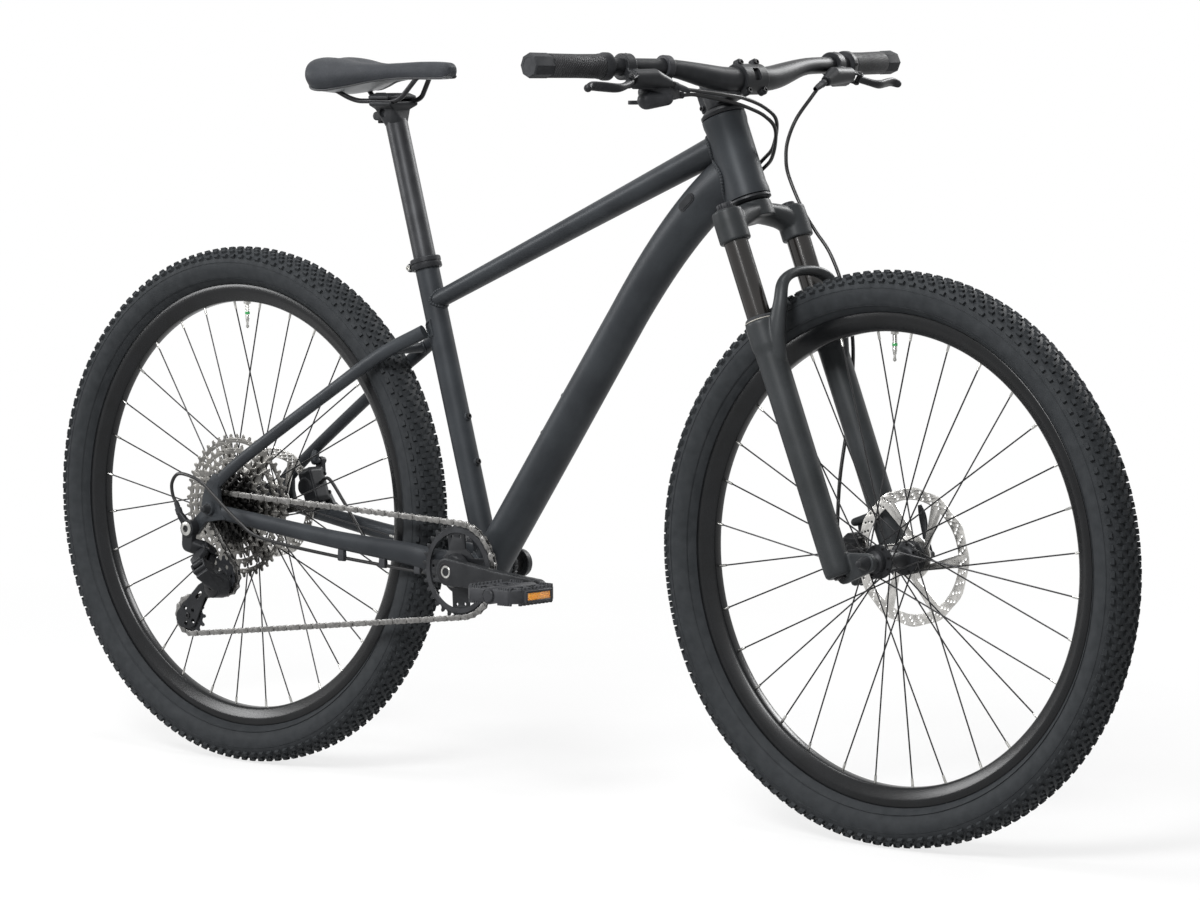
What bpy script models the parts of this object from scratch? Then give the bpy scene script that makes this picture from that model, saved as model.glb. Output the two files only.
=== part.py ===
"""Hardtail mountain bike with a suspension fork, disc brakes and one chainring.

Metres, +X forward, +Y to the rider's left, +Z up.
The origin lies on the ground, midway between the axles.
"""

import math

import bmesh
import bpy
from mathutils import Matrix, Vector

TAU = 2 * math.pi
X, Y, Z = Vector((1, 0, 0)), Vector((0, 1, 0)), Vector((0, 0, 1))
GAP = 0.0003
PITCH = 0.0127

# Frame geometry
WHEELBASE = 1.166
CHAINSTAY = 0.461
BB_DROP = 0.059
HEAD_ANGLE = math.radians(68.0)
SEAT_ANGLE = math.radians(74.3)
FORK_OFFSET = 0.051
AXLE_TO_CROWN = 0.505
HEAD_TUBE_LENGTH = 0.115
HEAD_TUBE_RADIUS = 0.0295
HEAD_BORE_RADIUS = 0.0255
SEAT_TUBE_LENGTH = 0.440
SEAT_TUBE_RADIUS = 0.0168
SEAT_TUBE_OFFSET = 0.010
DOWN_TUBE_RADIUS = 0.0268
DOWN_TUBE_OFFSET = 0.008
DOWN_TUBE_ANGLE = math.radians(54.5)
TOP_TUBE_DROP = 0.034
TOP_TUBE_SETBACK = 0.064
BB_SHELL_RADIUS = 0.0208
BB_SHELL_WIDTH = 0.073
BB_BORE_RADIUS = 0.0175
DROPOUT_THICKNESS = 0.008
BOSS_RADIUS = 0.0055
BOSS_HEIGHT = 0.0022
BOSS_SPACING = 0.064

# Wheels
TYRE_RADIUS = 0.371
TYRE_WIDTH = 0.061
KNOB_HEIGHT = 0.0030
BEAD_GAP = 0.0009
KNOB_COUNT = 28
RIM_OUTER_RADIUS = 0.3165
RIM_INNER_RADIUS = 0.2925
RIM_WIDTH = 0.0300
RIM_STEPS = 40
SPOKE_COUNT = 32
SPOKE_RADIUS = 0.0011
FRONT_HUB_WIDTH = 0.100
REAR_HUB_WIDTH = 0.141
SKEWER_RADIUS = 0.0049
FRONT_ROTOR_RADIUS = 0.090
REAR_ROTOR_RADIUS = 0.080
ROTOR_THICKNESS = 0.0018
PAD_CLEARANCE = 0.0012
FRONT_POST_SPREAD = 0.039
REAR_POST_SPREAD = 0.034
POST_HEIGHT = 0.0077
FRONT_ROTOR_PLANE = 0.0385
REAR_ROTOR_PLANE = 0.0530

# Fork and steering
LEG_SPACING = 0.129
LEG_LEAD = 0.0085
STANCHION_RADIUS = 0.0160
STANCHION_END = 0.190
LOWER_RADIUS = 0.0197
LOWER_TOP = 0.344
ARCH_CLEARANCE = 0.033
CROWN_SOCKET_LENGTH = 0.043
FORK_TRAVEL = 0.100
STEERER_RADIUS = 0.0143
STEERER_BASE_RADIUS = 0.0198
STEM_LENGTH = 0.055
STEM_HEIGHT = 0.040
LOWER_CUP_STACK = 0.0076
UPPER_CUP_STACK = 0.0110
BAR_WIDTH = 0.744
BAR_RISE = 0.020
BAR_BACKSWEEP = 0.049
BAR_CLAMP_RADIUS = 0.0159
BAR_GRIP_RADIUS = 0.0111
GRIP_LENGTH = 0.130
GRIP_RADIUS = 0.0153
LEVER_SETBACK = 0.028
LEVER_TILT = math.radians(32)
SHIFTER_SETBACK = 0.068

# Seat
SEATPOST_RADIUS = 0.0136
SEATPOST_EXPOSED = 0.207
SEATPOST_INSERTED = 0.130
SEATPOST_DROP = 0.100
RAIL_RADIUS = 0.0035
RAIL_SPACING = 0.044
SADDLE_LENGTH = 0.284
SADDLE_WIDTH = 0.142
SADDLE_NOSE = 0.118

# Drivetrain
CRANK_LENGTH = 0.170
CRANK_ANGLE = math.radians(-3.8)
SPINDLE_RADIUS = 0.0119
CHAINRING_TEETH = 32
CHAINRING_PLANE = -0.052
COG_TEETH = (11, 13, 15, 17, 20, 23, 26, 30, 36, 43, 50)
SMALL_COG_PLANE = -0.062
COG_STEP = 0.00385
COG_THICKNESS = 0.0016
FREEHUB_RADIUS = 0.0150
PULLEY_TEETH = 13
CAGE_LENGTH = 0.093
CHAIN_INNER_HALF = 0.00125
CHAIN_OUTER_HALF = 0.00285
CHAIN_HALF_HEIGHT = 0.0040
ROLLER_HALF = 0.0034
ARM_INNER_PLANE = 0.0660
ARM_THICKNESS = 0.0125
PEDAL_LENGTH = 0.096
PEDAL_WIDTH = 0.088
PEDAL_HEIGHT = 0.024
PEDAL_AXLE_RADIUS = 0.0046
LINK_LENGTH = 0.042
SHIFT_ANGLE = math.radians(62)
SHIFT_SLOPE = 0.59
HOSE_RADIUS = 0.0025


# Places that follow from the driving dimensions

rear_axle = Vector((-WHEELBASE / 2, 0, TYRE_RADIUS))
front_axle = Vector((WHEELBASE / 2, 0, TYRE_RADIUS))
bottom_bracket = rear_axle + Vector((math.sqrt(CHAINSTAY**2 - BB_DROP**2), 0, -BB_DROP))
steer_up = Vector((-math.cos(HEAD_ANGLE), 0, math.sin(HEAD_ANGLE)))
steer_forward = Vector((math.sin(HEAD_ANGLE), 0, math.cos(HEAD_ANGLE)))
steer_foot = front_axle - FORK_OFFSET * steer_forward
seat_up = Vector((-math.cos(SEAT_ANGLE), 0, math.sin(SEAT_ANGLE)))
seat_forward = Vector((math.sin(SEAT_ANGLE), 0, math.cos(SEAT_ANGLE)))
seat_foot = bottom_bracket + SEAT_TUBE_OFFSET * X
head_bottom = AXLE_TO_CROWN + LOWER_CUP_STACK
head_top = head_bottom + HEAD_TUBE_LENGTH
stem_bottom = head_top + UPPER_CUP_STACK
stem_middle = stem_bottom + STEM_HEIGHT / 2
rear_dropout = REAR_HUB_WIDTH / 2 + GAP
top_tube_join = SEAT_TUBE_LENGTH - TOP_TUBE_SETBACK
lever_place = BAR_WIDTH / 2 - GRIP_LENGTH - LEVER_SETBACK
shifter_place = lever_place - SHIFTER_SETBACK
front_dropout = FRONT_HUB_WIDTH / 2 + GAP


def fork_point(up, forward=0.0, left=0.0):
    """A point measured along the steering axis from the foot of the axle on it."""
    return steer_foot + up * steer_up + forward * steer_forward + left * Y


def seat_point(up, forward=0.0, left=0.0):
    """A point measured along the seat tube from the bottom bracket."""
    return seat_foot + up * seat_up + forward * seat_forward + left * Y


def rear_point(forward, up, left=0.0):
    return rear_axle + Vector((forward, left, up))


def bar_point(left):
    """Centre of the handlebar, which rises and sweeps back towards its ends."""
    half = BAR_WIDTH / 2
    run = max(abs(left) - BAR_CLAMP_RADIUS * 2.2, 0) / (half - BAR_CLAMP_RADIUS * 2.2)
    bend = min(run / 0.36, 1)
    lift = BAR_RISE * (0.72 * bend * bend * (3 - 2 * bend) + 0.28 * run)
    centre = fork_point(stem_middle, STEM_LENGTH)
    return centre + Vector((-BAR_BACKSWEEP * run, left, lift))


# Modelling helpers


def turning_bore(radius, sides):
    """Radius of a many-sided bore whose flats clear a shaft that turns in it."""
    return radius / math.cos(math.pi / sides) + GAP


def placed(origin, along, across=X):
    """Matrix whose local z runs along a direction and whose local x lies nearest to across."""
    up = along.normalized()
    side = (across - across.dot(up) * up).normalized()
    turn = Matrix((side, up.cross(side), up)).transposed().to_4x4()
    turn.translation = origin
    return turn


def settle(bm, place=None):
    bmesh.ops.remove_doubles(bm, verts=bm.verts, dist=1e-6)
    bmesh.ops.recalc_face_normals(bm, faces=bm.faces)
    if place:
        bm.transform(place)
    return bm


def rod(start, end, radius, end_radius=None, sides=12):
    """Straight round bar, tapered where it has an end radius."""
    along = end - start
    bm = bmesh.new()
    end_radius = radius if end_radius is None else end_radius
    bmesh.ops.create_cone(
        bm, cap_ends=True, segments=sides, radius1=radius, radius2=end_radius, depth=along.length
    )
    across = X if abs(along.normalized().x) < 0.9 else Z
    bm.transform(placed((start + end) / 2, along, across))
    return bm


def turned(profile, place, steps=24, closed=False):
    """Profile of (radius, height) points spun about the local z axis."""
    bm = bmesh.new()
    points = [bm.verts.new((radius, 0, height)) for radius, height in profile]
    pairs = list(zip(points, points[1:]))
    if closed:
        pairs.append((points[-1], points[0]))
    edges = [bm.edges.new(pair) for pair in pairs]
    bmesh.ops.spin(
        bm, geom=points + edges, cent=(0, 0, 0), axis=(0, 0, 1), angle=TAU, steps=steps, use_merge=True
    )
    return settle(bm, place)


def ring(start, end, inner, outer, sides=16):
    """Straight round sleeve."""
    height = (end - start).length
    profile = [(inner, 0), (outer, 0), (outer, height), (inner, height)]
    along = end - start
    across = X if abs(along.normalized().x) < 0.9 else Z
    return turned(profile, placed(start, along, across), sides, closed=True)


def block(centre, size, along=Z, across=X):
    bm = bmesh.new()
    bmesh.ops.create_cube(bm, size=1)
    bmesh.ops.scale(bm, vec=size, verts=bm.verts)
    bm.transform(placed(centre, along, across))
    return bm


def loft(points, sizes, sides=12, across=Y):
    """Tube through the points, each with its half width (along across) and half height."""
    bm = bmesh.new()
    loops = []
    for i, point in enumerate(points):
        along = points[min(i + 1, len(points) - 1)] - points[max(i - 1, 0)]
        place = placed(point, along, across) @ Matrix.Diagonal((*sizes[i], 1, 1))
        made = bmesh.ops.create_circle(bm, segments=sides, radius=1, matrix=place)
        loops.append(list({edge for vert in made["verts"] for edge in vert.link_edges}))
    for near, far in zip(loops, loops[1:]):
        bmesh.ops.bridge_loops(bm, edges=near + far)
    for end in (loops[0], loops[-1]):
        bmesh.ops.contextual_create(bm, geom=end)
    return settle(bm)


def pipe(points, radius, sides=8, across=Y):
    return loft(points, [(radius, radius)] * len(points), sides, across)


def curve_through(points, count):
    """Points spaced along a smooth curve that passes through the given ones."""
    ends = [2 * points[0] - points[1], *points, 2 * points[-1] - points[-2]]
    spans = len(points) - 1
    found = []
    for i in range(count):
        share = i / (count - 1) * spans
        k = min(int(share), spans - 1)
        t = share - k
        a, b, c, d = ends[k : k + 4]
        bend = (2 * a - 5 * b + 4 * c - d) * t * t + (3 * b - a - 3 * c + d) * t**3
        found.append(b + 0.5 * ((c - a) * t + bend))
    return found


def arc(centre, radius, start, end, steps):
    """Points of a flat arc, angles in degrees."""
    angles = [math.radians(start + (end - start) * i / steps) for i in range(steps + 1)]
    return [(centre[0] + radius * math.cos(a), centre[1] + radius * math.sin(a)) for a in angles]


def circle(centre, radius, steps):
    return arc(centre, radius, 0, 360 - 360 / steps, steps - 1)


def plate(outlines, thickness, place):
    """Flat plate from an outline and the outlines of its holes, centred on its thickness."""
    curve = bpy.data.curves.new("outline", "CURVE")
    curve.dimensions = "2D"
    curve.fill_mode = "BOTH"
    curve.extrude = thickness / 2
    for outline in outlines:
        spline = curve.splines.new("POLY")
        spline.points.add(len(outline) - 1)
        spline.use_cyclic_u = True
        for point, (u, v) in zip(spline.points, outline):
            point.co = (u, v, 0, 1)
    holder = bpy.data.objects.new("outline", curve)
    mesh = bpy.data.meshes.new_from_object(holder)
    bm = bmesh.new()
    bm.from_mesh(mesh)
    bpy.data.objects.remove(holder)
    bpy.data.meshes.remove(mesh)
    return settle(bm, place)


def hull(*solids):
    """Convex skin over several solids, which are used up."""
    bm = bmesh.new()
    for solid in solids:
        for vert in solid.verts:
            bm.verts.new(vert.co)
        solid.free()
    bmesh.ops.remove_doubles(bm, verts=bm.verts, dist=1e-6)
    made = bmesh.ops.convex_hull(bm, input=bm.verts)
    spare = [item for item in made["geom_interior"] if isinstance(item, bmesh.types.BMVert)]
    bmesh.ops.delete(bm, geom=spare, context="VERTS")
    bmesh.ops.dissolve_limit(bm, angle_limit=0.004, verts=bm.verts, edges=bm.edges)
    return settle(bm)


def ball(centre, radius, sides=8):
    bm = bmesh.new()
    bmesh.ops.create_uvsphere(bm, u_segments=sides, v_segments=max(sides // 2, 3), radius=radius)
    bm.transform(Matrix.Translation(centre))
    return bm


def temporary(bm, name):
    mesh = bpy.data.meshes.new(name)
    bm.to_mesh(mesh)
    bm.free()
    holder = bpy.data.objects.new(name, mesh)
    bpy.context.scene.collection.objects.link(holder)
    return holder


def combine(solids, cuts=()):
    """First solid joined with the others and then cut, as one solid. All of them are used up."""
    base = temporary(solids[0], "base")
    tools = []
    for operation, group in (("UNION", solids[1:]), ("DIFFERENCE", cuts)):
        for solid in group:
            tool = temporary(solid, "tool")
            modifier = base.modifiers.new("join", "BOOLEAN")
            modifier.operation = operation
            modifier.solver = "EXACT"
            modifier.object = tool
            tools.append(tool)
    graph = bpy.context.evaluated_depsgraph_get()
    mesh = bpy.data.meshes.new_from_object(base.evaluated_get(graph))
    bm = bmesh.new()
    bm.from_mesh(mesh)
    for holder in (base, *tools):
        spare = holder.data
        bpy.data.objects.remove(holder)
        bpy.data.meshes.remove(spare)
    bpy.data.meshes.remove(mesh)
    bmesh.ops.dissolve_degenerate(bm, edges=bm.edges, dist=2e-6)
    return settle(bm)


def paint(name, colour, roughness, metallic=0.0):
    """Plain material from an sRGB hex colour."""
    material = bpy.data.materials.new(name)
    material.use_nodes = True
    shader = material.node_tree.nodes["Principled BSDF"]
    levels = [int(colour[i : i + 2], 16) / 255 for i in (0, 2, 4)]
    linear = [c / 12.92 if c <= 0.04045 else ((c + 0.055) / 1.055) ** 2.4 for c in levels]
    shader.inputs["Base Color"].default_value = (*linear, 1)
    shader.inputs["Roughness"].default_value = roughness
    shader.inputs["Metallic"].default_value = metallic
    return material


for old in list(bpy.data.objects):
    bpy.data.objects.remove(old)

FRAME_PAINT = ("matte_anthracite_paint", "2b2e33", 0.55, 0.2)
BLACK_ANODISED = ("black_anodised_aluminium", "1b1c1e", 0.42, 0.6)
FORK_PAINT = ("matte_black_paint", "202123", 0.55, 0.1)
STANCHION_COAT = ("polished_dark_coating", "2a2420", 0.16, 0.9)
TYRE_RUBBER = ("tyre_rubber", "1d1d1e", 0.85, 0.0)
GRIP_RUBBER = ("grip_rubber", "232425", 0.8, 0.0)
HOSE_JACKET = ("hose_jacket", "151516", 0.5, 0.0)
BLACK_PLASTIC = ("black_plastic", "1c1c1d", 0.6, 0.0)
SADDLE_COVER = ("saddle_cover", "26282b", 0.7, 0.0)
STEEL = ("brushed_steel", "b4b4b2", 0.32, 1.0)
CHAIN_STEEL = ("chain_steel", "8f908f", 0.38, 1.0)
COG_STEEL = ("cog_steel", "a9a9a6", 0.35, 1.0)
materials = {}


def joint(name, position, parent=None):
    """Empty on a joint's axis that carries the pieces moving about it."""
    empty = bpy.data.objects.new(name, None)
    empty.empty_display_size = 0.03
    bpy.context.scene.collection.objects.link(empty)
    home = Vector(parent["home"]) if parent else Vector()
    empty.parent = parent
    empty.location = position - home
    empty["home"] = position
    return empty


def piece(name, bm, finish, carrier=None):
    """Named object from a solid in world places, on the empty that carries it."""
    home = Vector(carrier["home"]) if carrier else Vector()
    bm.transform(Matrix.Translation(-home))
    mesh = bpy.data.meshes.new(name)
    bm.to_mesh(mesh)
    bm.free()
    mesh.shade_smooth()
    mesh.set_sharp_from_angle(angle=math.radians(32))
    if finish[0] not in materials:
        materials[finish[0]] = paint(*finish)
    mesh.materials.append(materials[finish[0]])
    made = bpy.data.objects.new(name, mesh)
    made.parent = carrier
    bpy.context.scene.collection.objects.link(made)
    return made


# Frame


def down_tube_path(count):
    """Straight from the bottom bracket, then bending forward into the head tube."""
    along = Vector((math.cos(DOWN_TUBE_ANGLE), 0, math.sin(DOWN_TUBE_ANGLE)))
    foot = bottom_bracket + DOWN_TUBE_OFFSET * X
    end = fork_point(head_bottom + DOWN_TUBE_RADIUS * 1.5)
    corner = foot + along * (end - foot).dot(along) * 0.80
    bend_start = foot + along * (end - foot).dot(along) * 0.52
    points = [foot, (foot + bend_start) / 2]
    for i in range(count):
        t = i / (count - 1)
        points.append((1 - t) ** 2 * bend_start + 2 * t * (1 - t) * corner + t * t * end)
    return points


def cage_boss(foot, outward):
    return rod(foot, foot + outward * (BOSS_HEIGHT + 0.004), BOSS_RADIUS, sides=8)


def seat_boss_heights():
    middle = SEAT_TUBE_LENGTH * 0.404
    return middle - BOSS_SPACING / 2, middle + BOSS_SPACING / 2


def front_triangle():
    head = rod(fork_point(head_bottom), fork_point(head_top), HEAD_TUBE_RADIUS, sides=16)
    seat = rod(seat_point(0), seat_point(SEAT_TUBE_LENGTH), SEAT_TUBE_RADIUS, sides=16)
    side = BB_SHELL_WIDTH / 2 * Y
    shell = rod(bottom_bracket - side, bottom_bracket + side, BB_SHELL_RADIUS, sides=16)
    down = down_tube_path(5)
    sizes = [(DOWN_TUBE_RADIUS * 1.08, DOWN_TUBE_RADIUS * 0.98)] * 2
    sizes += [(DOWN_TUBE_RADIUS, DOWN_TUBE_RADIUS)] * 5
    top = [seat_point(top_tube_join).lerp(fork_point(head_top - TOP_TUBE_DROP), t) for t in (0, 0.4, 0.8, 1)]
    top_sizes = [(0.0150, 0.0118), (0.0180, 0.0140), (0.0205, 0.0172), (0.0215, 0.0195)]
    bosses = [
        cage_boss(seat_point(t, SEAT_TUBE_RADIUS - 0.004), seat_forward) for t in seat_boss_heights()
    ]
    along = (down[1] - down[0]).normalized()
    upward = Vector((-along.z, 0, along.x))
    for reach in (0.215, 0.215 + BOSS_SPACING):
        bosses.append(cage_boss(down[0] + along * reach + upward * (DOWN_TUBE_RADIUS - 0.004), upward))
    bores = [
        rod(fork_point(head_bottom - 0.01), fork_point(head_top + 0.01), HEAD_BORE_RADIUS, sides=16),
        rod(fork_point(head_bottom - 0.03), fork_point(head_bottom), HEAD_TUBE_RADIUS + 0.004, sides=16),
        rod(bottom_bracket - 2 * side, bottom_bracket + 2 * side, BB_BORE_RADIUS, sides=16),
        rod(
            seat_point(SEAT_TUBE_LENGTH - SEATPOST_INSERTED - SEATPOST_DROP - 0.02),
            seat_point(SEAT_TUBE_LENGTH + 0.02),
            SEATPOST_RADIUS + GAP,
            sides=16,
        ),
    ]
    tubes = [loft(down, sizes, 16), seat, shell, head, loft(top, top_sizes, 12), *bosses]
    return combine(tubes, bores)


def stay_runs(hand):
    """Stations of one side's seatstay and chainstay, with half width and half height at each."""
    drop = rear_dropout + DROPOUT_THICKNESS / 2
    half = DROPOUT_THICKNESS / 2
    top = seat_point(SEAT_TUBE_LENGTH * 0.768, -0.012)
    bb = bottom_bracket - rear_axle
    seat_run = [
        Vector((top.x, hand * 0.020, top.z)),
        rear_point(0.300, 0.229, hand * 0.0410),
        rear_point(0.207, 0.172, hand * 0.0500),
        rear_point(0.070, 0.082, hand * (drop - 0.007)),
        rear_point(0.012, 0.038, hand * drop),
        rear_point(-0.004, 0.016, hand * drop),
    ]
    seat_sizes = [(0.0085, 0.0100), (0.0085, 0.0095), (0.0082, 0.0088)]
    seat_sizes += [(0.0075, 0.0085), (half, 0.0085), (half * 0.9, 0.006)]
    chain_run = [
        rear_point(bb.x - 0.004, bb.z + 0.004, hand * 0.022),
        rear_point(bb.x - 0.060, bb.z + 0.006, hand * 0.0385),
        rear_point(bb.x - 0.110, bb.z + 0.010, hand * 0.0415),
        rear_point(bb.x - 0.240, bb.z + 0.020, hand * 0.0560),
        rear_point(0.040, -0.008, hand * (drop - 0.003)),
        rear_point(0.008, -0.003, hand * drop),
    ]
    chain_sizes = [(0.0085, 0.0140), (0.0080, 0.0140), (0.0080, 0.0135)]
    chain_sizes += [(0.0085, 0.0115), (0.0060, 0.0105), (half * 0.9, 0.008)]
    return (seat_run, seat_sizes), (chain_run, chain_sizes)


def stay_tubes(hand, grow=0.0):
    """Both stays of one side as lofts. A grown copy cuts clearance in a neighbour."""
    return [loft(run, [(a + grow, b + grow) for a, b in sizes], 8) for run, sizes in stay_runs(hand)]


def stay_spot(run, x):
    """Centre of a stay at a place along the bike."""
    for near, far in zip(run, run[1:]):
        if far.x <= x <= near.x:
            return near.lerp(far, (near.x - x) / (near.x - far.x))
    return run[-1]


def dropout(hand):
    """Plate round the axle. The drive side carries the hanger for the derailleur."""
    flat = placed(rear_axle + hand * (rear_dropout + DROPOUT_THICKNESS / 2) * Y, -Y, X)
    outline = [(0.030, -0.014), (0.016, 0.016), (0.020, 0.046), (0.006, 0.050)]
    if hand < 0:
        bolt = HANGER_BOLT
        outline += [(-0.014, 0.020), (-0.018, -0.004), (bolt[0] - 0.010, bolt[1] + 0.006)]
        outline += arc(bolt, 0.0105, 160, 300, 5)
        outline += [(-0.010, -0.020)]
    else:
        outline += [(-0.014, 0.018), *arc((0, 0), 0.0155, 170, 290, 4)]
    holes = [circle((0, 0), SKEWER_RADIUS + GAP, 12)]
    return plate([outline, *holes], DROPOUT_THICKNESS, flat)


HANGER_BOLT = (-0.034, -0.030)
CALIPER_TURN = math.radians(20)


def rear_stay(hand):
    seat = rod(seat_point(-0.05), seat_point(SEAT_TUBE_LENGTH), SEAT_TUBE_RADIUS + GAP, sides=16)
    half = (BB_SHELL_WIDTH / 2 + 0.02) * Y
    shell = rod(bottom_bracket - half, bottom_bracket + half, BB_SHELL_RADIUS + GAP, sides=16)
    drill = 0.12 * Y
    axle_hole = rod(rear_axle - drill, rear_axle + drill, SKEWER_RADIUS + GAP, sides=12)
    solids = [dropout(hand), *stay_tubes(hand)]
    if hand > 0:
        solids += rear_caliper_posts()
    return combine(solids, [seat, shell, axle_hole])


def rear_caliper_frame():
    """Place of the rear caliper over the rotor, with local x outward from the axle."""
    outward = Vector((math.cos(CALIPER_TURN), 0, math.sin(CALIPER_TURN)))
    centre = rear_axle + outward * (REAR_ROTOR_RADIUS - 0.008) + REAR_ROTOR_PLANE * Y
    return centre, outward, REAR_POST_SPREAD


def rear_caliper_posts():
    """Two posts between the stays that carry the caliper."""
    centre, outward, spread = rear_caliper_frame()
    tangent = outward.cross(Y)
    (seat_run, _), (chain_run, _) = stay_runs(1)
    posts = []
    for side, run in ((-1, chain_run), (1, seat_run)):
        foot = post_seat(centre, outward, spread, side)
        root = stay_spot(run, foot.x)
        posts.append(hull(ball(foot, 0.0055), ball(foot + tangent * side * 0.004, 0.0055), ball(root, 0.0050)))
        posts.append(rod(foot - 0.003 * Y, foot + POST_HEIGHT * Y, 0.0050, sides=8))
    return posts


def stay_bridge():
    (run, _), _ = stay_runs(1)
    middle = run[0].lerp(run[1], 0.766)
    middle.y = 0
    tube = rod(middle - 0.040 * Y, middle + 0.040 * Y, 0.0070, sides=8)
    cuts = [block(middle + hand * 0.059 * Y, (0.05, 0.06, 0.06)) for hand in (-1, 1)]
    return combine([tube], [*cuts, *stay_tubes(1, GAP), *stay_tubes(-1, GAP)])


def bottom_bracket_unit():
    """Threaded cups joined by a sleeve, bored for the spindle."""
    half = BB_SHELL_WIDTH / 2
    bore = SPINDLE_RADIUS + GAP
    sleeve = BB_BORE_RADIUS - GAP
    cup = BB_SHELL_RADIUS + 0.0012
    profile = [(bore, -half - 0.0105), (cup - 0.002, -half - 0.0105), (cup, -half - 0.008)]
    profile += [(cup, -half - GAP), (sleeve, -half - GAP), (sleeve, half + GAP), (cup, half + GAP)]
    profile += [(cup, half + 0.008), (cup - 0.002, half + 0.0105), (bore, half + 0.0105)]
    return turned(profile, placed(bottom_bracket, Y, X), 16, closed=True)


def headset_cup(height, hand, stack, bore):
    """Bearing cup pressed into one end of the head tube, with its dust lip outside."""
    press = HEAD_BORE_RADIUS - GAP
    lip = HEAD_TUBE_RADIUS - 0.0008
    profile = [(bore, -0.012), (press, -0.012), (press, GAP), (lip, GAP), (lip, stack * 0.55)]
    profile += [(lip - 0.005, stack - GAP), (bore, stack - GAP)]
    return turned(profile, placed(fork_point(height), hand * steer_up, Y), 16, closed=True)


def seat_clamp():
    """Collar round the top of the seat tube with ears and a bolt at the back."""
    low, high = seat_point(SEAT_TUBE_LENGTH - 0.016), seat_point(SEAT_TUBE_LENGTH - 0.002)
    bore = SEAT_TUBE_RADIUS + GAP
    band = ring(low, high, bore, bore + 0.0042, 16)
    middle = (low + high) / 2
    ears = [
        block(middle - seat_forward * (bore + 0.008) + hand * 0.0045 * Y, (0.011, 0.006, 0.0125), seat_up, seat_forward)
        for hand in (-1, 1)
    ]
    pin = middle - seat_forward * (bore + 0.0085)
    bolt = rod(pin - 0.0125 * Y, pin + 0.0125 * Y, 0.0030, sides=8)
    slit = block(middle - seat_forward * (bore + 0.002), (0.010, 0.0022, 0.02), seat_up, seat_forward)
    return combine([combine([band, *ears], [slit]), bolt])


# Wheels


def tyre_profile():
    """Half widths and radii of the tyre's outside, from one bead round the crown to the other."""
    half = TYRE_WIDTH / 2
    bead = RIM_OUTER_RADIUS + BEAD_GAP
    height = TYRE_RADIUS - bead
    wall = [(RIM_WIDTH / 2 - 0.002, bead), (half * 0.95, bead + 0.32 * height)]
    return wall + [(half, TYRE_RADIUS - 0.28 * height), (half * 0.50, TYRE_RADIUS)]


def tyre(axle):
    """Carcass with knobs at the crown and the shoulders, alternating round the wheel."""
    outer = tyre_profile()
    outline = outer + [(-w, r) for w, r in reversed(outer)]
    bm = bmesh.new()
    steps = KNOB_COUNT * 2
    shoulder = outer[2][1] - KNOB_HEIGHT
    loops = []
    for step in range(steps):
        angle = TAU * step / steps
        low = KNOB_HEIGHT * (step % 2)
        verts = []
        for width, radius in outline:
            knob = radius > shoulder
            reach = radius - low * knob
            squeeze = 1 - 0.04 * knob * (step % 2)
            verts.append(bm.verts.new((reach * math.cos(angle), reach * math.sin(angle), width * squeeze)))
        loops.append([bm.edges.new((a, b)) for a, b in zip(verts, verts[1:] + verts[:1])])
    for near, far in zip(loops, loops[1:] + loops[:1]):
        bmesh.ops.bridge_loops(bm, edges=near + far)
    return settle(bm, placed(axle, Y, X))


def rim(axle):
    half = RIM_WIDTH / 2
    outer, inner = RIM_OUTER_RADIUS, RIM_INNER_RADIUS
    profile = [(half, outer), (half, outer - 0.008), (half * 0.45, inner)]
    profile += [(-w, r) for w, r in reversed(profile)]
    return turned([(r, w) for w, r in profile], placed(axle, Y, X), RIM_STEPS, closed=True)


def hub_with_spokes(axle, shell, flanges, flange_radius):
    """Hub shell with its laced spokes, each ending just short of the rim."""
    place = placed(axle, Y, X)
    hub = turned(shell, place, 12, closed=True)
    spokes = []
    end = RIM_INNER_RADIUS * math.cos(math.pi / RIM_STEPS) - 0.0006
    each_side = SPOKE_COUNT // 2
    for number in range(SPOKE_COUNT):
        hand = number % 2
        pair = number // 2
        lean = 1 if pair % 2 else -1
        rim_angle = TAU * (number + 0.5) / SPOKE_COUNT
        hub_angle = rim_angle + lean * TAU * 3.05 / each_side
        offset = flanges[hand] + 0.0016 * lean * (1 if hand else -1)
        start = Vector(((flange_radius - 0.003) * math.cos(hub_angle), (flange_radius - 0.003) * math.sin(hub_angle), offset))
        stop = Vector((end * math.cos(rim_angle), end * math.sin(rim_angle), 0.0022 * (1 if hand else -1)))
        spoke = pipe([start, stop], SPOKE_RADIUS, 3, across=Z)
        spoke.transform(place)
        spokes.append(spoke)
    return combine([hub, *spokes])


def hub_shell(half, flanges, flange_radius, barrel, rotor_face, drive_end=None):
    """Profile of a hub, (radius, place along the axle), bored for the skewer."""
    right, left = flanges
    bore = SKEWER_RADIUS + GAP
    profile = [(bore, -half), (0.0085, -half)]
    if drive_end is None:
        profile += [(0.0095, right - 0.012), (barrel, right - 0.004)]
    else:
        profile += [(0.0095, drive_end), (FREEHUB_RADIUS, drive_end), (FREEHUB_RADIUS, right - 0.0026)]
    profile += [(flange_radius, right - 0.0022), (flange_radius, right + 0.0022), (barrel, right + 0.006)]
    profile += [(barrel, left - 0.006), (flange_radius, left - 0.0022), (flange_radius, left + 0.0022)]
    profile += [(barrel + 0.004, left + 0.004), (0.0200, rotor_face - 0.003), (0.0200, rotor_face)]
    profile += [(0.0165, rotor_face), (0.0165, rotor_face + 0.003), (0.0085, rotor_face + 0.004)]
    return profile + [(0.0085, half), (bore, half)]


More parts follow.
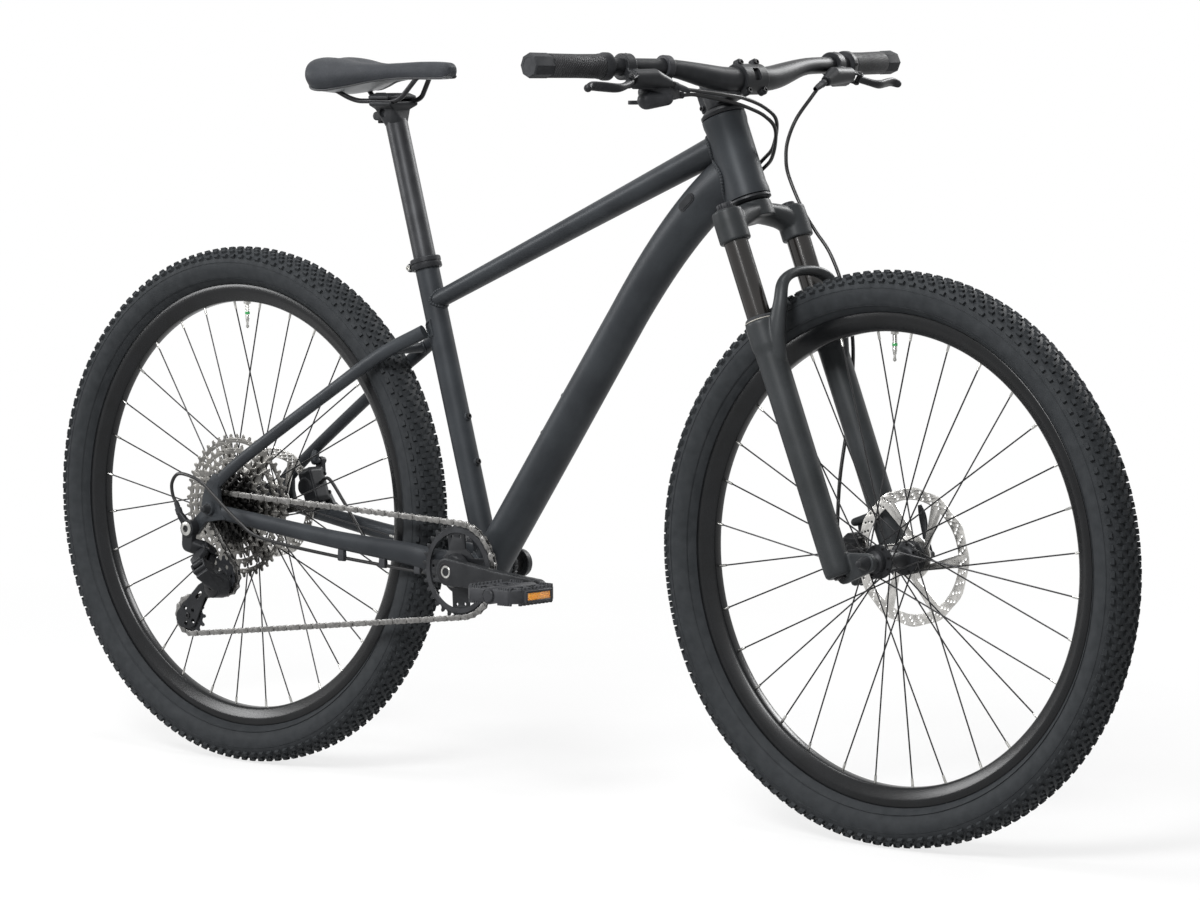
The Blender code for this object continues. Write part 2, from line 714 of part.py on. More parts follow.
def rotor(axle, plane, radius):
    """Wavy brake track on slanting arms round a six-bolt ring."""
    waves, samples = 9, 36
    outer = []
    for i in range(samples):
        angle = TAU * i / samples
        reach = radius - 0.0012 * (1 - math.cos(waves * angle))
        outer.append((reach * math.cos(angle), reach * math.sin(angle)))
    track = radius - 0.0165
    windows = []
    for i in range(6):
        start = 60 * i
        window = arc((0, 0), track, start + 5, start + 52, 3)
        window += arc((0, 0), 0.0290, start + 26, start - 14, 1)
        windows.append(window)
    holes = [circle((0, 0), 0.0170, 12), *windows]
    return plate([outer, *holes], ROTOR_THICKNESS, placed(axle + plane * Y, -Y, X))


def caliper(centre, outward, spread):
    """Brake caliper that straddles the rotor, with a slot for it and an ear on each post."""
    tangent = outward.cross(Y)
    body = hull(
        block(centre + outward * 0.010, (0.026, 0.026, 0.044), tangent, outward),
        block(centre + outward * 0.012 + 0.005 * Y, (0.016, 0.030, 0.052), tangent, outward),
    )
    arms = []
    for side in (-1, 1):
        near = centre + outward * 0.012 + tangent * side * 0.018 + 0.0206 * Y
        seat = post_seat(centre, outward, spread, side)
        ear = rod(seat + (POST_HEIGHT + GAP) * Y, seat + (POST_HEIGHT + 0.0080) * Y, 0.0062, sides=8)
        arms.append(hull(block(near, (0.012, 0.006, 0.012), tangent, outward), ear))
    slot = block(centre - outward * 0.010, (0.041, ROTOR_THICKNESS + 2 * PAD_CLEARANCE, 0.09), tangent, outward)
    return combine([body, *arms], [slot])


def post_seat(centre, outward, spread, side):
    """Middle of the post under one ear of a caliper."""
    return centre + outward * 0.016 + outward.cross(Y) * side * spread + 0.0095 * Y


def skewer(axle, half, nut_radius):
    """Through skewer with a conical nut on the drive side and a head on the other."""
    profile = [(0.0001, -half - 0.016), (nut_radius * 0.55, -half - 0.016), (nut_radius, -half - GAP)]
    profile += [(SKEWER_RADIUS, -half - GAP), (SKEWER_RADIUS, half + GAP), (nut_radius, half + GAP)]
    profile += [(nut_radius * 0.85, half + 0.010), (0.0001, half + 0.010)]
    profile[0], profile[-1] = (0, profile[0][1]), (0, profile[-1][1])
    return turned(profile, placed(axle, Y, X), 12)


# Fork


def fork_crown():
    """Forged crown with two leg sockets and the steerer."""
    base = AXLE_TO_CROWN - 0.053
    top = base + CROWN_SOCKET_LENGTH
    leg = LEG_SPACING / 2
    sockets = [
        rod(fork_point(base, LEG_LEAD, hand * leg), fork_point(top, LEG_LEAD, hand * leg), 0.0208, 0.0200, 12)
        for hand in (-1, 1)
    ]
    shoulders = [
        fork_point(top - 0.018, LEG_LEAD, -leg),
        fork_point(top - 0.008, LEG_LEAD * 0.7, -leg * 0.55),
        fork_point(top - 0.003, 0.002, 0),
        fork_point(top - 0.008, LEG_LEAD * 0.7, leg * 0.55),
        fork_point(top - 0.018, LEG_LEAD, leg),
    ]
    sizes = [(0.0150, 0.0150), (0.0165, 0.0135), (0.0200, 0.0110), (0.0165, 0.0135), (0.0150, 0.0150)]
    bridge = loft(shoulders, sizes, 10, across=steer_forward)
    race = rod(fork_point(top - 0.010), fork_point(AXLE_TO_CROWN), 0.0275, 0.0262, 16)
    reach = stem_bottom + STEM_HEIGHT - 0.002 - AXLE_TO_CROWN
    profile = [(0, -0.010), (STEERER_BASE_RADIUS, -0.010), (STEERER_BASE_RADIUS, 0.030)]
    profile += [(STEERER_RADIUS, 0.075), (STEERER_RADIUS, reach), (0, reach)]
    steerer = turned(profile, placed(fork_point(AXLE_TO_CROWN), steer_up, X), 16)
    bores = [
        rod(
            fork_point(base - 0.01, LEG_LEAD, hand * leg),
            fork_point(top - 0.006, LEG_LEAD, hand * leg),
            STANCHION_RADIUS + GAP,
            sides=12,
        )
        for hand in (-1, 1)
    ]
    return combine([bridge, *sockets, race, steerer], bores)


def stanchion(hand):
    leg = hand * LEG_SPACING / 2
    top = AXLE_TO_CROWN - 0.053 + CROWN_SOCKET_LENGTH - 0.006 - GAP
    return rod(fork_point(STANCHION_END, LEG_LEAD, leg), fork_point(top, LEG_LEAD, leg), STANCHION_RADIUS, sides=12)


def leg_dropout(hand):
    """Forward foot of a fork leg round the axle."""
    inner = hand * front_dropout
    outer = hand * (front_dropout + 0.0105)
    tip = [rod(front_axle + inner * Y, front_axle + outer * Y, 0.0125, sides=12)]
    ankle = fork_point(0.012, LEG_LEAD)
    tip.append(rod(ankle + inner * Y, ankle + outer * Y, 0.0150, sides=8))
    toe = fork_point(-0.006, LEG_LEAD)
    tip.append(rod(toe + inner * Y, toe + outer * Y, 0.0080, sides=8))
    return hull(*tip)


def fork_arch():
    """Brace ahead of the crown that joins the legs over the tyre."""
    leg = LEG_SPACING / 2
    top = TYRE_RADIUS + ARCH_CLEARANCE
    half = [(0.022, 0.092, 0), (0.041, 0.059, 0.003), (0.046, 0.024, 0.014), (0.048, 0.006, 0.034)]
    points = [fork_point(top - down, forward, inset - leg) for forward, down, inset in half]
    points.append(fork_point(top, 0.049))
    points += [fork_point(top - down, forward, leg - inset) for forward, down, inset in reversed(half)]
    sizes = [(0.010, 0.012), (0.0085, 0.011), (0.0075, 0.0095), (0.007, 0.009)]
    return loft(points, sizes + [(0.007, 0.0085)] + sizes[::-1], 8, across=steer_forward)


def front_caliper_frame():
    """Place of the front caliper behind the left leg."""
    outward = (-0.93 * steer_forward + 0.37 * steer_up).normalized()
    centre = front_axle + outward * (FRONT_ROTOR_RADIUS - 0.008) + FRONT_ROTOR_PLANE * Y
    return centre, outward, FRONT_POST_SPREAD


def fork_lowers():
    """Magnesium casting: two legs, the arch over the tyre, dropouts and caliper posts."""
    leg = LEG_SPACING / 2
    solids, bores = [fork_arch()], []
    for hand in (-1, 1):
        y = hand * leg
        solids.append(rod(fork_point(-0.004, LEG_LEAD, y), fork_point(LOWER_TOP, LEG_LEAD, y), 0.0185, LOWER_RADIUS, 12))
        solids.append(rod(fork_point(LOWER_TOP - 0.028, LEG_LEAD, y), fork_point(LOWER_TOP, LEG_LEAD, y), 0.0212, sides=16))
        solids.append(leg_dropout(hand))
        bore_end = STANCHION_END - FORK_TRAVEL - 0.010
        bores.append(
            rod(fork_point(bore_end, LEG_LEAD, y), fork_point(LOWER_TOP + 0.02, LEG_LEAD, y), STANCHION_RADIUS + GAP, sides=12)
        )
    centre, outward, spread = front_caliper_frame()
    tangent = outward.cross(Y)
    for side in (-1, 1):
        foot = post_seat(centre, outward, spread, side)
        along = (foot - front_axle).dot(steer_up)
        root = fork_point(max(along, -0.002), LEG_LEAD - 0.006, leg - 0.010)
        solids.append(hull(ball(foot, 0.0055), ball(foot - 0.0045 * Y, 0.0055), ball(root, 0.0060)))
        solids.append(rod(foot - 0.003 * Y, foot + POST_HEIGHT * Y, 0.0050, sides=8))
    axle_hole = rod(front_axle - 0.1 * Y, front_axle + 0.1 * Y, SKEWER_RADIUS + GAP, sides=12)
    return combine(solids, [*bores, axle_hole])


def axle_lever():
    """Flat quick-release lever on the left end of the front skewer."""
    pivot = lever_pivot()
    back = (steer_forward * 0.10 + steer_up).normalized()
    points = [pivot + back * reach + Y * lift for reach, lift in ((0.004, 0), (0.022, 0.001), (0.050, 0.004), (0.066, 0.003))]
    blade = loft(points, [(0.0060, 0.0032), (0.0048, 0.0030), (0.0060, 0.0026), (0.0035, 0.0018)], 8, across=back.cross(Y))
    return blade


def lever_pivot():
    return front_axle + (front_dropout + 0.0105 + 0.010 + 0.0035) * Y


# Cockpit


def stem():
    """Body that clamps the steerer and holds the back half of the bar clamp."""
    low, high = fork_point(stem_bottom + GAP), fork_point(stem_bottom + STEM_HEIGHT)
    sleeve = rod(low, high, 0.0188, sides=16)
    bar = fork_point(stem_middle, STEM_LENGTH)
    saddle = rod(bar - 0.023 * Y, bar + 0.023 * Y, 0.0205, sides=16)
    neck = hull(
        block(fork_point(stem_middle, 0.006), (0.010, 0.032, 0.032), steer_up, steer_forward),
        block(fork_point(stem_middle, STEM_LENGTH - 0.012), (0.008, 0.040, 0.030), steer_up, steer_forward),
    )
    ears = block(fork_point(stem_middle, -0.0215), (0.012, 0.014, 0.034), steer_up, steer_forward)
    cuts = [
        rod(fork_point(stem_bottom - 0.01), fork_point(stem_bottom + STEM_HEIGHT + 0.01), STEERER_RADIUS + GAP, sides=16),
        rod(bar - 0.05 * Y, bar + 0.05 * Y, BAR_CLAMP_RADIUS + GAP, sides=12),
        block(fork_point(stem_middle, STEM_LENGTH + 0.0308), (0.060, 0.08, 0.08), steer_up, steer_forward),
        block(fork_point(stem_middle, -0.022), (0.022, 0.002, 0.05), steer_up, steer_forward),
    ]
    return combine([sleeve, saddle, neck, ears], cuts)


def stem_faceplate():
    """Front half of the bar clamp with a window and four bolt lugs."""
    bar = fork_point(stem_middle, STEM_LENGTH)
    saddle = rod(bar - 0.023 * Y, bar + 0.023 * Y, 0.0200, sides=16)
    lugs = [
        block(bar + steer_forward * 0.0055 + steer_up * up * 0.0195 + Y * left * 0.0165, (0.009, 0.012, 0.0085), steer_up, steer_forward)
        for up in (-1, 1)
        for left in (-1, 1)
    ]
    cuts = [
        rod(bar - 0.05 * Y, bar + 0.05 * Y, BAR_CLAMP_RADIUS + GAP, sides=12),
        block(fork_point(stem_middle, STEM_LENGTH - 0.0282), (0.060, 0.08, 0.08), steer_up, steer_forward),
        block(fork_point(stem_middle, STEM_LENGTH + 0.02), (0.030, 0.012, 0.017), steer_up, steer_forward),
    ]
    return combine([saddle, *lugs], cuts)


def handlebar():
    half = BAR_WIDTH / 2 - 0.003
    clamp = shifter_place + 0.008, shifter_place - 0.008
    places = [half, half - GRIP_LENGTH, *clamp]
    places += [shifter_place * share for share in (0.79, 0.65, 0.51, 0.38, 0.24)]
    lefts = [-p for p in places] + places[::-1]
    sizes = []
    for left in lefts:
        share = min(max((abs(left) / shifter_place - 0.34) / 0.48, 0), 1)
        radius = BAR_CLAMP_RADIUS + (BAR_GRIP_RADIUS - BAR_CLAMP_RADIUS) * share
        sizes.append((radius, radius))
    return loft([bar_point(left) for left in lefts], sizes, 12, across=Z)


def bar_frame(hand, place):
    """Point on the bar and its direction outward, forward and down at a control's place."""
    here = bar_point(hand * place)
    outward = (bar_point(hand * (place + 0.01)) - here).normalized()
    ahead = Vector((math.cos(LEVER_TILT), 0, -math.sin(LEVER_TILT)))
    ahead = (ahead - ahead.dot(outward) * outward).normalized()
    return here, outward, ahead


def grip(hand):
    """Lock-on grip with a collar at each end, closed over the end of the bar."""
    half = BAR_WIDTH / 2
    start = bar_point(hand * (half - GRIP_LENGTH))
    end = bar_point(hand * half)
    length = (end - start).length
    bore = BAR_GRIP_RADIUS + GAP
    collar = GRIP_RADIUS + 0.0022
    profile = [(0, length - 0.0026), (bore, length - 0.0026), (bore, 0), (collar, 0), (collar, 0.010)]
    profile += [(GRIP_RADIUS, 0.0115), (GRIP_RADIUS, length - 0.012), (collar - 0.0008, length - 0.009)]
    profile += [(collar - 0.0008, length - 0.002), (GRIP_RADIUS - 0.001, length), (0, length)]
    return turned(profile, placed(start, end - start, Z), 12)


def lever_hinge(hand):
    here, outward, ahead = bar_frame(hand, lever_place)
    return here + outward * 0.016 + ahead * 0.0345


def lever_body(hand):
    """Bar clamp with the master cylinder along the bar and its reservoir."""
    here, outward, ahead = bar_frame(hand, lever_place)
    up = outward.cross(ahead) * hand
    clamp = rod(here - outward * 0.0065, here + outward * 0.0065, 0.0162, sides=12)
    cylinder = hull(
        rod(here - outward * 0.052 + ahead * 0.0225, here - outward * 0.046 + ahead * 0.0225, 0.0060, sides=8),
        rod(here - outward * 0.030 + ahead * 0.0235, here + outward * 0.004 + ahead * 0.0255, 0.0088, sides=8),
    )
    neck = hull(
        block(here + ahead * 0.012, (0.012, 0.012, 0.014), ahead, outward),
        block(here + ahead * 0.0235, (0.020, 0.012, 0.010), ahead, outward),
    )
    fork = []
    for side in (-1, 1):
        lift = up * side * 0.0066
        fork.append(
            hull(
                rod(lever_hinge(hand) + lift - up * 0.0014, lever_hinge(hand) + lift + up * 0.0014, 0.0052, sides=8),
                block(here + outward * 0.002 + ahead * 0.0255 + lift, (0.008, 0.008, 0.0028), up, outward),
            )
        )
    hole = rod(here - outward * 0.03, here + outward * 0.03, BAR_GRIP_RADIUS + GAP, sides=12)
    return combine([clamp, neck, cylinder, *fork], [hole])


def brake_lever(hand):
    """Two-finger blade that swings between the cheeks of the lever body."""
    here, outward, ahead = bar_frame(hand, lever_place)
    up = outward.cross(ahead) * hand
    pivot = lever_hinge(hand)
    run = [(0, 0.0015), (0.018, 0.0120), (0.034, 0.0165), (0.056, 0.0140), (0.074, 0.0125), (0.083, 0.0175)]
    points = [pivot + outward * o + ahead * a for o, a in run]
    sizes = [(0.0046, 0.0046), (0.0045, 0.0042), (0.0052, 0.0040), (0.0058, 0.0036), (0.0054, 0.0034), (0.0044, 0.0036)]
    return loft(points, sizes, 8, across=up)


def shifter_centre():
    """Middle of the pod, with the bar's way outward there laid level."""
    here, outward, ahead = bar_frame(-1, shifter_place)
    level = (outward - outward.z * Z).normalized()
    return here + outward * 0.014 - Z * 0.036 + X * 0.004, level, ahead


def shifter_body():
    """Trigger shifter pod under the right side of the bar."""
    here, outward, ahead = bar_frame(-1, shifter_place)
    centre, level, _ = shifter_centre()
    clamp = rod(here - outward * 0.0055, here + outward * 0.0055, 0.0160, sides=12)
    neck = block(here - Z * 0.022, (0.009, 0.014, 0.021), Z, outward)
    pod = hull(
        rod(centre + Z * 0.008, centre - Z * 0.006, 0.0185, 0.0165, 8),
        block(centre - level * 0.020 + Z * 0.001, (0.012, 0.016, 0.012), Z, level),
    )
    spigot = rod(centre - level * 0.022 + X * 0.004, centre - level * 0.036 + X * 0.004, 0.0042, sides=8)
    hole = rod(here - outward * 0.03, here + outward * 0.03, BAR_GRIP_RADIUS + 2 * GAP, sides=12)
    return combine([pod, neck, clamp, spigot], [hole])


def shift_paddle(level, reach, sweep):
    """Thumb lever under the pod, on the pod's upright pin."""
    centre, outward, ahead = shifter_centre()
    hub = centre - Z * level
    back = (-X * math.cos(sweep) + outward * math.sin(sweep)).normalized()
    boss = rod(hub - Z * 0.0016, hub + Z * 0.0016, 0.0075, sides=8)
    arm = hull(
        rod(hub - Z * 0.0014, hub + Z * 0.0014, 0.0050, sides=8),
        rod(hub + back * reach * 0.6 - Z * 0.0014, hub + back * reach * 0.6 + Z * 0.0014, 0.0055, sides=8),
    )
    pad = hull(
        rod(hub + back * reach * 0.6 - Z * 0.0014, hub + back * reach * 0.6 + Z * 0.0014, 0.0055, sides=8),
        rod(hub + back * reach - Z * 0.004, hub + back * reach + Z * 0.0012, 0.0085, sides=8),
    )
    return combine([boss, arm, pad])


# Seat


def post_top():
    return seat_point(SEAT_TUBE_LENGTH + SEATPOST_EXPOSED)


def rail_height():
    return post_top().z + 0.0165


def seatpost():
    """Post with a cradle for the rails at its head."""
    top = post_top()
    post = rod(seat_point(SEAT_TUBE_LENGTH - SEATPOST_INSERTED), top, SEATPOST_RADIUS, sides=16)
    head = Vector((top.x - 0.004, 0, rail_height() - 0.0115))
    cradle = hull(
        rod(top - seat_up * 0.012, top - seat_up * 0.004, SEATPOST_RADIUS, sides=16),
        block(head, (0.048, 0.030, 0.008)),
    )
    wings = block(head + Z * 0.0030, (0.036, 0.058, 0.0055))
    grooves = [
        rod(head + Vector((-0.06, hand * RAIL_SPACING / 2, 0.0115)), head + Vector((0.06, hand * RAIL_SPACING / 2, 0.0115)), RAIL_RADIUS + GAP + 0.0028, sides=8)
        for hand in (-1, 1)
    ]
    return combine([post, cradle, wings], grooves)


def saddle_clamp():
    """Upper yoke that grips the rails from above, with two bolts into the cradle."""
    head = Vector((post_top().x - 0.004, 0, rail_height()))
    yoke = hull(
        block(head + Z * 0.0075, (0.030, 0.058, 0.004)),
        block(head + Z * 0.0105, (0.020, 0.050, 0.003)),
    )
    lips = [block(head + Vector((0, hand * RAIL_SPACING / 2, 0.0048)), (0.030, 0.012, 0.006)) for hand in (-1, 1)]
    grooves = [
        rod(head + Vector((-0.06, hand * RAIL_SPACING / 2, 0)), head + Vector((0.06, hand * RAIL_SPACING / 2, 0)), RAIL_RADIUS + GAP, sides=8)
        for hand in (-1, 1)
    ]
    tongue = block(head + Z * 0.0010, (0.026, 0.020, 0.0128))
    return combine([yoke, *lips, tongue], grooves)


def saddle_centre():
    return Vector((post_top().x, 0, rail_height()))


def rail_points():
    """Course of the rails: tail sockets, the level run through the clamp, and the nose."""
    base = saddle_centre()
    half = RAIL_SPACING / 2
    side = [(-0.128, 0.052, 0.020), (-0.112, 0.045, 0.016), (-0.086, 0.026, 0.004), (-0.066, half, 0)]
    side += [(0.030, half, 0), (0.058, half * 0.92, 0.004), (0.086, 0.0125, 0.0205), (0.096, 0.0060, 0.0240)]
    right = [base + Vector((x, -y, z)) for x, y, z in side]
    left = [base + Vector((x, y, z)) for x, y, z in reversed(side)]
    return right + left


def saddle_rails():
    """Pair of rails joined across the nose, as one bent bar."""
    return pipe(rail_points(), RAIL_RADIUS, 8, across=Z)


def saddle():
    """Padded shell: a wide raised tail, a narrow nose and drawn-in flanks."""
    base = saddle_centre()
    nose = base.x + SADDLE_NOSE
    half = SADDLE_WIDTH / 2
    shape = [
        (0.000, 0.10, 0.030, 0.021),
        (0.012, 0.19, 0.036, 0.015),
        (0.060, 0.25, 0.0405, 0.016),
        (0.120, 0.30, 0.0410, 0.018),
        (0.165, 0.46, 0.0400, 0.020),
        (0.205, 0.74, 0.0450, 0.020),
        (0.240, 0.95, 0.0540, 0.021),
        (0.265, 0.96, 0.0595, 0.0235),
        (0.280, 0.82, 0.0590, 0.0290),
        (0.284, 0.60, 0.0550, 0.0340),
    ]
    bm = bmesh.new()
    loops = []
    sides = 20
    for back, wide, top, bottom in shape:
        x = nose - back * SADDLE_LENGTH / 0.284
        verts = []
        for i in range(sides):
            angle = TAU * (i + 0.5) / sides
            c, s = math.cos(angle), math.sin(angle)
            across = math.copysign(abs(c) ** 0.72, c) * half * wide
            if s > 0:
                dip = 0.0022 * wide * math.exp(-((across / 0.012) ** 2))
                lift = (top - 0.008 - bottom) * 0.5 + 0.008
                height = bottom + (top - 0.008 - bottom) * 0.5 + lift * s**0.62 - dip
            else:
                height = bottom + (top - 0.008 - bottom) * 0.5 * (1 - abs(s) ** 0.8)
                across *= 1 - 0.10 * abs(s)
            verts.append(bm.verts.new((x, across, base.z + height)))
        loops.append([bm.edges.new((a, b)) for a, b in zip(verts, verts[1:] + verts[:1])])
    for near, far in zip(loops, loops[1:]):
        bmesh.ops.bridge_loops(bm, edges=near + far)
    for end in (loops[0], loops[-1]):
        bmesh.ops.contextual_create(bm, geom=end)
    course = rail_points()
    course[0] = course[0] + (course[0] - course[1]).normalized() * 0.001
    course[-1] = course[-1] + (course[-1] - course[-2]).normalized() * 0.001
    return combine([settle(bm)], [pipe(course, RAIL_RADIUS + 2 * GAP, 8, across=Z)])


# Drivetrain


def pitch_radius(teeth):
    return PITCH / (2 * math.sin(math.pi / teeth))


def toothed(teeth, phase, seat_half=0.0041):
    """Outline of a sprocket: a flat seat for each roller and a pointed tooth between seats."""
    pitch = pitch_radius(teeth)
    root = pitch - CHAIN_HALF_HEIGHT - 0.0004
    tip = pitch + 0.0018
    outline = []
    for i in range(teeth):
        middle = phase + TAU * i / teeth
        half = seat_half / root
        outline.append((root * math.cos(middle - half), root * math.sin(middle - half)))
        outline.append((root * math.cos(middle + half), root * math.sin(middle + half)))
        point = middle + math.pi / teeth
        outline.append((tip * math.cos(point), tip * math.sin(point)))
    return outline


def zigzag(teeth, phase=0.0):
    """Plainer outline for a cog with no chain on it, with every second tooth on the large ones."""
    pitch = pitch_radius(teeth)
    points = 2 * teeth if teeth < 20 else 2 * round(teeth / 2)
    outline = []
    for i in range(points):
        reach = pitch - 0.0042 if i % 2 else pitch + 0.0018
        angle = phase + TAU * i / points
        outline.append((reach * math.cos(angle), reach * math.sin(angle)))
    return outline


def tangent_line(a, radius_a, b, radius_b, turn_a, turn_b):
    """Touching points of a line that leaves circle a and meets circle b, both on (x, z)."""
    dx, dz = b[0] - a[0], b[1] - a[1]
    span = math.hypot(dx, dz)
    reach = turn_a * radius_a - turn_b * radius_b
    base = math.atan2(dz, dx)
    angle = base + math.acos(reach / span)
    normal = (math.cos(angle), math.sin(angle))
    start = (a[0] + turn_a * radius_a * normal[0], a[1] + turn_a * radius_a * normal[1])
    end = (b[0] + turn_b * radius_b * normal[0], b[1] + turn_b * radius_b * normal[1])
    return start, end


def chain_wheels(cage_angle):
    """Chain wheels in the order the chain meets them: centre, teeth, turn and plane."""
    pivot = cage_pivot()
    guide = pivot + guide_offset()
    reach = Vector((math.cos(cage_angle), 0, math.sin(cage_angle)))
    tension = guide + CAGE_LENGTH * reach
    return [
        (rear_axle, COG_TEETH[0], 1, SMALL_COG_PLANE),
        (bottom_bracket, CHAINRING_TEETH, 1, CHAINRING_PLANE),
        (tension, PULLEY_TEETH, 1, SMALL_COG_PLANE),
        (guide, PULLEY_TEETH, -1, SMALL_COG_PLANE),
    ]


def cage_pivot():
    return rear_point(0.015, -0.110, SMALL_COG_PLANE)


def guide_offset():
    return Vector((-0.003, 0, 0.013))


def chain_course(cage_angle):
    """Runs and wraps of the chain: a list of (length, function of distance along it)."""
    wheels = chain_wheels(cage_angle)
    count = len(wheels)
    lines = []
    for i in range(count):
        (a, ta, turn_a, ya), (b, tb, turn_b, yb) = wheels[i], wheels[(i + 1) % count]
        start, end = tangent_line((a.x, a.z), pitch_radius(ta), (b.x, b.z), pitch_radius(tb), turn_a, turn_b)
        lines.append((Vector((start[0], ya, start[1])), Vector((end[0], yb, end[1]))))
    course = []
    for i in range(count):
        start, end = lines[i]
        course.append(("run", (end - start).length, start, end))
        centre, teeth, turn, plane = wheels[(i + 1) % count]
        leave = lines[(i + 1) % count][0]
        first = math.atan2(end.z - centre.z, end.x - centre.x)
        last = math.atan2(leave.z - centre.z, leave.x - centre.x)
        sweep = ((first - last) * turn) % TAU
        course.append(("wrap", sweep * teeth * PITCH / TAU, (centre, teeth, turn, plane), first))
    return course


def chain_length(cage_angle):
    return sum(part[1] for part in chain_course(cage_angle))


def fitted_cage_angle():
    """Cage angle that takes up the chain's slack, so that it holds a whole even number of links."""
    low, high = math.radians(-160), math.radians(-60)
    wanted = math.radians(-134)
    links = 2 * round(chain_length(wanted) / PITCH / 2)
    rising = chain_length(high) > chain_length(low)
    for _ in range(60):
        middle = (low + high) / 2
        if (chain_length(middle) < links * PITCH) == rising:
            low = middle
        else:
            high = middle
    return (low + high) / 2, links


def chain_place(course, distance):
    """Point on the chain's pitch line, its direction, and whether it lies on a wheel."""
    for kind, length, *rest in course:
        if distance <= length + 1e-9:
            break
        distance -= length
    if kind == "run":
        start, end = rest
        along = (end - start).normalized()
        share = min(max((distance / length - 0.15) / 0.70, 0), 1)
        spot = start + along * distance
        spot.y = start.y + (end.y - start.y) * share
        return spot, along, False
    (centre, teeth, turn, plane), first = rest
    angle = first - turn * distance / (teeth * PITCH) * TAU
    radius = pitch_radius(teeth)
    point = Vector((centre.x + radius * math.cos(angle), plane, centre.z + radius * math.sin(angle)))
    along = turn * Vector((math.sin(angle), 0, -math.cos(angle)))
    return point, along, True


def wheel_phase(course, wheel, offset):
    """Angle of a roller that sits on one of the chain's wheels."""
    travelled = 0.0
    for kind, length, *rest in course:
        if kind == "wrap" and rest[0][0] == wheel:
            step = math.ceil((travelled - offset) / PITCH) * PITCH + offset
            point = chain_place(course, step)[0]
            return math.atan2(point.z - wheel.z, point.x - wheel.x)
        travelled += length
    return 0.0


def chain(course, links):
    """Roller chain: two ribbons of side plates joined by a roller at each pin.

    The straight runs have a roller at every second pin.
    """
    bm = bmesh.new()
    pins = []
    kept = -2
    for i in range(links):
        point, along, on_wheel = chain_place(course, i * PITCH)
        if not on_wheel and i - kept < 2:
            continue
        kept = i
        up = along.cross(Y).normalized() * CHAIN_HALF_HEIGHT
        corners = {}
        for hand in (-1, 1):
            for level in (-1, 1):
                corners[hand, level, 0] = bm.verts.new(point + hand * CHAIN_OUTER_HALF * Y + level * up)
                for end in (-1, 1):
                    spot = point + hand * CHAIN_INNER_HALF * Y + level * up + end * ROLLER_HALF * along
                    corners[hand, level, end] = bm.verts.new(spot)
        pins.append(corners)
    for a, b in zip(pins, pins[1:] + pins[:1]):
        for hand in (-1, 1):
            bm.faces.new((a[hand, -1, 0], a[hand, 1, 0], b[hand, 1, 0], b[hand, -1, 0]))
            bm.faces.new((a[hand, -1, 1], a[hand, 1, 1], b[hand, 1, -1], b[hand, -1, -1]))
            for level in (-1, 1):
                bm.faces.new((a[hand, level, 0], a[hand, level, -1], a[hand, level, 1]))
                bm.faces.new((a[hand, level, 0], a[hand, level, 1], b[hand, level, -1], b[hand, level, 0]))
        for level in (-1, 1):
            bm.faces.new((a[-1, level, -1], a[-1, level, 1], a[1, level, 1], a[1, level, -1]))
        for end in (-1, 1):
            bm.faces.new((a[-1, -1, end], a[-1, 1, end], a[1, 1, end], a[1, -1, end]))
    return settle(bm)


def flat_on(centre, plane):
    """Matrix of a sprocket's plane, seen from the drive side."""
    return placed(Vector((centre.x, plane, centre.z)), -Y, X)


def chainring(phase):
    """Toothed ring on four arms round the crank's splined seat."""
    root = pitch_radius(CHAINRING_TEETH) - 0.012
    windows = []
    for i in range(4):
        start = 90 * i + 20
        windows.append(arc((0, 0), root, start, start + 62, 3) + arc((0, 0), 0.0310, start + 50, start + 12, 1))
    outlines = [toothed(CHAINRING_TEETH, phase), *windows, circle((0, 0), CHAINRING_BORE, 16)]
    return plate(outlines, 0.0018, flat_on(bottom_bracket, CHAINRING_PLANE))


CHAINRING_BORE = 0.0200


def crank_end(hand):
    turn = CRANK_ANGLE if hand < 0 else CRANK_ANGLE + math.pi
    return bottom_bracket + CRANK_LENGTH * Vector((math.cos(turn), 0, math.sin(turn)))


def crank_arm(hand):
    """Forged arm from the spindle to the pedal axle."""
    end = crank_end(hand)
    along = (end - bottom_bracket).normalized()
    inner = hand * ARM_INNER_PLANE * Y
    thick = hand * ARM_THICKNESS * Y
    flare = hand * 0.0085 * Y
    root = rod(bottom_bracket + inner, bottom_bracket + inner + thick, 0.0215, 0.0190, 12)
    waist = bottom_bracket + along * CRANK_LENGTH * 0.55 + inner + flare * 0.6
    body = hull(
        rod(bottom_bracket + inner, bottom_bracket + inner + thick, 0.0190, sides=12),
        rod(waist, waist + thick * 0.95, 0.0140, sides=8),
    )
    tip = hull(
        rod(waist, waist + thick * 0.95, 0.0140, sides=8),
        rod(end + inner + flare, end + inner + flare + thick, 0.0135, sides=12),
    )
    axle = rod(end + inner + flare, end + inner + flare + thick + hand * PEDAL_WIDTH * Y, PEDAL_AXLE_RADIUS, sides=8)
    return [root, body, tip, axle]


def crank_right():
    """Drive arm with its spindle and the seat for the chainring."""
    reach = ARM_INNER_PLANE + ARM_THICKNESS - 0.002
    spindle = rod(bottom_bracket - (ARM_INNER_PLANE + 0.002) * Y, bottom_bracket + reach * Y, SPINDLE_RADIUS, sides=16)
    plane = bottom_bracket + CHAINRING_PLANE * Y
    seat = rod(plane + 0.0035 * Y, bottom_bracket - (ARM_INNER_PLANE + 0.003) * Y, CHAINRING_BORE - GAP, sides=16)
    lip = rod(plane - 0.0035 * Y, bottom_bracket - (ARM_INNER_PLANE + 0.002) * Y, CHAINRING_BORE + 0.0045, sides=16)
    return combine([*crank_arm(-1), spindle, seat, lip])


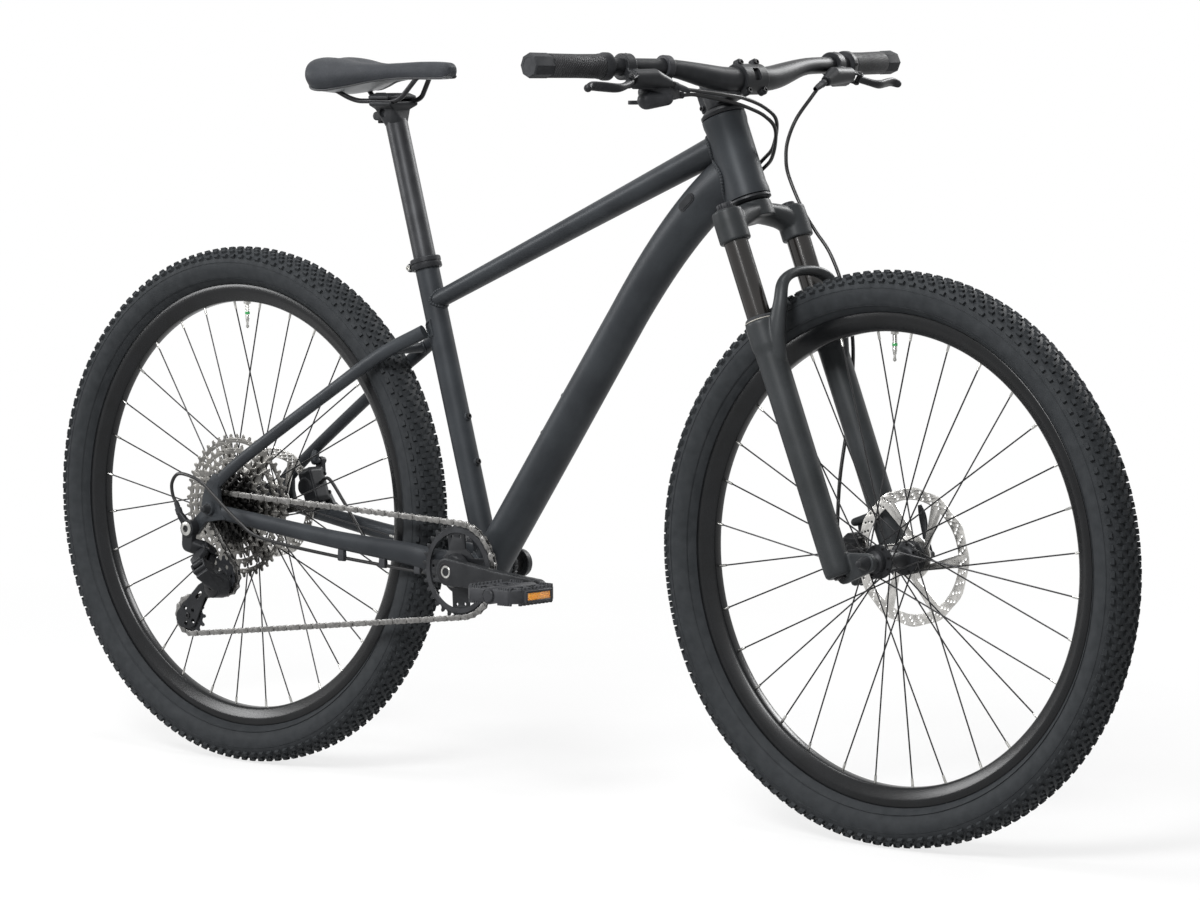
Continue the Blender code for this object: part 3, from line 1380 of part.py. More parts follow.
def crank_left():
    """Other arm, split and clamped on the end of the spindle."""
    bore = rod(bottom_bracket, bottom_bracket + 0.2 * Y, SPINDLE_RADIUS + GAP, sides=16)
    return combine(crank_arm(1), [bore])


def pedal(hand):
    """Platform of moulded plastic with a bored core and open windows."""
    end = crank_end(hand)
    start = ARM_INNER_PLANE + ARM_THICKNESS + 0.0085 + 0.004
    middle = end + hand * (start + PEDAL_WIDTH / 2) * Y
    half_long, half_wide = PEDAL_LENGTH / 2, PEDAL_WIDTH / 2
    outline = [
        (half_long - 0.014, -half_wide),
        (half_long, -half_wide + 0.020),
        (half_long, half_wide - 0.020),
        (half_long - 0.016, half_wide),
        (-half_long + 0.016, half_wide),
        (-half_long, half_wide - 0.020),
        (-half_long, -half_wide + 0.020),
        (-half_long + 0.014, -half_wide),
    ]
    windows = [
        [(s * 0.013, -half_wide + 0.010), (s * 0.034, -half_wide + 0.014), (s * 0.034, half_wide - 0.014), (s * 0.013, half_wide - 0.010)]
        for s in (-1, 1)
    ]
    cage = plate([outline, *windows], PEDAL_HEIGHT - 0.006, placed(middle, Z, X))
    core = rod(middle - half_wide * Y, middle + half_wide * Y, 0.0115, sides=8)
    far = middle + hand * (half_wide - 0.003) * Y
    bore = rod(middle - hand * (half_wide + 0.01) * Y, far + hand * 0.004 * Y, turning_bore(PEDAL_AXLE_RADIUS, 8), sides=8)
    return combine([cage, core], [bore])


def loop_of(bm, points, height):
    """Closed loop of edges through flat points at one height."""
    verts = [bm.verts.new((u, v, height)) for u, v in points]
    return [bm.edges.new(pair) for pair in zip(verts, verts[1:] + verts[:1])]


def cassette(phase):
    """Stack of cogs and spacers round a bore that slides on the freehub, as one closed skin."""
    bm = bmesh.new()
    bore_radius = turning_bore(FREEHUB_RADIUS, 12)
    half = COG_THICKNESS / 2
    last = len(COG_TEETH) - 1
    heights = [-SMALL_COG_PLANE - i * COG_STEP for i in range(last + 1)]
    bore = loop_of(bm, circle((0, 0), bore_radius, 12), heights[last] - half)
    edge = bore
    for i in range(last, -1, -1):
        teeth = COG_TEETH[i]
        outline = toothed(teeth, phase) if i == 0 else zigzag(teeth, 0.1 * i)
        back = loop_of(bm, outline, heights[i] - half)
        front = loop_of(bm, outline, heights[i] + half)
        bmesh.ops.triangle_fill(bm, edges=edge + back, normal=(0, 0, 1), use_beauty=True)
        bmesh.ops.bridge_loops(bm, edges=back + front)
        smaller = pitch_radius(COG_TEETH[max(i - 1, 0)])
        reach = max(min(smaller - 0.0075, 0.0400), bore_radius + 0.0009)
        spacer = circle((0, 0), reach, 12)
        near = loop_of(bm, spacer, heights[i] + half)
        edge = loop_of(bm, spacer, heights[i - 1] - half if i else heights[0] + 0.0035)
        bmesh.ops.triangle_fill(bm, edges=front + near, normal=(0, 0, 1), use_beauty=True)
        bmesh.ops.bridge_loops(bm, edges=near + edge)
    mouth = loop_of(bm, circle((0, 0), bore_radius, 12), heights[0] + 0.0035)
    bmesh.ops.triangle_fill(bm, edges=edge + mouth, normal=(0, 0, 1), use_beauty=True)
    bmesh.ops.bridge_loops(bm, edges=mouth + bore)
    return settle(bm, placed(rear_axle, -Y, X))


# Rear derailleur


def shift_axes():
    """Direction the cage travels across the cogs, the links' mean direction and their pivot axis."""
    travel = (Y - SHIFT_SLOPE * Z).normalized()
    lean = Vector((0.60, 0, -0.80))
    mean = (lean - lean.dot(travel) * travel).normalized()
    return travel, mean, mean.cross(travel)


def link_pivots():
    """Pivots of the outer and inner links on the fixed knuckle, and the links' vector at rest."""
    travel, mean, axis = shift_axes()
    centre = rear_point(-0.012, -0.068, -0.074)
    half = SHIFT_ANGLE / 2
    vector = LINK_LENGTH * (math.cos(half) * mean - math.sin(half) * travel)
    return centre - 0.0085 * travel, centre + 0.0085 * travel, vector


def link(start):
    """Bar between two pivots, bored at each end."""
    _, _, axis = shift_axes()
    vector = link_pivots()[2]
    ends = [rod(p - axis * 0.0078, p + axis * 0.0078, 0.0046, sides=8) for p in (start, start + vector)]
    holes = [rod(p - axis * 0.02, p + axis * 0.02, 0.0022 + GAP, sides=8) for p in (start, start + vector)]
    return combine([hull(*ends)], holes)


def knuckle(pivots, back):
    """Two cheeks with pins for a pair of links, and the block behind the pins that joins them."""
    _, _, axis = shift_axes()
    solids = []
    for side in (-1, 1):
        low, high = axis * side * 0.0083, axis * side * 0.0112
        cheek = [rod(p + low, p + high, 0.0048, sides=8) for p in pivots]
        rear = [rod(p + back * 0.0085 + low, p + back * 0.0085 + high, 0.0030, sides=8) for p in pivots]
        solids.append(hull(*cheek, *rear))
    posts = []
    for p in pivots:
        spot = p + back * 0.0098
        posts.append(rod(spot - axis * 0.0106, spot + axis * 0.0106, 0.0036, sides=8))
    solids.append(hull(*posts))
    solids += [rod(p - axis * 0.0100, p + axis * 0.0100, 0.0022, sides=8) for p in pivots]
    return solids


def derailleur_mount():
    """Fixed knuckle, hung on the frame's hanger by its bolt."""
    travel, mean, axis = shift_axes()
    outer, inner, _ = link_pivots()
    face = -(rear_dropout + DROPOUT_THICKNESS + GAP)
    bolt = rear_point(*HANGER_BOLT)
    collar = rod(bolt + face * Y, bolt + (face - 0.014) * Y, 0.0115, sides=12)
    middle = (outer + inner) / 2 - mean * 0.0105
    elbow = rear_point(-0.036, -0.053)
    arm = hull(
        rod(bolt + (face - 0.003) * Y, bolt + (face - 0.012) * Y, 0.0085, sides=8),
        rod(elbow + (face - 0.003) * Y, elbow + (face - 0.011) * Y, 0.0070, sides=8),
    )
    hand = hull(
        rod(elbow + (face - 0.003) * Y, elbow + (face - 0.011) * Y, 0.0070, sides=8),
        block(middle, (0.012, 0.010, 0.014), axis, travel),
    )
    return combine([*knuckle((outer, inner), -mean), collar, arm, hand])


def derailleur_body():
    """Moving knuckle that carries the cage's pivot."""
    travel, mean, axis = shift_axes()
    outer, inner, vector = link_pivots()
    pivots = (outer + vector, inner + vector)
    pivot = cage_pivot()
    near = pivot - Y * 0.0105
    barrel = rod(near, pivot - Y * 0.0300, 0.0150, 0.0130, 12)
    middle = (pivots[0] + pivots[1]) / 2 + mean * 0.0105
    ahead = X * 0.008
    arm = hull(
        rod(near - Y * 0.004 + ahead, pivot - Y * 0.0280 + ahead, 0.0060, sides=8),
        block(middle + mean * 0.003, (0.012, 0.008, 0.016), axis, travel),
    )
    return combine([*knuckle(pivots, mean), barrel, arm])


def derailleur_cage(cage_angle):
    """Two plates that hold the pulleys, joined by the pulley bolts."""
    pivot = cage_pivot()
    guide = pivot + guide_offset()
    reach = Vector((math.cos(cage_angle), 0, math.sin(cage_angle)))
    tension = guide + CAGE_LENGTH * reach
    solids = []
    for low, high in ((-0.0072, -0.0052), (0.0052, 0.0068)):
        spots = [(guide, 0.0085), (pivot, 0.0115 if low < 0 else 0.0060), (tension, 0.0095)]
        discs = {}
        for i, (spot, radius) in enumerate(spots):
            discs[i] = (spot + low * Y, spot + high * Y, radius)
        solids.append(hull(*[rod(a, b, r, sides=8) for a, b, r in (discs[0], discs[1])]))
        middle = (guide + tension) / 2
        side = Vector((-reach.z, 0, reach.x))
        belly = middle - side * 0.010
        bend = (belly + low * Y, belly + high * Y, 0.0065)
        solids.append(hull(*[rod(a, b, r, sides=8) for a, b, r in (discs[0], bend)]))
        solids.append(hull(*[rod(a, b, r, sides=8) for a, b, r in (bend, discs[2])]))
    for spot in (guide, tension):
        solids.append(rod(spot - 0.0084 * Y, spot + 0.0080 * Y, 0.0030, sides=8))
    stub = rod(pivot - 0.0100 * Y, pivot - 0.0060 * Y, 0.0120, sides=12)
    return combine([*solids, stub])


def pulley(centre, phase):
    outlines = [toothed(PULLEY_TEETH, phase), circle((0, 0), 0.0030 + GAP, 8)]
    return plate(outlines, 0.0022, flat_on(centre, SMALL_COG_PLANE))


# Hoses and housings


def hose(points, count, radius=HOSE_RADIUS):
    return pipe(curve_through(points, count), radius, 6, across=Vector((0.31, 0.87, 0.38)))


def port_point(up):
    """Cable port on the left of the down tube behind the head tube."""
    path = down_tube_path(5)
    return path[-2].lerp(path[-1], 0.10) + up * (path[-1] - path[-2]).normalized()


def lever_nose(hand):
    here, outward, ahead = bar_frame(hand, lever_place)
    return here - outward * 0.0535 + ahead * 0.0225, -outward


def front_brake_hose():
    start, out = lever_nose(1)
    centre, outward, _ = front_caliper_frame()
    tangent = outward.cross(Y)
    leg = LEG_SPACING / 2
    end = centre + outward * 0.0262 + Y * 0.003
    points = [
        start,
        start + out * 0.022,
        fork_point(0.668, 0.150, 0.085),
        fork_point(0.610, 0.160, 0.066),
        fork_point(0.500, 0.105, 0.088),
        fork_point(0.400, 0.020, 0.098),
        fork_point(0.300, -0.020, 0.0800),
        fork_point(0.200, -0.028, 0.0660),
        fork_point(0.130, -0.0400, 0.0560),
        end + outward * 0.016 + tangent * 0.004,
        end,
    ]
    return hose(points, 30)


def rear_brake_hose_front():
    start, out = lever_nose(-1)
    target = port_point(0.004)
    points = [
        start,
        start + out * 0.022,
        fork_point(0.690, 0.120, -0.050),
        fork_point(0.655, 0.140, 0.000),
        fork_point(0.610, 0.110, 0.040),
        fork_point(0.575, 0.050, 0.060),
        target + Vector((0.012, 0.034, 0.010)),
        target + Vector((0, DOWN_TUBE_RADIUS + 0.0040, 0)),
    ]
    return hose(points, 22)


def shift_housing_front():
    centre, outward, ahead = shifter_centre()
    start = centre - outward * 0.0375 + X * 0.004
    target = port_point(-0.016)
    points = [
        start,
        start - outward * 0.022,
        fork_point(0.640, 0.110, -0.046),
        fork_point(0.610, 0.128, 0.000),
        fork_point(0.570, 0.100, 0.040),
        fork_point(0.540, 0.040, 0.058),
        target + Vector((0.014, 0.034, 0.006)),
        target + Vector((0, DOWN_TUBE_RADIUS + 0.0040, 0)),
    ]
    return hose(points, 22)


def stay_route(hand, below):
    """Line that follows a chainstay just under or inside it."""
    bb = bottom_bracket - rear_axle
    spots = [(bb.x - 0.060, bb.z + 0.006, 0.0385), (bb.x - 0.110, bb.z + 0.010, 0.0415), (bb.x - 0.240, bb.z + 0.020, 0.0560)]
    return [rear_point(x, z - below, hand * y) for x, z, y in spots]


def shift_housing_stay():
    """Housing under the drive-side chainstay that loops behind the dropout to the derailleur."""
    low = 0.0146 + HOSE_RADIUS
    route = stay_route(-1, low)
    bolt = rear_point(*HANGER_BOLT)
    end = bolt + Vector((-0.0165, -0.0930, -0.004))
    points = [
        route[0],
        route[1],
        route[2] + Z * 0.002,
        rear_point(0.060, -0.026, -0.0790),
        rear_point(0.010, 0.010, -0.0950),
        rear_point(-0.030, 0.030, -0.0990),
        rear_point(-0.068, 0.020, -0.0970),
        rear_point(-0.072, -0.014, -0.0940),
        end,
    ]
    return hose(points, 24)


def rear_brake_hose_stay():
    """Hose under the other chainstay, up to the rear caliper."""
    low = 0.0146 + HOSE_RADIUS
    route = stay_route(1, low)
    centre, outward, _ = rear_caliper_frame()
    end = centre + outward * 0.0237 + 0.002 * Y
    points = [
        route[0],
        route[1],
        route[2] + Vector((0.030, -0.006, -0.002)),
        rear_point(0.182, -0.050, 0.0440),
        rear_point(0.150, -0.012, 0.0440),
        rear_point(0.136, 0.040, 0.0500),
        end + outward * 0.018,
        end,
    ]
    return hose(points, 18)


def build():
    steer = joint("steering", fork_point(head_top))
    lower = joint("fork_travel", fork_point(LOWER_TOP), steer)
    front_spin = joint("front_wheel_spin", front_axle, lower)
    rear_spin = joint("rear_wheel_spin", rear_axle)
    cog_spin = joint("cassette_spin", rear_axle)
    crank_spin = joint("crank_spin", bottom_bracket)
    seat = joint("seatpost_slide", seat_point(SEAT_TUBE_LENGTH))

    piece("front_triangle", front_triangle(), FRAME_PAINT)
    piece("rear_stay_right", rear_stay(-1), FRAME_PAINT)
    piece("rear_stay_left", rear_stay(1), FRAME_PAINT)
    piece("stay_bridge", stay_bridge(), FRAME_PAINT)
    piece("bottom_bracket", bottom_bracket_unit(), BLACK_ANODISED)
    piece("headset_lower", headset_cup(head_bottom, -1, LOWER_CUP_STACK, turning_bore(STEERER_BASE_RADIUS, 16)), BLACK_ANODISED)
    piece("headset_upper", headset_cup(head_top, 1, UPPER_CUP_STACK, turning_bore(STEERER_RADIUS, 16)), BLACK_ANODISED)
    piece("seat_clamp", seat_clamp(), BLACK_ANODISED)
    piece("rear_axle", skewer(rear_axle, rear_dropout + DROPOUT_THICKNESS, 0.0085), BLACK_ANODISED)
    piece("rear_brake_caliper", caliper(*rear_caliper_frame()), BLACK_ANODISED)
    piece("rear_brake_hose_stay", rear_brake_hose_stay(), HOSE_JACKET)
    piece("shift_housing_stay", shift_housing_stay(), HOSE_JACKET)

    piece("seatpost", seatpost(), BLACK_ANODISED, seat)
    piece("saddle_clamp", saddle_clamp(), BLACK_ANODISED, seat)
    piece("saddle_rails", saddle_rails(), BLACK_ANODISED, seat)
    piece("saddle", saddle(), SADDLE_COVER, seat)

    piece("fork_crown", fork_crown(), FORK_PAINT, steer)
    piece("stanchion_right", stanchion(-1), STANCHION_COAT, steer)
    piece("stanchion_left", stanchion(1), STANCHION_COAT, steer)
    piece("stem", stem(), BLACK_ANODISED, steer)
    piece("stem_faceplate", stem_faceplate(), BLACK_ANODISED, steer)
    piece("handlebar", handlebar(), BLACK_ANODISED, steer)
    for hand, side in ((-1, "right"), (1, "left")):
        piece("grip_" + side, grip(hand), GRIP_RUBBER, steer)
        piece("lever_body_" + side, lever_body(hand), BLACK_ANODISED, steer)
        hinge = joint("brake_lever_" + side + "_hinge", lever_hinge(hand), steer)
        piece("brake_lever_" + side, brake_lever(hand), BLACK_ANODISED, hinge)
    piece("shifter_body", shifter_body(), BLACK_PLASTIC, steer)
    pod, *_ = shifter_centre()
    for name, level, reach, sweep in (("shift_lever", 0.0079, 0.034, 0.35), ("release_lever", 0.0114, 0.026, -0.55)):
        hinge = joint(name + "_hinge", pod - Z * level, steer)
        piece(name, shift_paddle(level, reach, sweep), BLACK_PLASTIC, hinge)
    piece("front_brake_hose", front_brake_hose(), HOSE_JACKET, steer)
    piece("rear_brake_hose_front", rear_brake_hose_front(), HOSE_JACKET, steer)
    piece("shift_housing_front", shift_housing_front(), HOSE_JACKET, steer)

    piece("fork_lowers", fork_lowers(), FORK_PAINT, lower)
    piece("front_axle", skewer(front_axle, front_dropout + 0.0105, 0.0090), BLACK_ANODISED, lower)
    piece("front_brake_caliper", caliper(*front_caliper_frame()), BLACK_ANODISED, lower)
    lever = joint("axle_lever_hinge", lever_pivot(), lower)
    piece("axle_lever", axle_lever(), BLACK_ANODISED, lever)

    front_flanges = (-0.0330, 0.0210)
    shell = hub_shell(FRONT_HUB_WIDTH / 2, front_flanges, 0.0220, 0.0120, FRONT_ROTOR_PLANE - ROTOR_THICKNESS / 2 - GAP)
    piece("front_tyre", tyre(front_axle), TYRE_RUBBER, front_spin)
    piece("front_rim", rim(front_axle), BLACK_ANODISED, front_spin)
    piece("front_hub", hub_with_spokes(front_axle, shell, front_flanges, 0.0220), BLACK_ANODISED, front_spin)
    piece("front_rotor", rotor(front_axle, FRONT_ROTOR_PLANE, FRONT_ROTOR_RADIUS), STEEL, front_spin)

    rear_flanges = (-0.0165, 0.0340)
    shell = hub_shell(
        REAR_HUB_WIDTH / 2, rear_flanges, 0.0270, 0.0150, REAR_ROTOR_PLANE - ROTOR_THICKNESS / 2 - GAP, SMALL_COG_PLANE - 0.001
    )
    piece("rear_tyre", tyre(rear_axle), TYRE_RUBBER, rear_spin)
    piece("rear_rim", rim(rear_axle), BLACK_ANODISED, rear_spin)
    piece("rear_hub", hub_with_spokes(rear_axle, shell, rear_flanges, 0.0270), BLACK_ANODISED, rear_spin)
    piece("rear_rotor", rotor(rear_axle, REAR_ROTOR_PLANE, REAR_ROTOR_RADIUS), STEEL, rear_spin)

    cage_angle, links = fitted_cage_angle()
    course = chain_course(cage_angle)
    wheels = chain_wheels(cage_angle)
    phases = [wheel_phase(course, wheel[0], 0.0) for wheel in wheels]
    piece("chain", chain(course, links), CHAIN_STEEL)
    piece("cassette", cassette(phases[0]), COG_STEEL, cog_spin)
    piece("crank_right", crank_right(), BLACK_ANODISED, crank_spin)
    piece("chainring", chainring(phases[1]), BLACK_ANODISED, crank_spin)
    piece("crank_left", crank_left(), BLACK_ANODISED, crank_spin)
    for hand, side in ((-1, "right"), (1, "left")):
        spin = joint("pedal_" + side + "_spin", crank_end(hand), crank_spin)
        piece("pedal_" + side, pedal(hand), BLACK_PLASTIC, spin)

    outer, inner, vector = link_pivots()
    piece("derailleur_mount", derailleur_mount(), BLACK_ANODISED)
    outer_swing = joint("derailleur_shift", outer)
    inner_swing = joint("derailleur_inner_swing", inner)
    body_swing = joint("derailleur_body_level", outer + vector, outer_swing)
    cage_swing = joint("cage_tension", cage_pivot(), body_swing)
    piece("derailleur_outer_link", link(outer), BLACK_ANODISED, outer_swing)
    piece("derailleur_inner_link", link(inner), BLACK_ANODISED, inner_swing)
    piece("derailleur_body", derailleur_body(), BLACK_ANODISED, body_swing)
    piece("derailleur_cage", derailleur_cage(cage_angle), BLACK_ANODISED, cage_swing)
    for name, wheel, phase in (("guide_pulley", wheels[3], phases[3]), ("tension_pulley", wheels[2], phases[2])):
        spin = joint(name + "_spin", wheel[0], cage_swing)
        piece(name, pulley(wheel[0], phase), BLACK_PLASTIC, spin)


build()
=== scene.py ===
import math

import bmesh
import bpy
from mathutils import Matrix, Vector


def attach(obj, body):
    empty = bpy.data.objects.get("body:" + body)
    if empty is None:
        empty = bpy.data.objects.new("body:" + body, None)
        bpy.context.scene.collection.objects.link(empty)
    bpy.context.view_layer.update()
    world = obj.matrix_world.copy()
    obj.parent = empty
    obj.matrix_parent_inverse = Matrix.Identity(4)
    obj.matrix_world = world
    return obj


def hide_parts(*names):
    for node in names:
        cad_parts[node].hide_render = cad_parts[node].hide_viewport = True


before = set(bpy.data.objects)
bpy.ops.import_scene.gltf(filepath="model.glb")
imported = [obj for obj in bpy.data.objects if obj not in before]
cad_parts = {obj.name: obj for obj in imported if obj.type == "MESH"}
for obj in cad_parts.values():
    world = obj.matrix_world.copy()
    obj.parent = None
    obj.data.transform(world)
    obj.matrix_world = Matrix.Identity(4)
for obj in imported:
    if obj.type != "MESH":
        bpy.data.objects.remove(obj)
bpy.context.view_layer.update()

TAU = 2 * math.pi
X, Y, Z = Vector((1, 0, 0)), Vector((0, 1, 0)), Vector((0, 0, 1))
MM = 0.001
SIDES = ((-1, "right"), (1, "left"))

WHITE = (1, 1, 1, 1)
AMBIENT = 0.14

# Sizes of the bike in metres. Planes lie across it, and drops are the dropouts' inner faces
WHEEL = 0.371
HALF_BASE = 0.583
CHAINSTAY = 0.461
BRACKET_DROP = 0.059
BRACKET_RADIUS = 0.0208
FORK_OFFSET = 0.051
HEAD_ANGLE = math.radians(68.0)
SEAT_ANGLE = math.radians(74.3)
DOWN_ANGLE = math.radians(54.5)
HEAD_BOTTOM, HEAD_TOP = 0.5126, 0.6276
HEAD_RADIUS = 0.0295
CROWN = 0.505
STEM_LOW, STEM_HIGH = 0.6386, 0.6786
STEM_MID = 0.6586
STEM_REACH = 0.055
SEAT_TUBE = 0.44
SEAT_RADIUS = 0.0168
SEAT_LEAD = 0.01
POST_EXPOSED = 0.207
RAIL_LIFT = 0.0165
DOWN_RADIUS = 0.0268
SEAT_BOSS, DOWN_BOSS, BOSS_GAP = 0.404 * SEAT_TUBE, 0.215, 0.064
LEG = 0.0645
LEG_LEAD = 0.0085
LOWER_TOP = 0.344
BAR_HALF = 0.372
BAR_RADIUS = 0.0159
BAR_RISE = 0.02
BAR_SWEEP = 0.049
GRIP_LENGTH = 0.13
LEVER_PLACE = 0.214
LEVER_TILT = math.radians(32)
SHIFTER_PLACE = 0.146
SHIFT_PADDLES = (("shift_lever", 0.0079, 0.034, 0.35), ("release_lever", 0.0114, 0.026, -0.55))
HOSE_RADIUS = 0.0025
PORT_LIFTS = (0.004, -0.016)
FRONT_ROTOR_PLANE, FRONT_ROTOR = 0.0385, 0.09
REAR_ROTOR_PLANE, REAR_ROTOR = 0.053, 0.08
CALIPER_INSET = 0.008
FRONT_SPREAD, REAR_SPREAD = 0.039, 0.034
POST_HEIGHT = 0.0077
SPOKES = 32
PITCH = 0.0127
RING_PLANE = -0.052
RING_TEETH = 32
PULLEY_TEETH = 13
CAGE_LENGTH = 0.093
LINK_LENGTH = 0.042
COG_PLANE = -0.062
COGS = (11, 13, 15, 17, 20, 23, 26, 30, 36, 43, 50)
COG_STEP = 0.00385
CRANK = 0.17
CRANK_TURN = math.radians(-3.8)
CRANK_INNER, CRANK_THICK, CRANK_FLARE = 0.066, 0.0125, 0.0085
REAR_DROP = 0.0708
DROPOUT_THICK = 0.008
FRONT_DROP = 0.0503
FOOT_THICK = 0.0105

rear_axle = Vector((-HALF_BASE, 0, WHEEL))
front_axle = Vector((HALF_BASE, 0, WHEEL))
bottom_bracket = rear_axle + Vector((math.sqrt(CHAINSTAY**2 - BRACKET_DROP**2), 0, -BRACKET_DROP))
steer_up = Vector((-math.cos(HEAD_ANGLE), 0, math.sin(HEAD_ANGLE)))
steer_forward = Vector((math.sin(HEAD_ANGLE), 0, math.cos(HEAD_ANGLE)))
steer_foot = front_axle - FORK_OFFSET * steer_forward
seat_up = Vector((-math.cos(SEAT_ANGLE), 0, math.sin(SEAT_ANGLE)))
seat_forward = Vector((math.sin(SEAT_ANGLE), 0, math.cos(SEAT_ANGLE)))
seat_foot = bottom_bracket + SEAT_LEAD * X


def heading(angle):
    """The way at an angle above +X, seen from the bike's right."""
    return Vector((math.cos(angle), 0, math.sin(angle)))


def polar(radius, angle):
    return (radius * math.cos(angle), radius * math.sin(angle))


def fork_point(up, forward=0.0, left=0.0):
    """Measured along the steering axis from the foot of the axle on it."""
    return steer_foot + up * steer_up + forward * steer_forward + left * Y


def seat_point(up, forward=0.0, left=0.0):
    """Measured along the seat tube from the bottom bracket."""
    return seat_foot + up * seat_up + forward * seat_forward + left * Y


def rear_point(forward, up, left=0.0):
    """Measured from the middle of the rear axle."""
    return rear_axle + Vector((forward, left, up))


def fork_points(*spots):
    return [fork_point(*spot) for spot in spots]


def rear_points(*spots):
    return [rear_point(*spot) for spot in spots]


def bar_point(left):
    """Centre of the handlebar, which rises and sweeps back towards its ends."""
    clamp = BAR_RADIUS * 2.2
    run = max(abs(left) - clamp, 0) / (BAR_HALF - clamp)
    bend = min(run / 0.36, 1)
    lift = BAR_RISE * (0.72 * bend * bend * (3 - 2 * bend) + 0.28 * run)
    return fork_point(STEM_MID, STEM_REACH) + Vector((-BAR_SWEEP * run, left, lift))


def bar_frame(hand, place):
    """Point on the bar, its way outward, and the way a brake lever reaches ahead of it."""
    here = bar_point(hand * place)
    outward = (bar_point(hand * (place + 0.01)) - here).normalized()
    ahead = heading(-LEVER_TILT)
    ahead = (ahead - ahead.dot(outward) * outward).normalized()
    return here, outward, ahead


# Modelling


def placed(origin, along, across=X):
    """Matrix whose local z runs along a direction and whose local x lies nearest to across."""
    up = along.normalized()
    side = across - across.dot(up) * up
    if side.length < 1e-4:
        side = Z - Z.dot(up) * up
    side.normalize()
    turn = Matrix((side, up.cross(side), up)).transposed().to_4x4()
    turn.translation = origin
    return turn


def settle(bm, place=None):
    """Joined seams, normals outward, and the shape moved into its place."""
    bmesh.ops.remove_doubles(bm, verts=bm.verts, dist=1e-6)
    bmesh.ops.recalc_face_normals(bm, faces=bm.faces)
    if place:
        bm.transform(place)
    return bm


def rod(start, end, radius, end_radius=None, sides=24, soft=0.0):
    """Straight round bar, with its rims rounded over where soft is given."""
    along = end - start
    bm = bmesh.new()
    bmesh.ops.create_cone(
        bm, cap_ends=True, segments=sides, radius1=radius, depth=along.length,
        radius2=radius if end_radius is None else end_radius,
    )
    if soft:
        rims = [edge for edge in bm.edges if any(len(face.verts) > 4 for face in edge.link_faces)]
        bmesh.ops.bevel(
            bm, geom=rims, offset=soft, segments=2, profile=0.5, affect="EDGES", material=-1
        )
    bm.transform(placed((start + end) / 2, along))
    return bm


def pin(centre, way, half, radius, sides=24, soft=0.0):
    """Rod that reaches as far to both sides of a point."""
    return rod(centre - half * way, centre + half * way, radius, sides=sides, soft=soft)


def crossbar(spot, near, far, radius, sides=24):
    """Rod across the bike between two distances to the left of a point."""
    return rod(spot + near * Y, spot + far * Y, radius, sides=sides)


def turned(profile, place, steps=48, closed=False):
    """Profile of (radius, height) points spun about the local z axis."""
    bm = bmesh.new()
    points = [bm.verts.new((radius, 0, height)) for radius, height in profile]
    pairs = list(zip(points, points[1:]))
    if closed:
        pairs.append((points[-1], points[0]))
    edges = [bm.edges.new(pair) for pair in pairs]
    bmesh.ops.spin(
        bm, geom=points + edges, cent=(0, 0, 0), axis=(0, 0, 1), angle=TAU, steps=steps,
        use_merge=True,
    )
    return settle(bm, place)


def mirrored(half):
    """Profile from its upper half, given from the end inwards."""
    return [(radius, -height) for radius, height in half] + half[::-1]


def block(centre, size, along=Z, across=X, soft=0.0):
    """Box round a centre, with its edges rounded over where soft is given."""
    bm = bmesh.new()
    bmesh.ops.create_cube(bm, size=1)
    bmesh.ops.scale(bm, vec=size, verts=bm.verts)
    if soft:
        bmesh.ops.bevel(
            bm, geom=bm.edges[:], offset=soft, segments=3, profile=0.5, affect="EDGES", material=-1
        )
    bm.transform(placed(centre, along, across))
    return bm


def loft(points, sizes, sides=24, across=Y, caps=True):
    """Tube through the points, each with its half width (along across) and half height."""
    bm = bmesh.new()
    loops = []
    for i, point in enumerate(points):
        along = points[min(i + 1, len(points) - 1)] - points[max(i - 1, 0)]
        place = placed(point, along, across) @ Matrix.Diagonal((*sizes[i], 1, 1))
        made = bmesh.ops.create_circle(bm, segments=sides, radius=1, matrix=place)
        loops.append(list({edge for vert in made["verts"] for edge in vert.link_edges}))
    for near, far in zip(loops, loops[1:]):
        bmesh.ops.bridge_loops(bm, edges=near + far)
    if caps:
        for end in (loops[0], loops[-1]):
            bmesh.ops.contextual_create(bm, geom=end)
    return settle(bm)


def curve_through(points, count):
    """Points spaced along a smooth curve that passes through the given ones."""
    ends = [2 * points[0] - points[1], *points, 2 * points[-1] - points[-2]]
    spans = len(points) - 1
    found = []
    for i in range(count):
        share = i / (count - 1) * spans
        k = min(int(share), spans - 1)
        t = share - k
        a, b, c, d = ends[k : k + 4]
        bend = (2 * a - 5 * b + 4 * c - d) * t * t + (3 * b - a - 3 * c + d) * t**3
        found.append(b + 0.5 * ((c - a) * t + bend))
    return found


def numbers_through(values, count):
    """The same smooth spacing for plain numbers."""
    return [p.x for p in curve_through([Vector((v, 0, 0)) for v in values], count)]


def swept(points, sizes, count, sides=24, across=Y):
    """Loft through a few stations, with many smooth ones between."""
    wide = numbers_through([a for a, _ in sizes], count)
    high = numbers_through([b for _, b in sizes], count)
    return loft(curve_through(points, count), list(zip(wide, high)), sides, across)


def from_curve(curve):
    """Mesh of a curve, which is used up."""
    holder = bpy.data.objects.new("outline", curve)
    mesh = bpy.data.meshes.new_from_object(holder)
    bm = bmesh.new()
    bm.from_mesh(mesh)
    bpy.data.objects.remove(holder)
    bpy.data.meshes.remove(mesh)
    bpy.data.curves.remove(curve)
    return bm


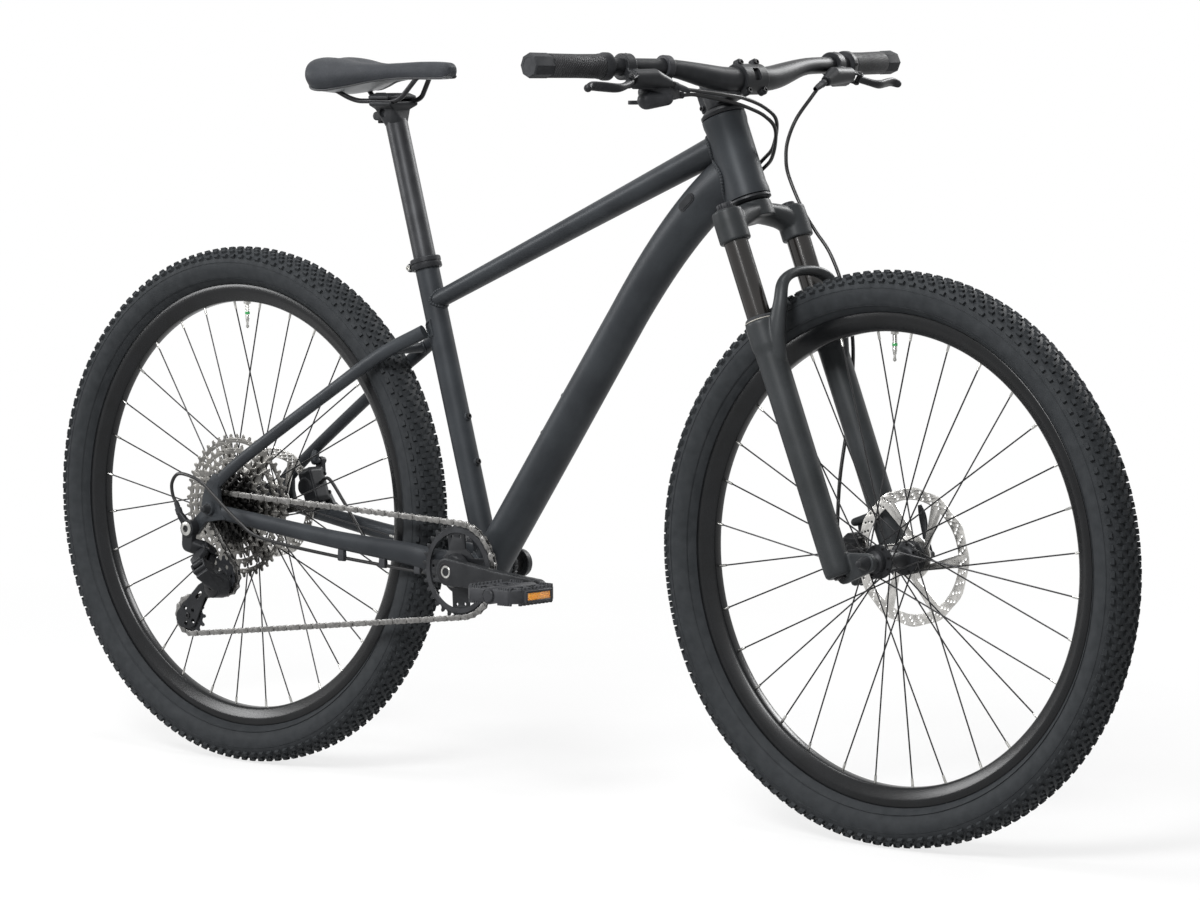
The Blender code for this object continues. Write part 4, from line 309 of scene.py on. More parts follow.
def wire(points, radius, ring=4, cyclic=False, swell=None):
    """Round bar along a path. Swell gives the radius at each point as a share."""
    curve = bpy.data.curves.new("wire", "CURVE")
    curve.dimensions = "3D"
    curve.bevel_depth = radius
    curve.bevel_resolution = ring
    curve.use_fill_caps = True
    spline = curve.splines.new("POLY")
    spline.points.add(len(points) - 1)
    spline.use_cyclic_u = cyclic
    for i, point in enumerate(points):
        spline.points[i].co = (*point, 1)
        spline.points[i].radius = swell[i] if swell else 1.0
    return settle(from_curve(curve))


def arc(centre, radius, start, end, steps):
    """Points of a flat arc, angles in degrees."""
    angles = [math.radians(start + (end - start) * i / steps) for i in range(steps + 1)]
    return [(centre[0] + radius * math.cos(a), centre[1] + radius * math.sin(a)) for a in angles]


def circle(centre, radius, steps):
    return arc(centre, radius, 0, 360 - 360 / steps, steps - 1)


def plate(outlines, thickness, place, edge=0.0):
    """Flat plate from its outline and those of its holes, with edges broken where edge is given."""
    curve = bpy.data.curves.new("outline", "CURVE")
    curve.dimensions = "2D"
    curve.fill_mode = "BOTH"
    curve.extrude = thickness / 2 - edge
    curve.bevel_depth = edge
    curve.bevel_resolution = 1
    curve.offset = -edge
    for outline in outlines:
        spline = curve.splines.new("POLY")
        spline.points.add(len(outline) - 1)
        spline.use_cyclic_u = True
        for point, (u, v) in zip(spline.points, outline):
            point.co = (u, v, 0, 1)
    return settle(from_curve(curve), place)


def hull(*solids):
    """Convex skin over several solids, which are used up."""
    bm = bmesh.new()
    for solid in solids:
        for vert in solid.verts:
            bm.verts.new(vert.co)
        solid.free()
    made = bmesh.ops.convex_hull(bm, input=bm.verts)
    spare = [item for item in made["geom_interior"] if isinstance(item, bmesh.types.BMVert)]
    bmesh.ops.delete(bm, geom=spare, context="VERTS")
    return settle(bm)


def ball(centre, radius, sides=16):
    bm = bmesh.new()
    bmesh.ops.create_uvsphere(bm, u_segments=sides, v_segments=sides // 2, radius=radius)
    bm.transform(Matrix.Translation(centre))
    return bm


def together(parts):
    """One mesh that holds several shapes, which are used up."""
    whole = bmesh.new()
    for part in parts:
        mesh = bpy.data.meshes.new("part")
        part.to_mesh(mesh)
        part.free()
        whole.from_mesh(mesh)
        bpy.data.meshes.remove(mesh)
    return whole


def modified(bm, settings):
    """Shape after a list of modifiers, each given as (kind, {setting: value})."""
    mesh = bpy.data.meshes.new("shape")
    bm.to_mesh(mesh)
    bm.free()
    holder = bpy.data.objects.new("shape", mesh)
    bpy.context.scene.collection.objects.link(holder)
    for kind, values in settings:
        modifier = holder.modifiers.new(kind.lower(), kind)
        for name, value in values.items():
            setattr(modifier, name, value)
    graph = bpy.context.evaluated_depsgraph_get()
    done = bpy.data.meshes.new_from_object(holder.evaluated_get(graph))
    bm = bmesh.new()
    bm.from_mesh(done)
    bpy.data.objects.remove(holder)
    bpy.data.meshes.remove(mesh)
    bpy.data.meshes.remove(done)
    return bm


def cast(parts, grain, rounds=4):
    """Overlapping solids fused into one skin with soft corners, as a casting or forging has."""
    bm = modified(together(parts), [("REMESH", {"mode": "VOXEL", "voxel_size": grain})])
    for _ in range(rounds):
        bmesh.ops.smooth_vert(
            bm, verts=bm.verts, factor=0.5, use_axis_x=True, use_axis_y=True, use_axis_z=True
        )
    return bm


def carve(bm, cutters):
    """Shape with the cutters taken out of it one after another."""
    tools = []
    for cutter in cutters:
        mesh = bpy.data.meshes.new("tool")
        cutter.to_mesh(mesh)
        cutter.free()
        tools.append(bpy.data.objects.new("tool", mesh))
        bpy.context.scene.collection.objects.link(tools[-1])
    cuts = [{"operation": "DIFFERENCE", "solver": "MANIFOLD", "object": tool} for tool in tools]
    bm = modified(bm, [("BOOLEAN", cut) for cut in cuts])
    for tool in tools:
        mesh = tool.data
        bpy.data.objects.remove(tool)
        bpy.data.meshes.remove(mesh)
    return bm


def piece(name, parts, body, look, replaces=(), sharp=38):
    """Finished piece of the bike on one of its bodies, with its finish."""
    bm = together(parts if isinstance(parts, list) else [parts])
    mesh = bpy.data.meshes.new(name)
    bm.to_mesh(mesh)
    bm.free()
    mesh.materials.append(look)
    mesh.shade_smooth()
    mesh.set_sharp_from_angle(angle=math.radians(sharp))
    made = bpy.data.objects.new(name, mesh)
    bpy.context.scene.collection.objects.link(made)
    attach(made, body)
    for node in replaces:
        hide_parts(node)
    return made


def socket_bolt(spot, out, radius=0.0035, height=0.003, slim=0.5):
    """Cap bolt with a hexagon socket, its head standing out from a spot."""
    place = placed(spot, out)
    key = radius * slim
    head = [
        (radius * 0.98, 0), (radius, height * 0.2), (radius, height * 0.8), (radius * 0.86, height)
    ]
    bm = turned(head, place, 20)
    deep = turned([(key, height), (key * 0.96, height * 0.25), (0, height * 0.2)], place, 6)
    lip = turned([(radius * 0.86, height), (key, height)], place, 20)
    return together([bm, deep, lip])


# Materials

MOTTLE = (0.12, 0.4)
GRAIN = (0.3, 0.7)
RUBBED = (0.54, 0.66)


def linear(code):
    """Scene colour of an sRGB hex code."""
    parts = [int(code[i : i + 2], 16) / 255 for i in (0, 2, 4)]
    return (*[c / 12.92 if c <= 0.04045 else ((c + 0.055) / 1.055) ** 2.4 for c in parts], 1.0)


def add(tree, kind, inputs=None, out=0, **settings):
    """Adds a node and gives one of its outputs. An input is a value, or an output to link from."""
    node = tree.nodes.new("ShaderNode" + kind)
    for name, value in settings.items():
        setattr(node, name, value)
    for name, value in (inputs or {}).items():
        if isinstance(value, bpy.types.NodeSocket):
            tree.links.new(value, node.inputs[name])
        else:
            node.inputs[name].default_value = value
    return node.outputs[out] if node.outputs else None


def times(tree, first, second):
    return add(tree, "Math", {0: first, 1: second}, operation="MULTIPLY")


def ranged(tree, value, low, high, start=0.0, end=1.0):
    """Value carried over from one range to another."""
    ends = {"From Min": low, "From Max": high, "To Min": start, "To Max": end}
    return add(tree, "MapRange", {"Value": value, **ends})


def noise(tree, spot, size, detail):
    """Cloudy pattern, its patches about so many mm across."""
    return add(tree, "TexNoise", {"Vector": spot, "Scale": 1000 / size, "Detail": detail})


def mixed(tree, share, near, far):
    return add(tree, "Mix", {"Factor": share, 6: near, 7: far}, out=2, data_type="RGBA")


def length_of(tree, vector):
    return add(tree, "VectorMath", {0: vector}, out="Value", operation="LENGTH")


def seen_by(tree, *kinds):
    """1 for rays of the given kinds, and 0 for all others."""
    rays = [add(tree, "LightPath", out=kind) for kind in kinds]
    seen = rays[0]
    for ray in rays[1:]:
        seen = add(tree, "Math", {0: seen, 1: ray}, operation="MAXIMUM")
    return seen


def blank(name):
    """New material, its node tree, and where a point lies on its object."""
    material = bpy.data.materials.new(name)
    material.use_nodes = True
    tree = material.node_tree
    tree.nodes.clear()
    return material, tree, add(tree, "TexCoord", out="Object")


def surface(tree, colour, rough, height, depth, strength, more):
    """Ends a material: its colour, its roughness, and a bump whose depth is in mm."""
    bump = add(tree, "Bump", {"Height": height, "Distance": depth * MM, "Strength": strength})
    values = {"Base Color": colour, "Roughness": rough, "Normal": bump, **more}
    add(tree, "OutputMaterial", {"Surface": add(tree, "BsdfPrincipled", values)})


def finish(name, colours, rough, grain, relief, metal=0.0, patch=25.0, edge=None,
           stretch=(1, 1, 1), specular=0.5):
    """Surface with a drifting colour, a drifting roughness, a fine grain and rubbed edges.

    Colours are two hex codes, rough a low and a high value, grain and patch sizes in mm,
    relief the grain's height in mm, edge the colour of rubbed edges, and stretch the grain's
    lengths along x, y and z.
    """
    material, tree, spot = blank(name)
    drift = noise(tree, spot, patch, 4.0)
    fine = noise(tree, add(tree, "Mapping", {"Vector": spot, "Scale": stretch}), grain, 3.0)
    share = ranged(tree, times(tree, drift, fine), *MOTTLE)
    colour = mixed(tree, share, *map(linear, colours))
    if edge:
        rub = ranged(tree, add(tree, "NewGeometry", out="Pointiness"), *RUBBED, 0.0, 0.55)
        colour = mixed(tree, times(tree, rub, drift), colour, linear(edge))
    shine = ranged(tree, fine, *GRAIN, *rough)
    more = {"Metallic": metal, "Specular IOR Level": specular}
    surface(tree, colour, shine, fine, relief, 0.6, more)
    return material


def ringed(name, colours, centre, pitch, rough):
    """Steel turned or ground about an axle: fine rings round it give a fan of light."""
    material, tree, spot = blank(name)
    local = add(tree, "Mapping", {"Vector": spot, "Location": -centre})
    flat = add(tree, "VectorMath", {0: local, 1: (1, 0, 1)}, operation="MULTIPLY")
    lines = {"W": length_of(tree, flat), "Scale": 1000 / pitch, "Detail": 3.0}
    rings = add(tree, "TexNoise", lines, noise_dimensions="1D")
    share = ranged(tree, times(tree, rings, noise(tree, spot, 12.0, 3.0)), *MOTTLE)
    colour = mixed(tree, share, *map(linear, colours))
    shine = ranged(tree, rings, *GRAIN, *rough)
    surface(tree, colour, shine, rings, 0.02, 0.5, {"Metallic": 1.0, "Anisotropic": 0.4})
    return material


def raised(tree, spot, height, colours, relief, strength, rough):
    """Ends a material whose raised parts are smoother than its hollows, with painted shade
    darkening the hollows and painted highlight on the paler tops.
    """
    # Painted shade and highlight: the colour runs from dark in the hollows to pale on the raised
    # tops
    share = times(tree, height, noise(tree, spot, 18.0, 4.0))
    colour = mixed(tree, share, *map(linear, colours))
    shine = ranged(tree, height, 0.0, 1.0, rough[1], rough[0])
    surface(tree, colour, shine, height, relief, strength, {"Specular IOR Level": 0.12})


def pebbled(name, colours, cell, relief, rough):
    """Small uneven raised cells with fine creases between them, as on leather, with painted shade
    in the creases and painted highlight on the cell tops.
    """
    material, tree, spot = blank(name)
    pattern = {"Vector": spot, "Scale": 1000 / cell, "Randomness": 0.9}
    cells = add(tree, "TexVoronoi", pattern, out="Distance", feature="DISTANCE_TO_EDGE")
    raised(tree, spot, ranged(tree, cells, 0.0, 0.22), colours, relief, 0.7, rough)
    return material


def knurled(name, colours, pitch, relief, rough):
    """Small diamonds moulded into rubber: two slanting sets of grooves crossing along the bar, with
    painted shade in the grooves and painted highlight on the diamond tops.
    """
    material, tree, spot = blank(name)
    ridges = []
    for way in (Vector((1, 1.3, 1)), Vector((-1, 1.3, -1))):
        turns = {0: spot, 1: way.normalized() * (math.pi * 1000 / pitch)}
        run = add(tree, "VectorMath", turns, out="Value", operation="DOT_PRODUCT")
        wave = add(tree, "Math", {0: run}, operation="SINE")
        ridges.append(add(tree, "Math", {0: wave}, operation="ABSOLUTE"))
    diamonds = add(tree, "Math", {0: ridges[0], 1: ridges[1]}, operation="MINIMUM")
    raised(tree, spot, diamonds, colours, relief, 0.8, rough)
    return material


def prismatic(name, colour, deep, cell):
    """Reflector lens: clear coloured plastic over rows of small prisms."""
    material, tree, spot = blank(name)
    pattern = {"Vector": spot, "Scale": 1000 / cell, "Randomness": 0.0}
    prisms = add(tree, "TexVoronoi", pattern, out="Distance", distance="MANHATTAN")
    tint = mixed(tree, prisms, linear(colour), linear(deep))
    more = {
        "Coat Weight": 0.8, "Subsurface Weight": 0.25, "Subsurface Radius": (0.004, 0.002, 0.001)
    }
    surface(tree, tint, 0.18, prisms, 0.6, 0.8, more)
    return material


# Satin anthracite over aluminium: a cold grey with a fine metal flake
frame_paint = finish("satin_anthracite_paint", ("25272a", "333639"), (0.38, 0.5),
                     0.5, 0.012, 0.15, 60, specular=0.11)
# Smooth satin black on the cast lower legs
fork_paint = finish("satin_black_cast_paint", ("242627", "333537"), (0.36, 0.48),
                    0.7, 0.015, 0.1, 50, specular=0.13)
# Hard coat on the upper legs: near black with a brown cast and a clear shine
stanchion_coat = finish("dark_hard_coat", ("121110", "1d1a18"), (0.14, 0.22),
                        0.4, 0.002, 0.2, 40, stretch=(1, 1, 0.2), specular=0.55)
# Bead-blasted black anodising with rubbed edges
black_alloy = finish("black_anodised_alloy", ("191a1c", "28292b"), (0.36, 0.5),
                     0.25, 0.01, 0.3, 20, edge="5a5b5e", specular=0.16)
# Turned stainless hardware
steel = finish("stainless_hardware", ("8f8f8d", "c4c3bf"), (0.2, 0.34), 0.3, 0.006, 1.0, 8)
# Darkened steel of bolts and rails
dark_steel = finish("black_oxide_steel", ("1a1a1b", "2a2a2c"), (0.32, 0.46),
                    0.3, 0.008, 0.7, 8)
# Nickel grey chain plates with a film of oil
chain_steel = finish("oiled_chain_steel", ("5c5b5a", "8e8d8b"), (0.24, 0.42),
                     0.6, 0.01, 1.0, 7)
# Nickel steel of the large cogs, ground in rings
cog_steel = ringed(
    "nickel_cog_steel", ("5f5e5c", "8b8985"), rear_axle, 0.5, (0.24, 0.4)
)
# Dark phosphated steel of the small cogs
dark_cog = ringed(
    "dark_cog_steel", ("232323", "3b3a39"), rear_axle, 0.5, (0.3, 0.46)
)
# Tyre rubber: dull, slightly dusty, with mould texture
tyre_rubber = finish("tyre_rubber", ("252729", "303234"), (0.52, 0.68), 0.6, 0.05,
                     patch=14, specular=0.06)
# Satin black rim with a faint extrusion grain
rim_alloy = finish(
    "satin_black_rim", ("0c0d0e", "141517"), (0.22, 0.34), 0.4, 0.006, 0.2, 30, specular=0.26
)
# Soft grip rubber
grip_rubber = finish("grip_rubber", ("252628", "343537"), (0.5, 0.66), 0.35, 0.03,
                     patch=10, specular=0.09)
# Smooth hose jacket
hose_jacket = finish("hose_jacket", ("0b0b0c", "151516"), (0.3, 0.42), 0.8, 0.01,
                     patch=15, specular=0.35)
# Spark-eroded moulded plastic
plastic = finish("moulded_black_plastic", ("212224", "303134"), (0.38, 0.54), 0.3, 0.03,
                 patch=15, edge="4a4b4e", specular=0.15)
# Pale grey saddle base
shell_plastic = finish("grey_shell_plastic", ("6f7173", "86888a"), (0.4, 0.55), 0.4, 0.02,
                       patch=20)
# Saddle cover, its creases darkened with painted shade and its cell tops paler with painted
# highlight
saddle_cover = pebbled("saddle_cover", ("26282b", "404246"), 1.1, 0.12, (0.44, 0.6))
# Moulded diamonds of the grips, 2.2 mm apart, with painted shade in the grooves and painted
# highlight on the tops
knurled_rubber = knurled(
    "knurled_grip_rubber", ("1a1a1b", "4a4b4d"), 2.2, 0.5, (0.46, 0.66)
)
# Pale felt of the fork seals
seal_felt = finish(
    "pale_seal_felt", ("8f8c86", "a8a59d"), (0.7, 0.85), 0.5, 0.03, patch=6
)
# Smooth welted saddle side
saddle_side = finish("smooth_saddle_side", ("1b1c1e", "2a2b2e"), (0.4, 0.55), 0.8, 0.03,
                     patch=15)
# Amber reflectors
amber = prismatic("amber_reflector", "ffb02e", "d27a0c", 2.0)
# Green valve ring
green_ring = finish("green_anodised_ring", ("3d8f55", "56ad6c"), (0.25, 0.36),
                    0.3, 0.004, 0.7, 5)


# Stage


def studio_floor():
    """Pale floor that fades to white away from the bike, as the camera sees it."""
    bm = bmesh.new()
    bmesh.ops.create_grid(bm, x_segments=8, y_segments=8, size=14)
    mesh = bpy.data.meshes.new("floor")
    bm.to_mesh(mesh)
    bm.free()
    floor = bpy.data.objects.new("floor", mesh)
    bpy.context.scene.collection.objects.link(floor)
    material, tree, spot = blank("pale_studio_floor")
    mottle = add(tree, "TexNoise", {"Vector": spot, "Scale": 3.0, "Detail": 3.0})
    tone = mixed(tree, mottle, linear("c8c8c8"), linear("d2d2d2"))
    lit = add(tree, "BsdfDiffuse", {"Color": tone, "Roughness": 0.6})
    glow = add(tree, "Emission", {"Color": WHITE, "Strength": 1.0})
    fade = ranged(tree, length_of(tree, spot), 1.2, 3.0, 0.78, 1.0)
    share = times(tree, seen_by(tree, "Is Camera Ray", "Is Glossy Ray"), fade)
    both = add(tree, "MixShader", {0: share, 1: lit, 2: glow})
    add(tree, "OutputMaterial", {"Surface": both})
    mesh.materials.append(material)


def studio_light():
    """White surroundings that light the bike only a little, and four soft lamps."""
    scene = bpy.context.scene
    world = bpy.data.worlds.new("studio")
    scene.world = world
    world.use_nodes = True
    tree = world.node_tree
    tree.nodes.clear()
    seen = seen_by(tree, "Is Camera Ray", "Is Transmission Ray", "Is Glossy Ray")
    plain, soft = (
        add(tree, "Background", {"Color": WHITE, "Strength": power}) for power in (1.0, AMBIENT)
    )
    add(tree, "OutputWorld", {"Surface": add(tree, "MixShader", {0: seen, 1: soft, 2: plain})})
    target = Vector((0.05, 0, 0.5))
    for name, spot, size, power in (
        ("key_softbox", Vector((1.2, -3.2, 3.0)), 1.4, 215),
        ("top_softbox", Vector((-0.4, -0.6, 4.0)), 1.4, 90),
        ("side_softbox", Vector((-3.2, -2.2, 1.8)), 1.2, 90),
        ("back_softbox", Vector((0.5, 3.2, 2.6)), 1.4, 110),
    ):
        light = bpy.data.lights.new(name, "AREA")
        light.shape = "SQUARE"
        light.size = size
        light.energy = power
        holder = bpy.data.objects.new(name, light)
        holder.matrix_world = placed(spot, spot - target)
        scene.collection.objects.link(holder)


def photo_camera():
    """The camera of the photograph, as fitted to the outlines of both wheels."""
    scene = bpy.context.scene
    swing, lift, roll = 0.714296, 0.084857, -0.003094
    back = Vector(
        (math.sin(swing) * math.cos(lift), -math.cos(swing) * math.cos(lift), math.sin(lift))
    )
    right = (-back).cross(Z).normalized()
    up = right.cross(-back)
    level = right * math.cos(roll) + up * math.sin(roll)
    upright = up * math.cos(roll) - right * math.sin(roll)
    view = bpy.data.cameras.new("camera")
    view.lens = 143.794
    view.sensor_width = 36
    view.sensor_fit = "HORIZONTAL"
    view.clip_end = 60
    camera = bpy.data.objects.new("camera", view)
    turn = Matrix((level, upright, back)).transposed().to_4x4()
    turn.translation = Vector((4.29377, -4.85424, 1.03158))
    camera.matrix_world = turn
    scene.collection.objects.link(camera)
    scene.camera = camera
    scene.view_settings.view_transform = "Standard"
    scene.view_settings.look = "None"


# Frame

RIPPLE, RIPPLE_STEPS = 0.0034, 5


def weld(start, along, wide, high, axis_point, axis, radius, bead=0.0026, across=Y):
    """Row of overlapping weld ripples where a tube meets a round one."""
    along = along.normalized()
    across = (across - across.dot(along) * along).normalized()
    over = along.cross(across)
    axis = axis.normalized()
    count = RIPPLE_STEPS * max(12, int(math.pi * (wide + high) / RIPPLE))
    flat = along - along.dot(axis) * axis
    loop = []
    for i in range(count):
        angle = TAU * i / count
        edge = start + wide * math.cos(angle) * across + high * math.sin(angle) * over
        gap = edge - axis_point
        gap = gap - gap.dot(axis) * axis
        half = gap.dot(flat) / flat.length_squared
        room = half * half - (gap.length_squared - radius * radius) / flat.length_squared
        if room > 0:
            loop.append(edge + along * (-half - math.sqrt(room)))
    swell = [0.82 + 0.26 * abs(math.sin(math.pi * i / RIPPLE_STEPS)) for i in range(len(loop))]
    return wire(loop, bead, 3, len(loop) == count, swell)


def down_tube_path(count):
    """Straight from the bottom bracket, then bending forward into the head tube."""
    along = heading(DOWN_ANGLE)
    foot = bottom_bracket + 0.008 * X
    end = fork_point(HEAD_BOTTOM + DOWN_RADIUS * 1.5)
    corner = foot + along * (end - foot).dot(along) * 0.87
    bend_start = foot + along * (end - foot).dot(along) * 0.62
    points = [foot, foot.lerp(bend_start, 0.5)]
    for i in range(count):
        t = i / (count - 1)
        points.append((1 - t) ** 2 * bend_start + 2 * t * (1 - t) * corner + t * t * end)
    return points


def cage_boss(foot, outward):
    """Threaded boss with a flange and a button-head bolt."""
    collar = [(0.0062, -0.003), (0.0062, 0.001), (0.0054, 0.0022), (0, 0.0022)]
    return turned(collar, placed(foot, outward), 24), socket_bolt(
        foot + 0.0022 * outward, outward, 0.0042, 0.0024
    )


def main_frame():
    """Tubes of the front triangle with their weld beads, and the bottle bosses with their bolts."""
    down = down_tube_path(22)
    sizes = [(DOWN_RADIUS * 1.08, DOWN_RADIUS * 0.98)] * 2
    sizes += [(DOWN_RADIUS, DOWN_RADIUS * (0.98 + 0.24 * i / 21)) for i in range(22)]
    flare = [
        (HEAD_RADIUS - 0.003, 0), (HEAD_RADIUS, 0.0012), (HEAD_RADIUS, 0.009),
        (HEAD_RADIUS - 0.0011, 0.016), (HEAD_RADIUS - 0.0011, 0.099), (HEAD_RADIUS, 0.106),
        (HEAD_RADIUS, 0.1138), (HEAD_RADIUS - 0.003, 0.115),
    ]
    head = turned(flare, placed(fork_point(HEAD_BOTTOM), steer_up, Y), 64)
    shell_rim = mirrored([(0.018, 0.0365), (0.0204, 0.0365), (BRACKET_RADIUS, 0.0358)])
    shell = turned(shell_rim, placed(bottom_bracket, Y, X), 48)
    top_ends = [seat_point(0.376), fork_point(HEAD_TOP - 0.034)]
    top = [top_ends[0].lerp(top_ends[1], t) for t in (0, 0.4, 0.8, 1)]
    top_sizes = [(0.015, 0.0118), (0.018, 0.014), (0.0205, 0.0172), (0.0215, 0.0195)]
    tubes = [
        loft(down, sizes, 48), head, shell, swept(top, top_sizes, 24, 40),
        turned([(0.0158, 0), (SEAT_RADIUS, 0), (SEAT_RADIUS, SEAT_TUBE), (0.0158, SEAT_TUBE)],
               placed(seat_point(0), seat_up, Y), 48),
    ]
    along = (down[1] - down[0]).normalized()
    upward = Vector((-along.z, 0, along.x))
    bolts = []
    spots = [
        (seat_point(t, SEAT_RADIUS), seat_forward)
        for t in (SEAT_BOSS - BOSS_GAP / 2, SEAT_BOSS + BOSS_GAP / 2)
    ]
    spots += [
        (down[0] + along * reach + upward * (DOWN_RADIUS - 0.0004), upward)
        for reach in (DOWN_BOSS, DOWN_BOSS + BOSS_GAP)
    ]
    for foot, outward in spots:
        boss, bolt = cage_boss(foot, outward)
        tubes.append(boss)
        bolts.append(bolt)
    run_in = (down[-1] - down[-2]).normalized()
    top_way = (top_ends[1] - top_ends[0]).normalized()
    head_axis = (fork_point(0.5), steer_up, HEAD_RADIUS)
    seat_axis = (seat_foot, seat_up, SEAT_RADIUS)
    shell_axis = (bottom_bracket, Y, BRACKET_RADIUS)
    tubes += [
        weld(down[-1] - run_in * 0.09, run_in, DOWN_RADIUS, DOWN_RADIUS * 1.22, *head_axis),
        weld(top_ends[1] - top_way * 0.09, top_way, 0.0215, 0.0193, *head_axis),
        weld(top_ends[0] + top_way * 0.09, -top_way, 0.0152, 0.012, *seat_axis),
        weld(down[0] + along * 0.09, -along, DOWN_RADIUS * 1.08, DOWN_RADIUS * 0.98, *shell_axis),
        weld(seat_point(0.09), -seat_up, SEAT_RADIUS, SEAT_RADIUS, *shell_axis),
    ]
    piece("main_frame", tubes, "frame", frame_paint, ["front_triangle"])
    piece("cage_bolts", bolts, "frame", dark_steel)


def stay_runs(hand):
    """Stations of one side's seatstay and chainstay, with half width and half height at each."""
    drop = REAR_DROP + DROPOUT_THICK / 2
    top = seat_point(SEAT_TUBE * 0.768, -0.012)
    bb = bottom_bracket - rear_axle
    seat_run = [
        Vector((top.x, hand * 0.02, top.z)),
        *rear_points(
            (0.3, 0.229, hand * 0.041), (0.207, 0.172, hand * 0.05),
            (0.07, 0.082, hand * (drop - 0.007)), (0.012, 0.038, hand * drop),
            (-0.004, 0.016, hand * drop),
        ),
    ]
    seat_sizes = [(0.0085, 0.01), (0.0085, 0.0095), (0.0082, 0.0088)]
    seat_sizes += [(0.0075, 0.0085), (0.004, 0.0085), (0.0036, 0.006)]
    chain_run = [
        *rear_points(
            (bb.x - 0.004, bb.z + 0.004, hand * 0.022), (bb.x - 0.06, bb.z + 0.009, hand * 0.0385),
            (bb.x - 0.11, bb.z + 0.0155, hand * 0.0415), (bb.x - 0.24, bb.z + 0.0285, hand * 0.056),
            (0.04, -0.008, hand * (drop - 0.003)), (0.008, -0.003, hand * drop),
        )
    ]
    chain_sizes = [(0.0085, 0.0168), (0.008, 0.0168), (0.008, 0.0155)]
    chain_sizes += [(0.0085, 0.0125), (0.006, 0.0108), (0.0036, 0.008)]
    return (seat_run, seat_sizes), (chain_run, chain_sizes)


def stay_spot(run, x):
    """Centre of a stay at a place along the bike."""
    for near, far in zip(run, run[1:]):
        if far.x <= x <= near.x:
            return near.lerp(far, (near.x - x) / (near.x - far.x))
    return run[-1]


def dropout(hand):
    """Plate round the axle. The drive side carries the hanger for the derailleur."""
    flat = placed(rear_axle + hand * (REAR_DROP + DROPOUT_THICK / 2) * Y, -Y, X)
    outline = [
        (0.03, -0.014), (0.021, 0.000), (0.016, 0.016), (0.016, 0.032), (0.02, 0.046), (0.006, 0.05)
    ]
    if hand < 0:
        bolt = (-0.034, -0.03)
        outline += [(-0.009, 0.034), (-0.014, 0.02), (-0.0175, 0.008), (-0.018, -0.004)]
        outline += [
            (bolt[0] - 0.01, bolt[1] + 0.006), *arc(bolt, 0.0105, 160, 300, 12), (-0.01, -0.02)
        ]
    else:
        outline += [(-0.009, 0.034), (-0.014, 0.018), *arc((0, 0), 0.0155, 170, 290, 12)]
    return plate([outline, circle((0, 0), 0.0052, 24)], DROPOUT_THICK, flat, 0.001)


def stays():
    """Both sides' stays with their dropouts, and the bridge between the seatstays."""
    for hand, name in SIDES:
        (seat_run, seat_sizes), (chain_run, chain_sizes) = stay_runs(hand)
        parts = [
            swept(seat_run, seat_sizes, 60, 28), swept(chain_run, chain_sizes, 60, 28),
            dropout(hand),
        ]
        way = (seat_run[0] - seat_run[1]).normalized()
        parts.append(
            weld(
                seat_run[0] - way * 0.06, way, 0.0085, 0.01, seat_foot, seat_up, SEAT_RADIUS, 0.002
            )
        )
        way = (chain_run[0] - chain_run[1]).normalized()
        parts.append(
            weld(
                chain_run[0] - way * 0.06, way, 0.0085, 0.0142, bottom_bracket, Y, BRACKET_RADIUS,
                0.002,
            )
        )
        if hand > 0:
            parts += rear_caliper_posts()
        else:
            parts.append(
                turned(
                    [(0.0052, -0.006), (0.0092, -0.0055), (0.0098, -0.004), (0.0098, 0.0)],
                    placed(rear_axle - (REAR_DROP + DROPOUT_THICK) * Y, Y), 32,
                )
            )
        piece("stays_" + name, parts, "frame", frame_paint, ["rear_stay_" + name])
    (run, _), _ = stay_runs(1)
    middle = run[0].lerp(run[1], 0.766) * Vector((1, 0, 1))
    tube = pin(middle, Y, 0.04, 0.007, 32)
    beads = []
    for hand in (-1, 1):
        (run, _), _ = stay_runs(hand)
        near, far = run[0], run[1]
        beads.append(weld(middle, hand * Y, 0.007, 0.007, near, near - far, 0.009, 0.0016, X))
    piece("stay_bridge_tube", [tube, *beads], "frame", frame_paint, ["stay_bridge"])


def post_seat(centre, outward, spread, side):
    """Middle of the post under one ear of a caliper."""
    return centre + outward * 0.016 + outward.cross(Y) * side * spread + 0.0095 * Y


def rear_caliper_frame():
    """Middle of the rear caliper, its way out from the axle, and how far its posts are apart."""
    turn = math.radians(20)
    outward = heading(turn)
    return rear_axle + outward * (
        REAR_ROTOR - CALIPER_INSET
    ) + REAR_ROTOR_PLANE * Y, outward, REAR_SPREAD


def rear_caliper_posts():
    """Two posts between the stays that carry the caliper."""
    centre, outward, spread = rear_caliper_frame()
    tangent = outward.cross(Y)
    (seat_run, _), (chain_run, _) = stay_runs(1)
    posts = []
    for side, run in ((-1, chain_run), (1, seat_run)):
        foot = post_seat(centre, outward, spread, side)
        root = stay_spot(run, foot.x)
        posts.append(
            hull(ball(foot, 0.0055), ball(foot + tangent * side * 0.004, 0.0055), ball(root, 0.005))
        )
        posts.append(rod(foot - 0.003 * Y, foot + POST_HEIGHT * Y, 0.005, sides=24, soft=0.0005))
    return posts


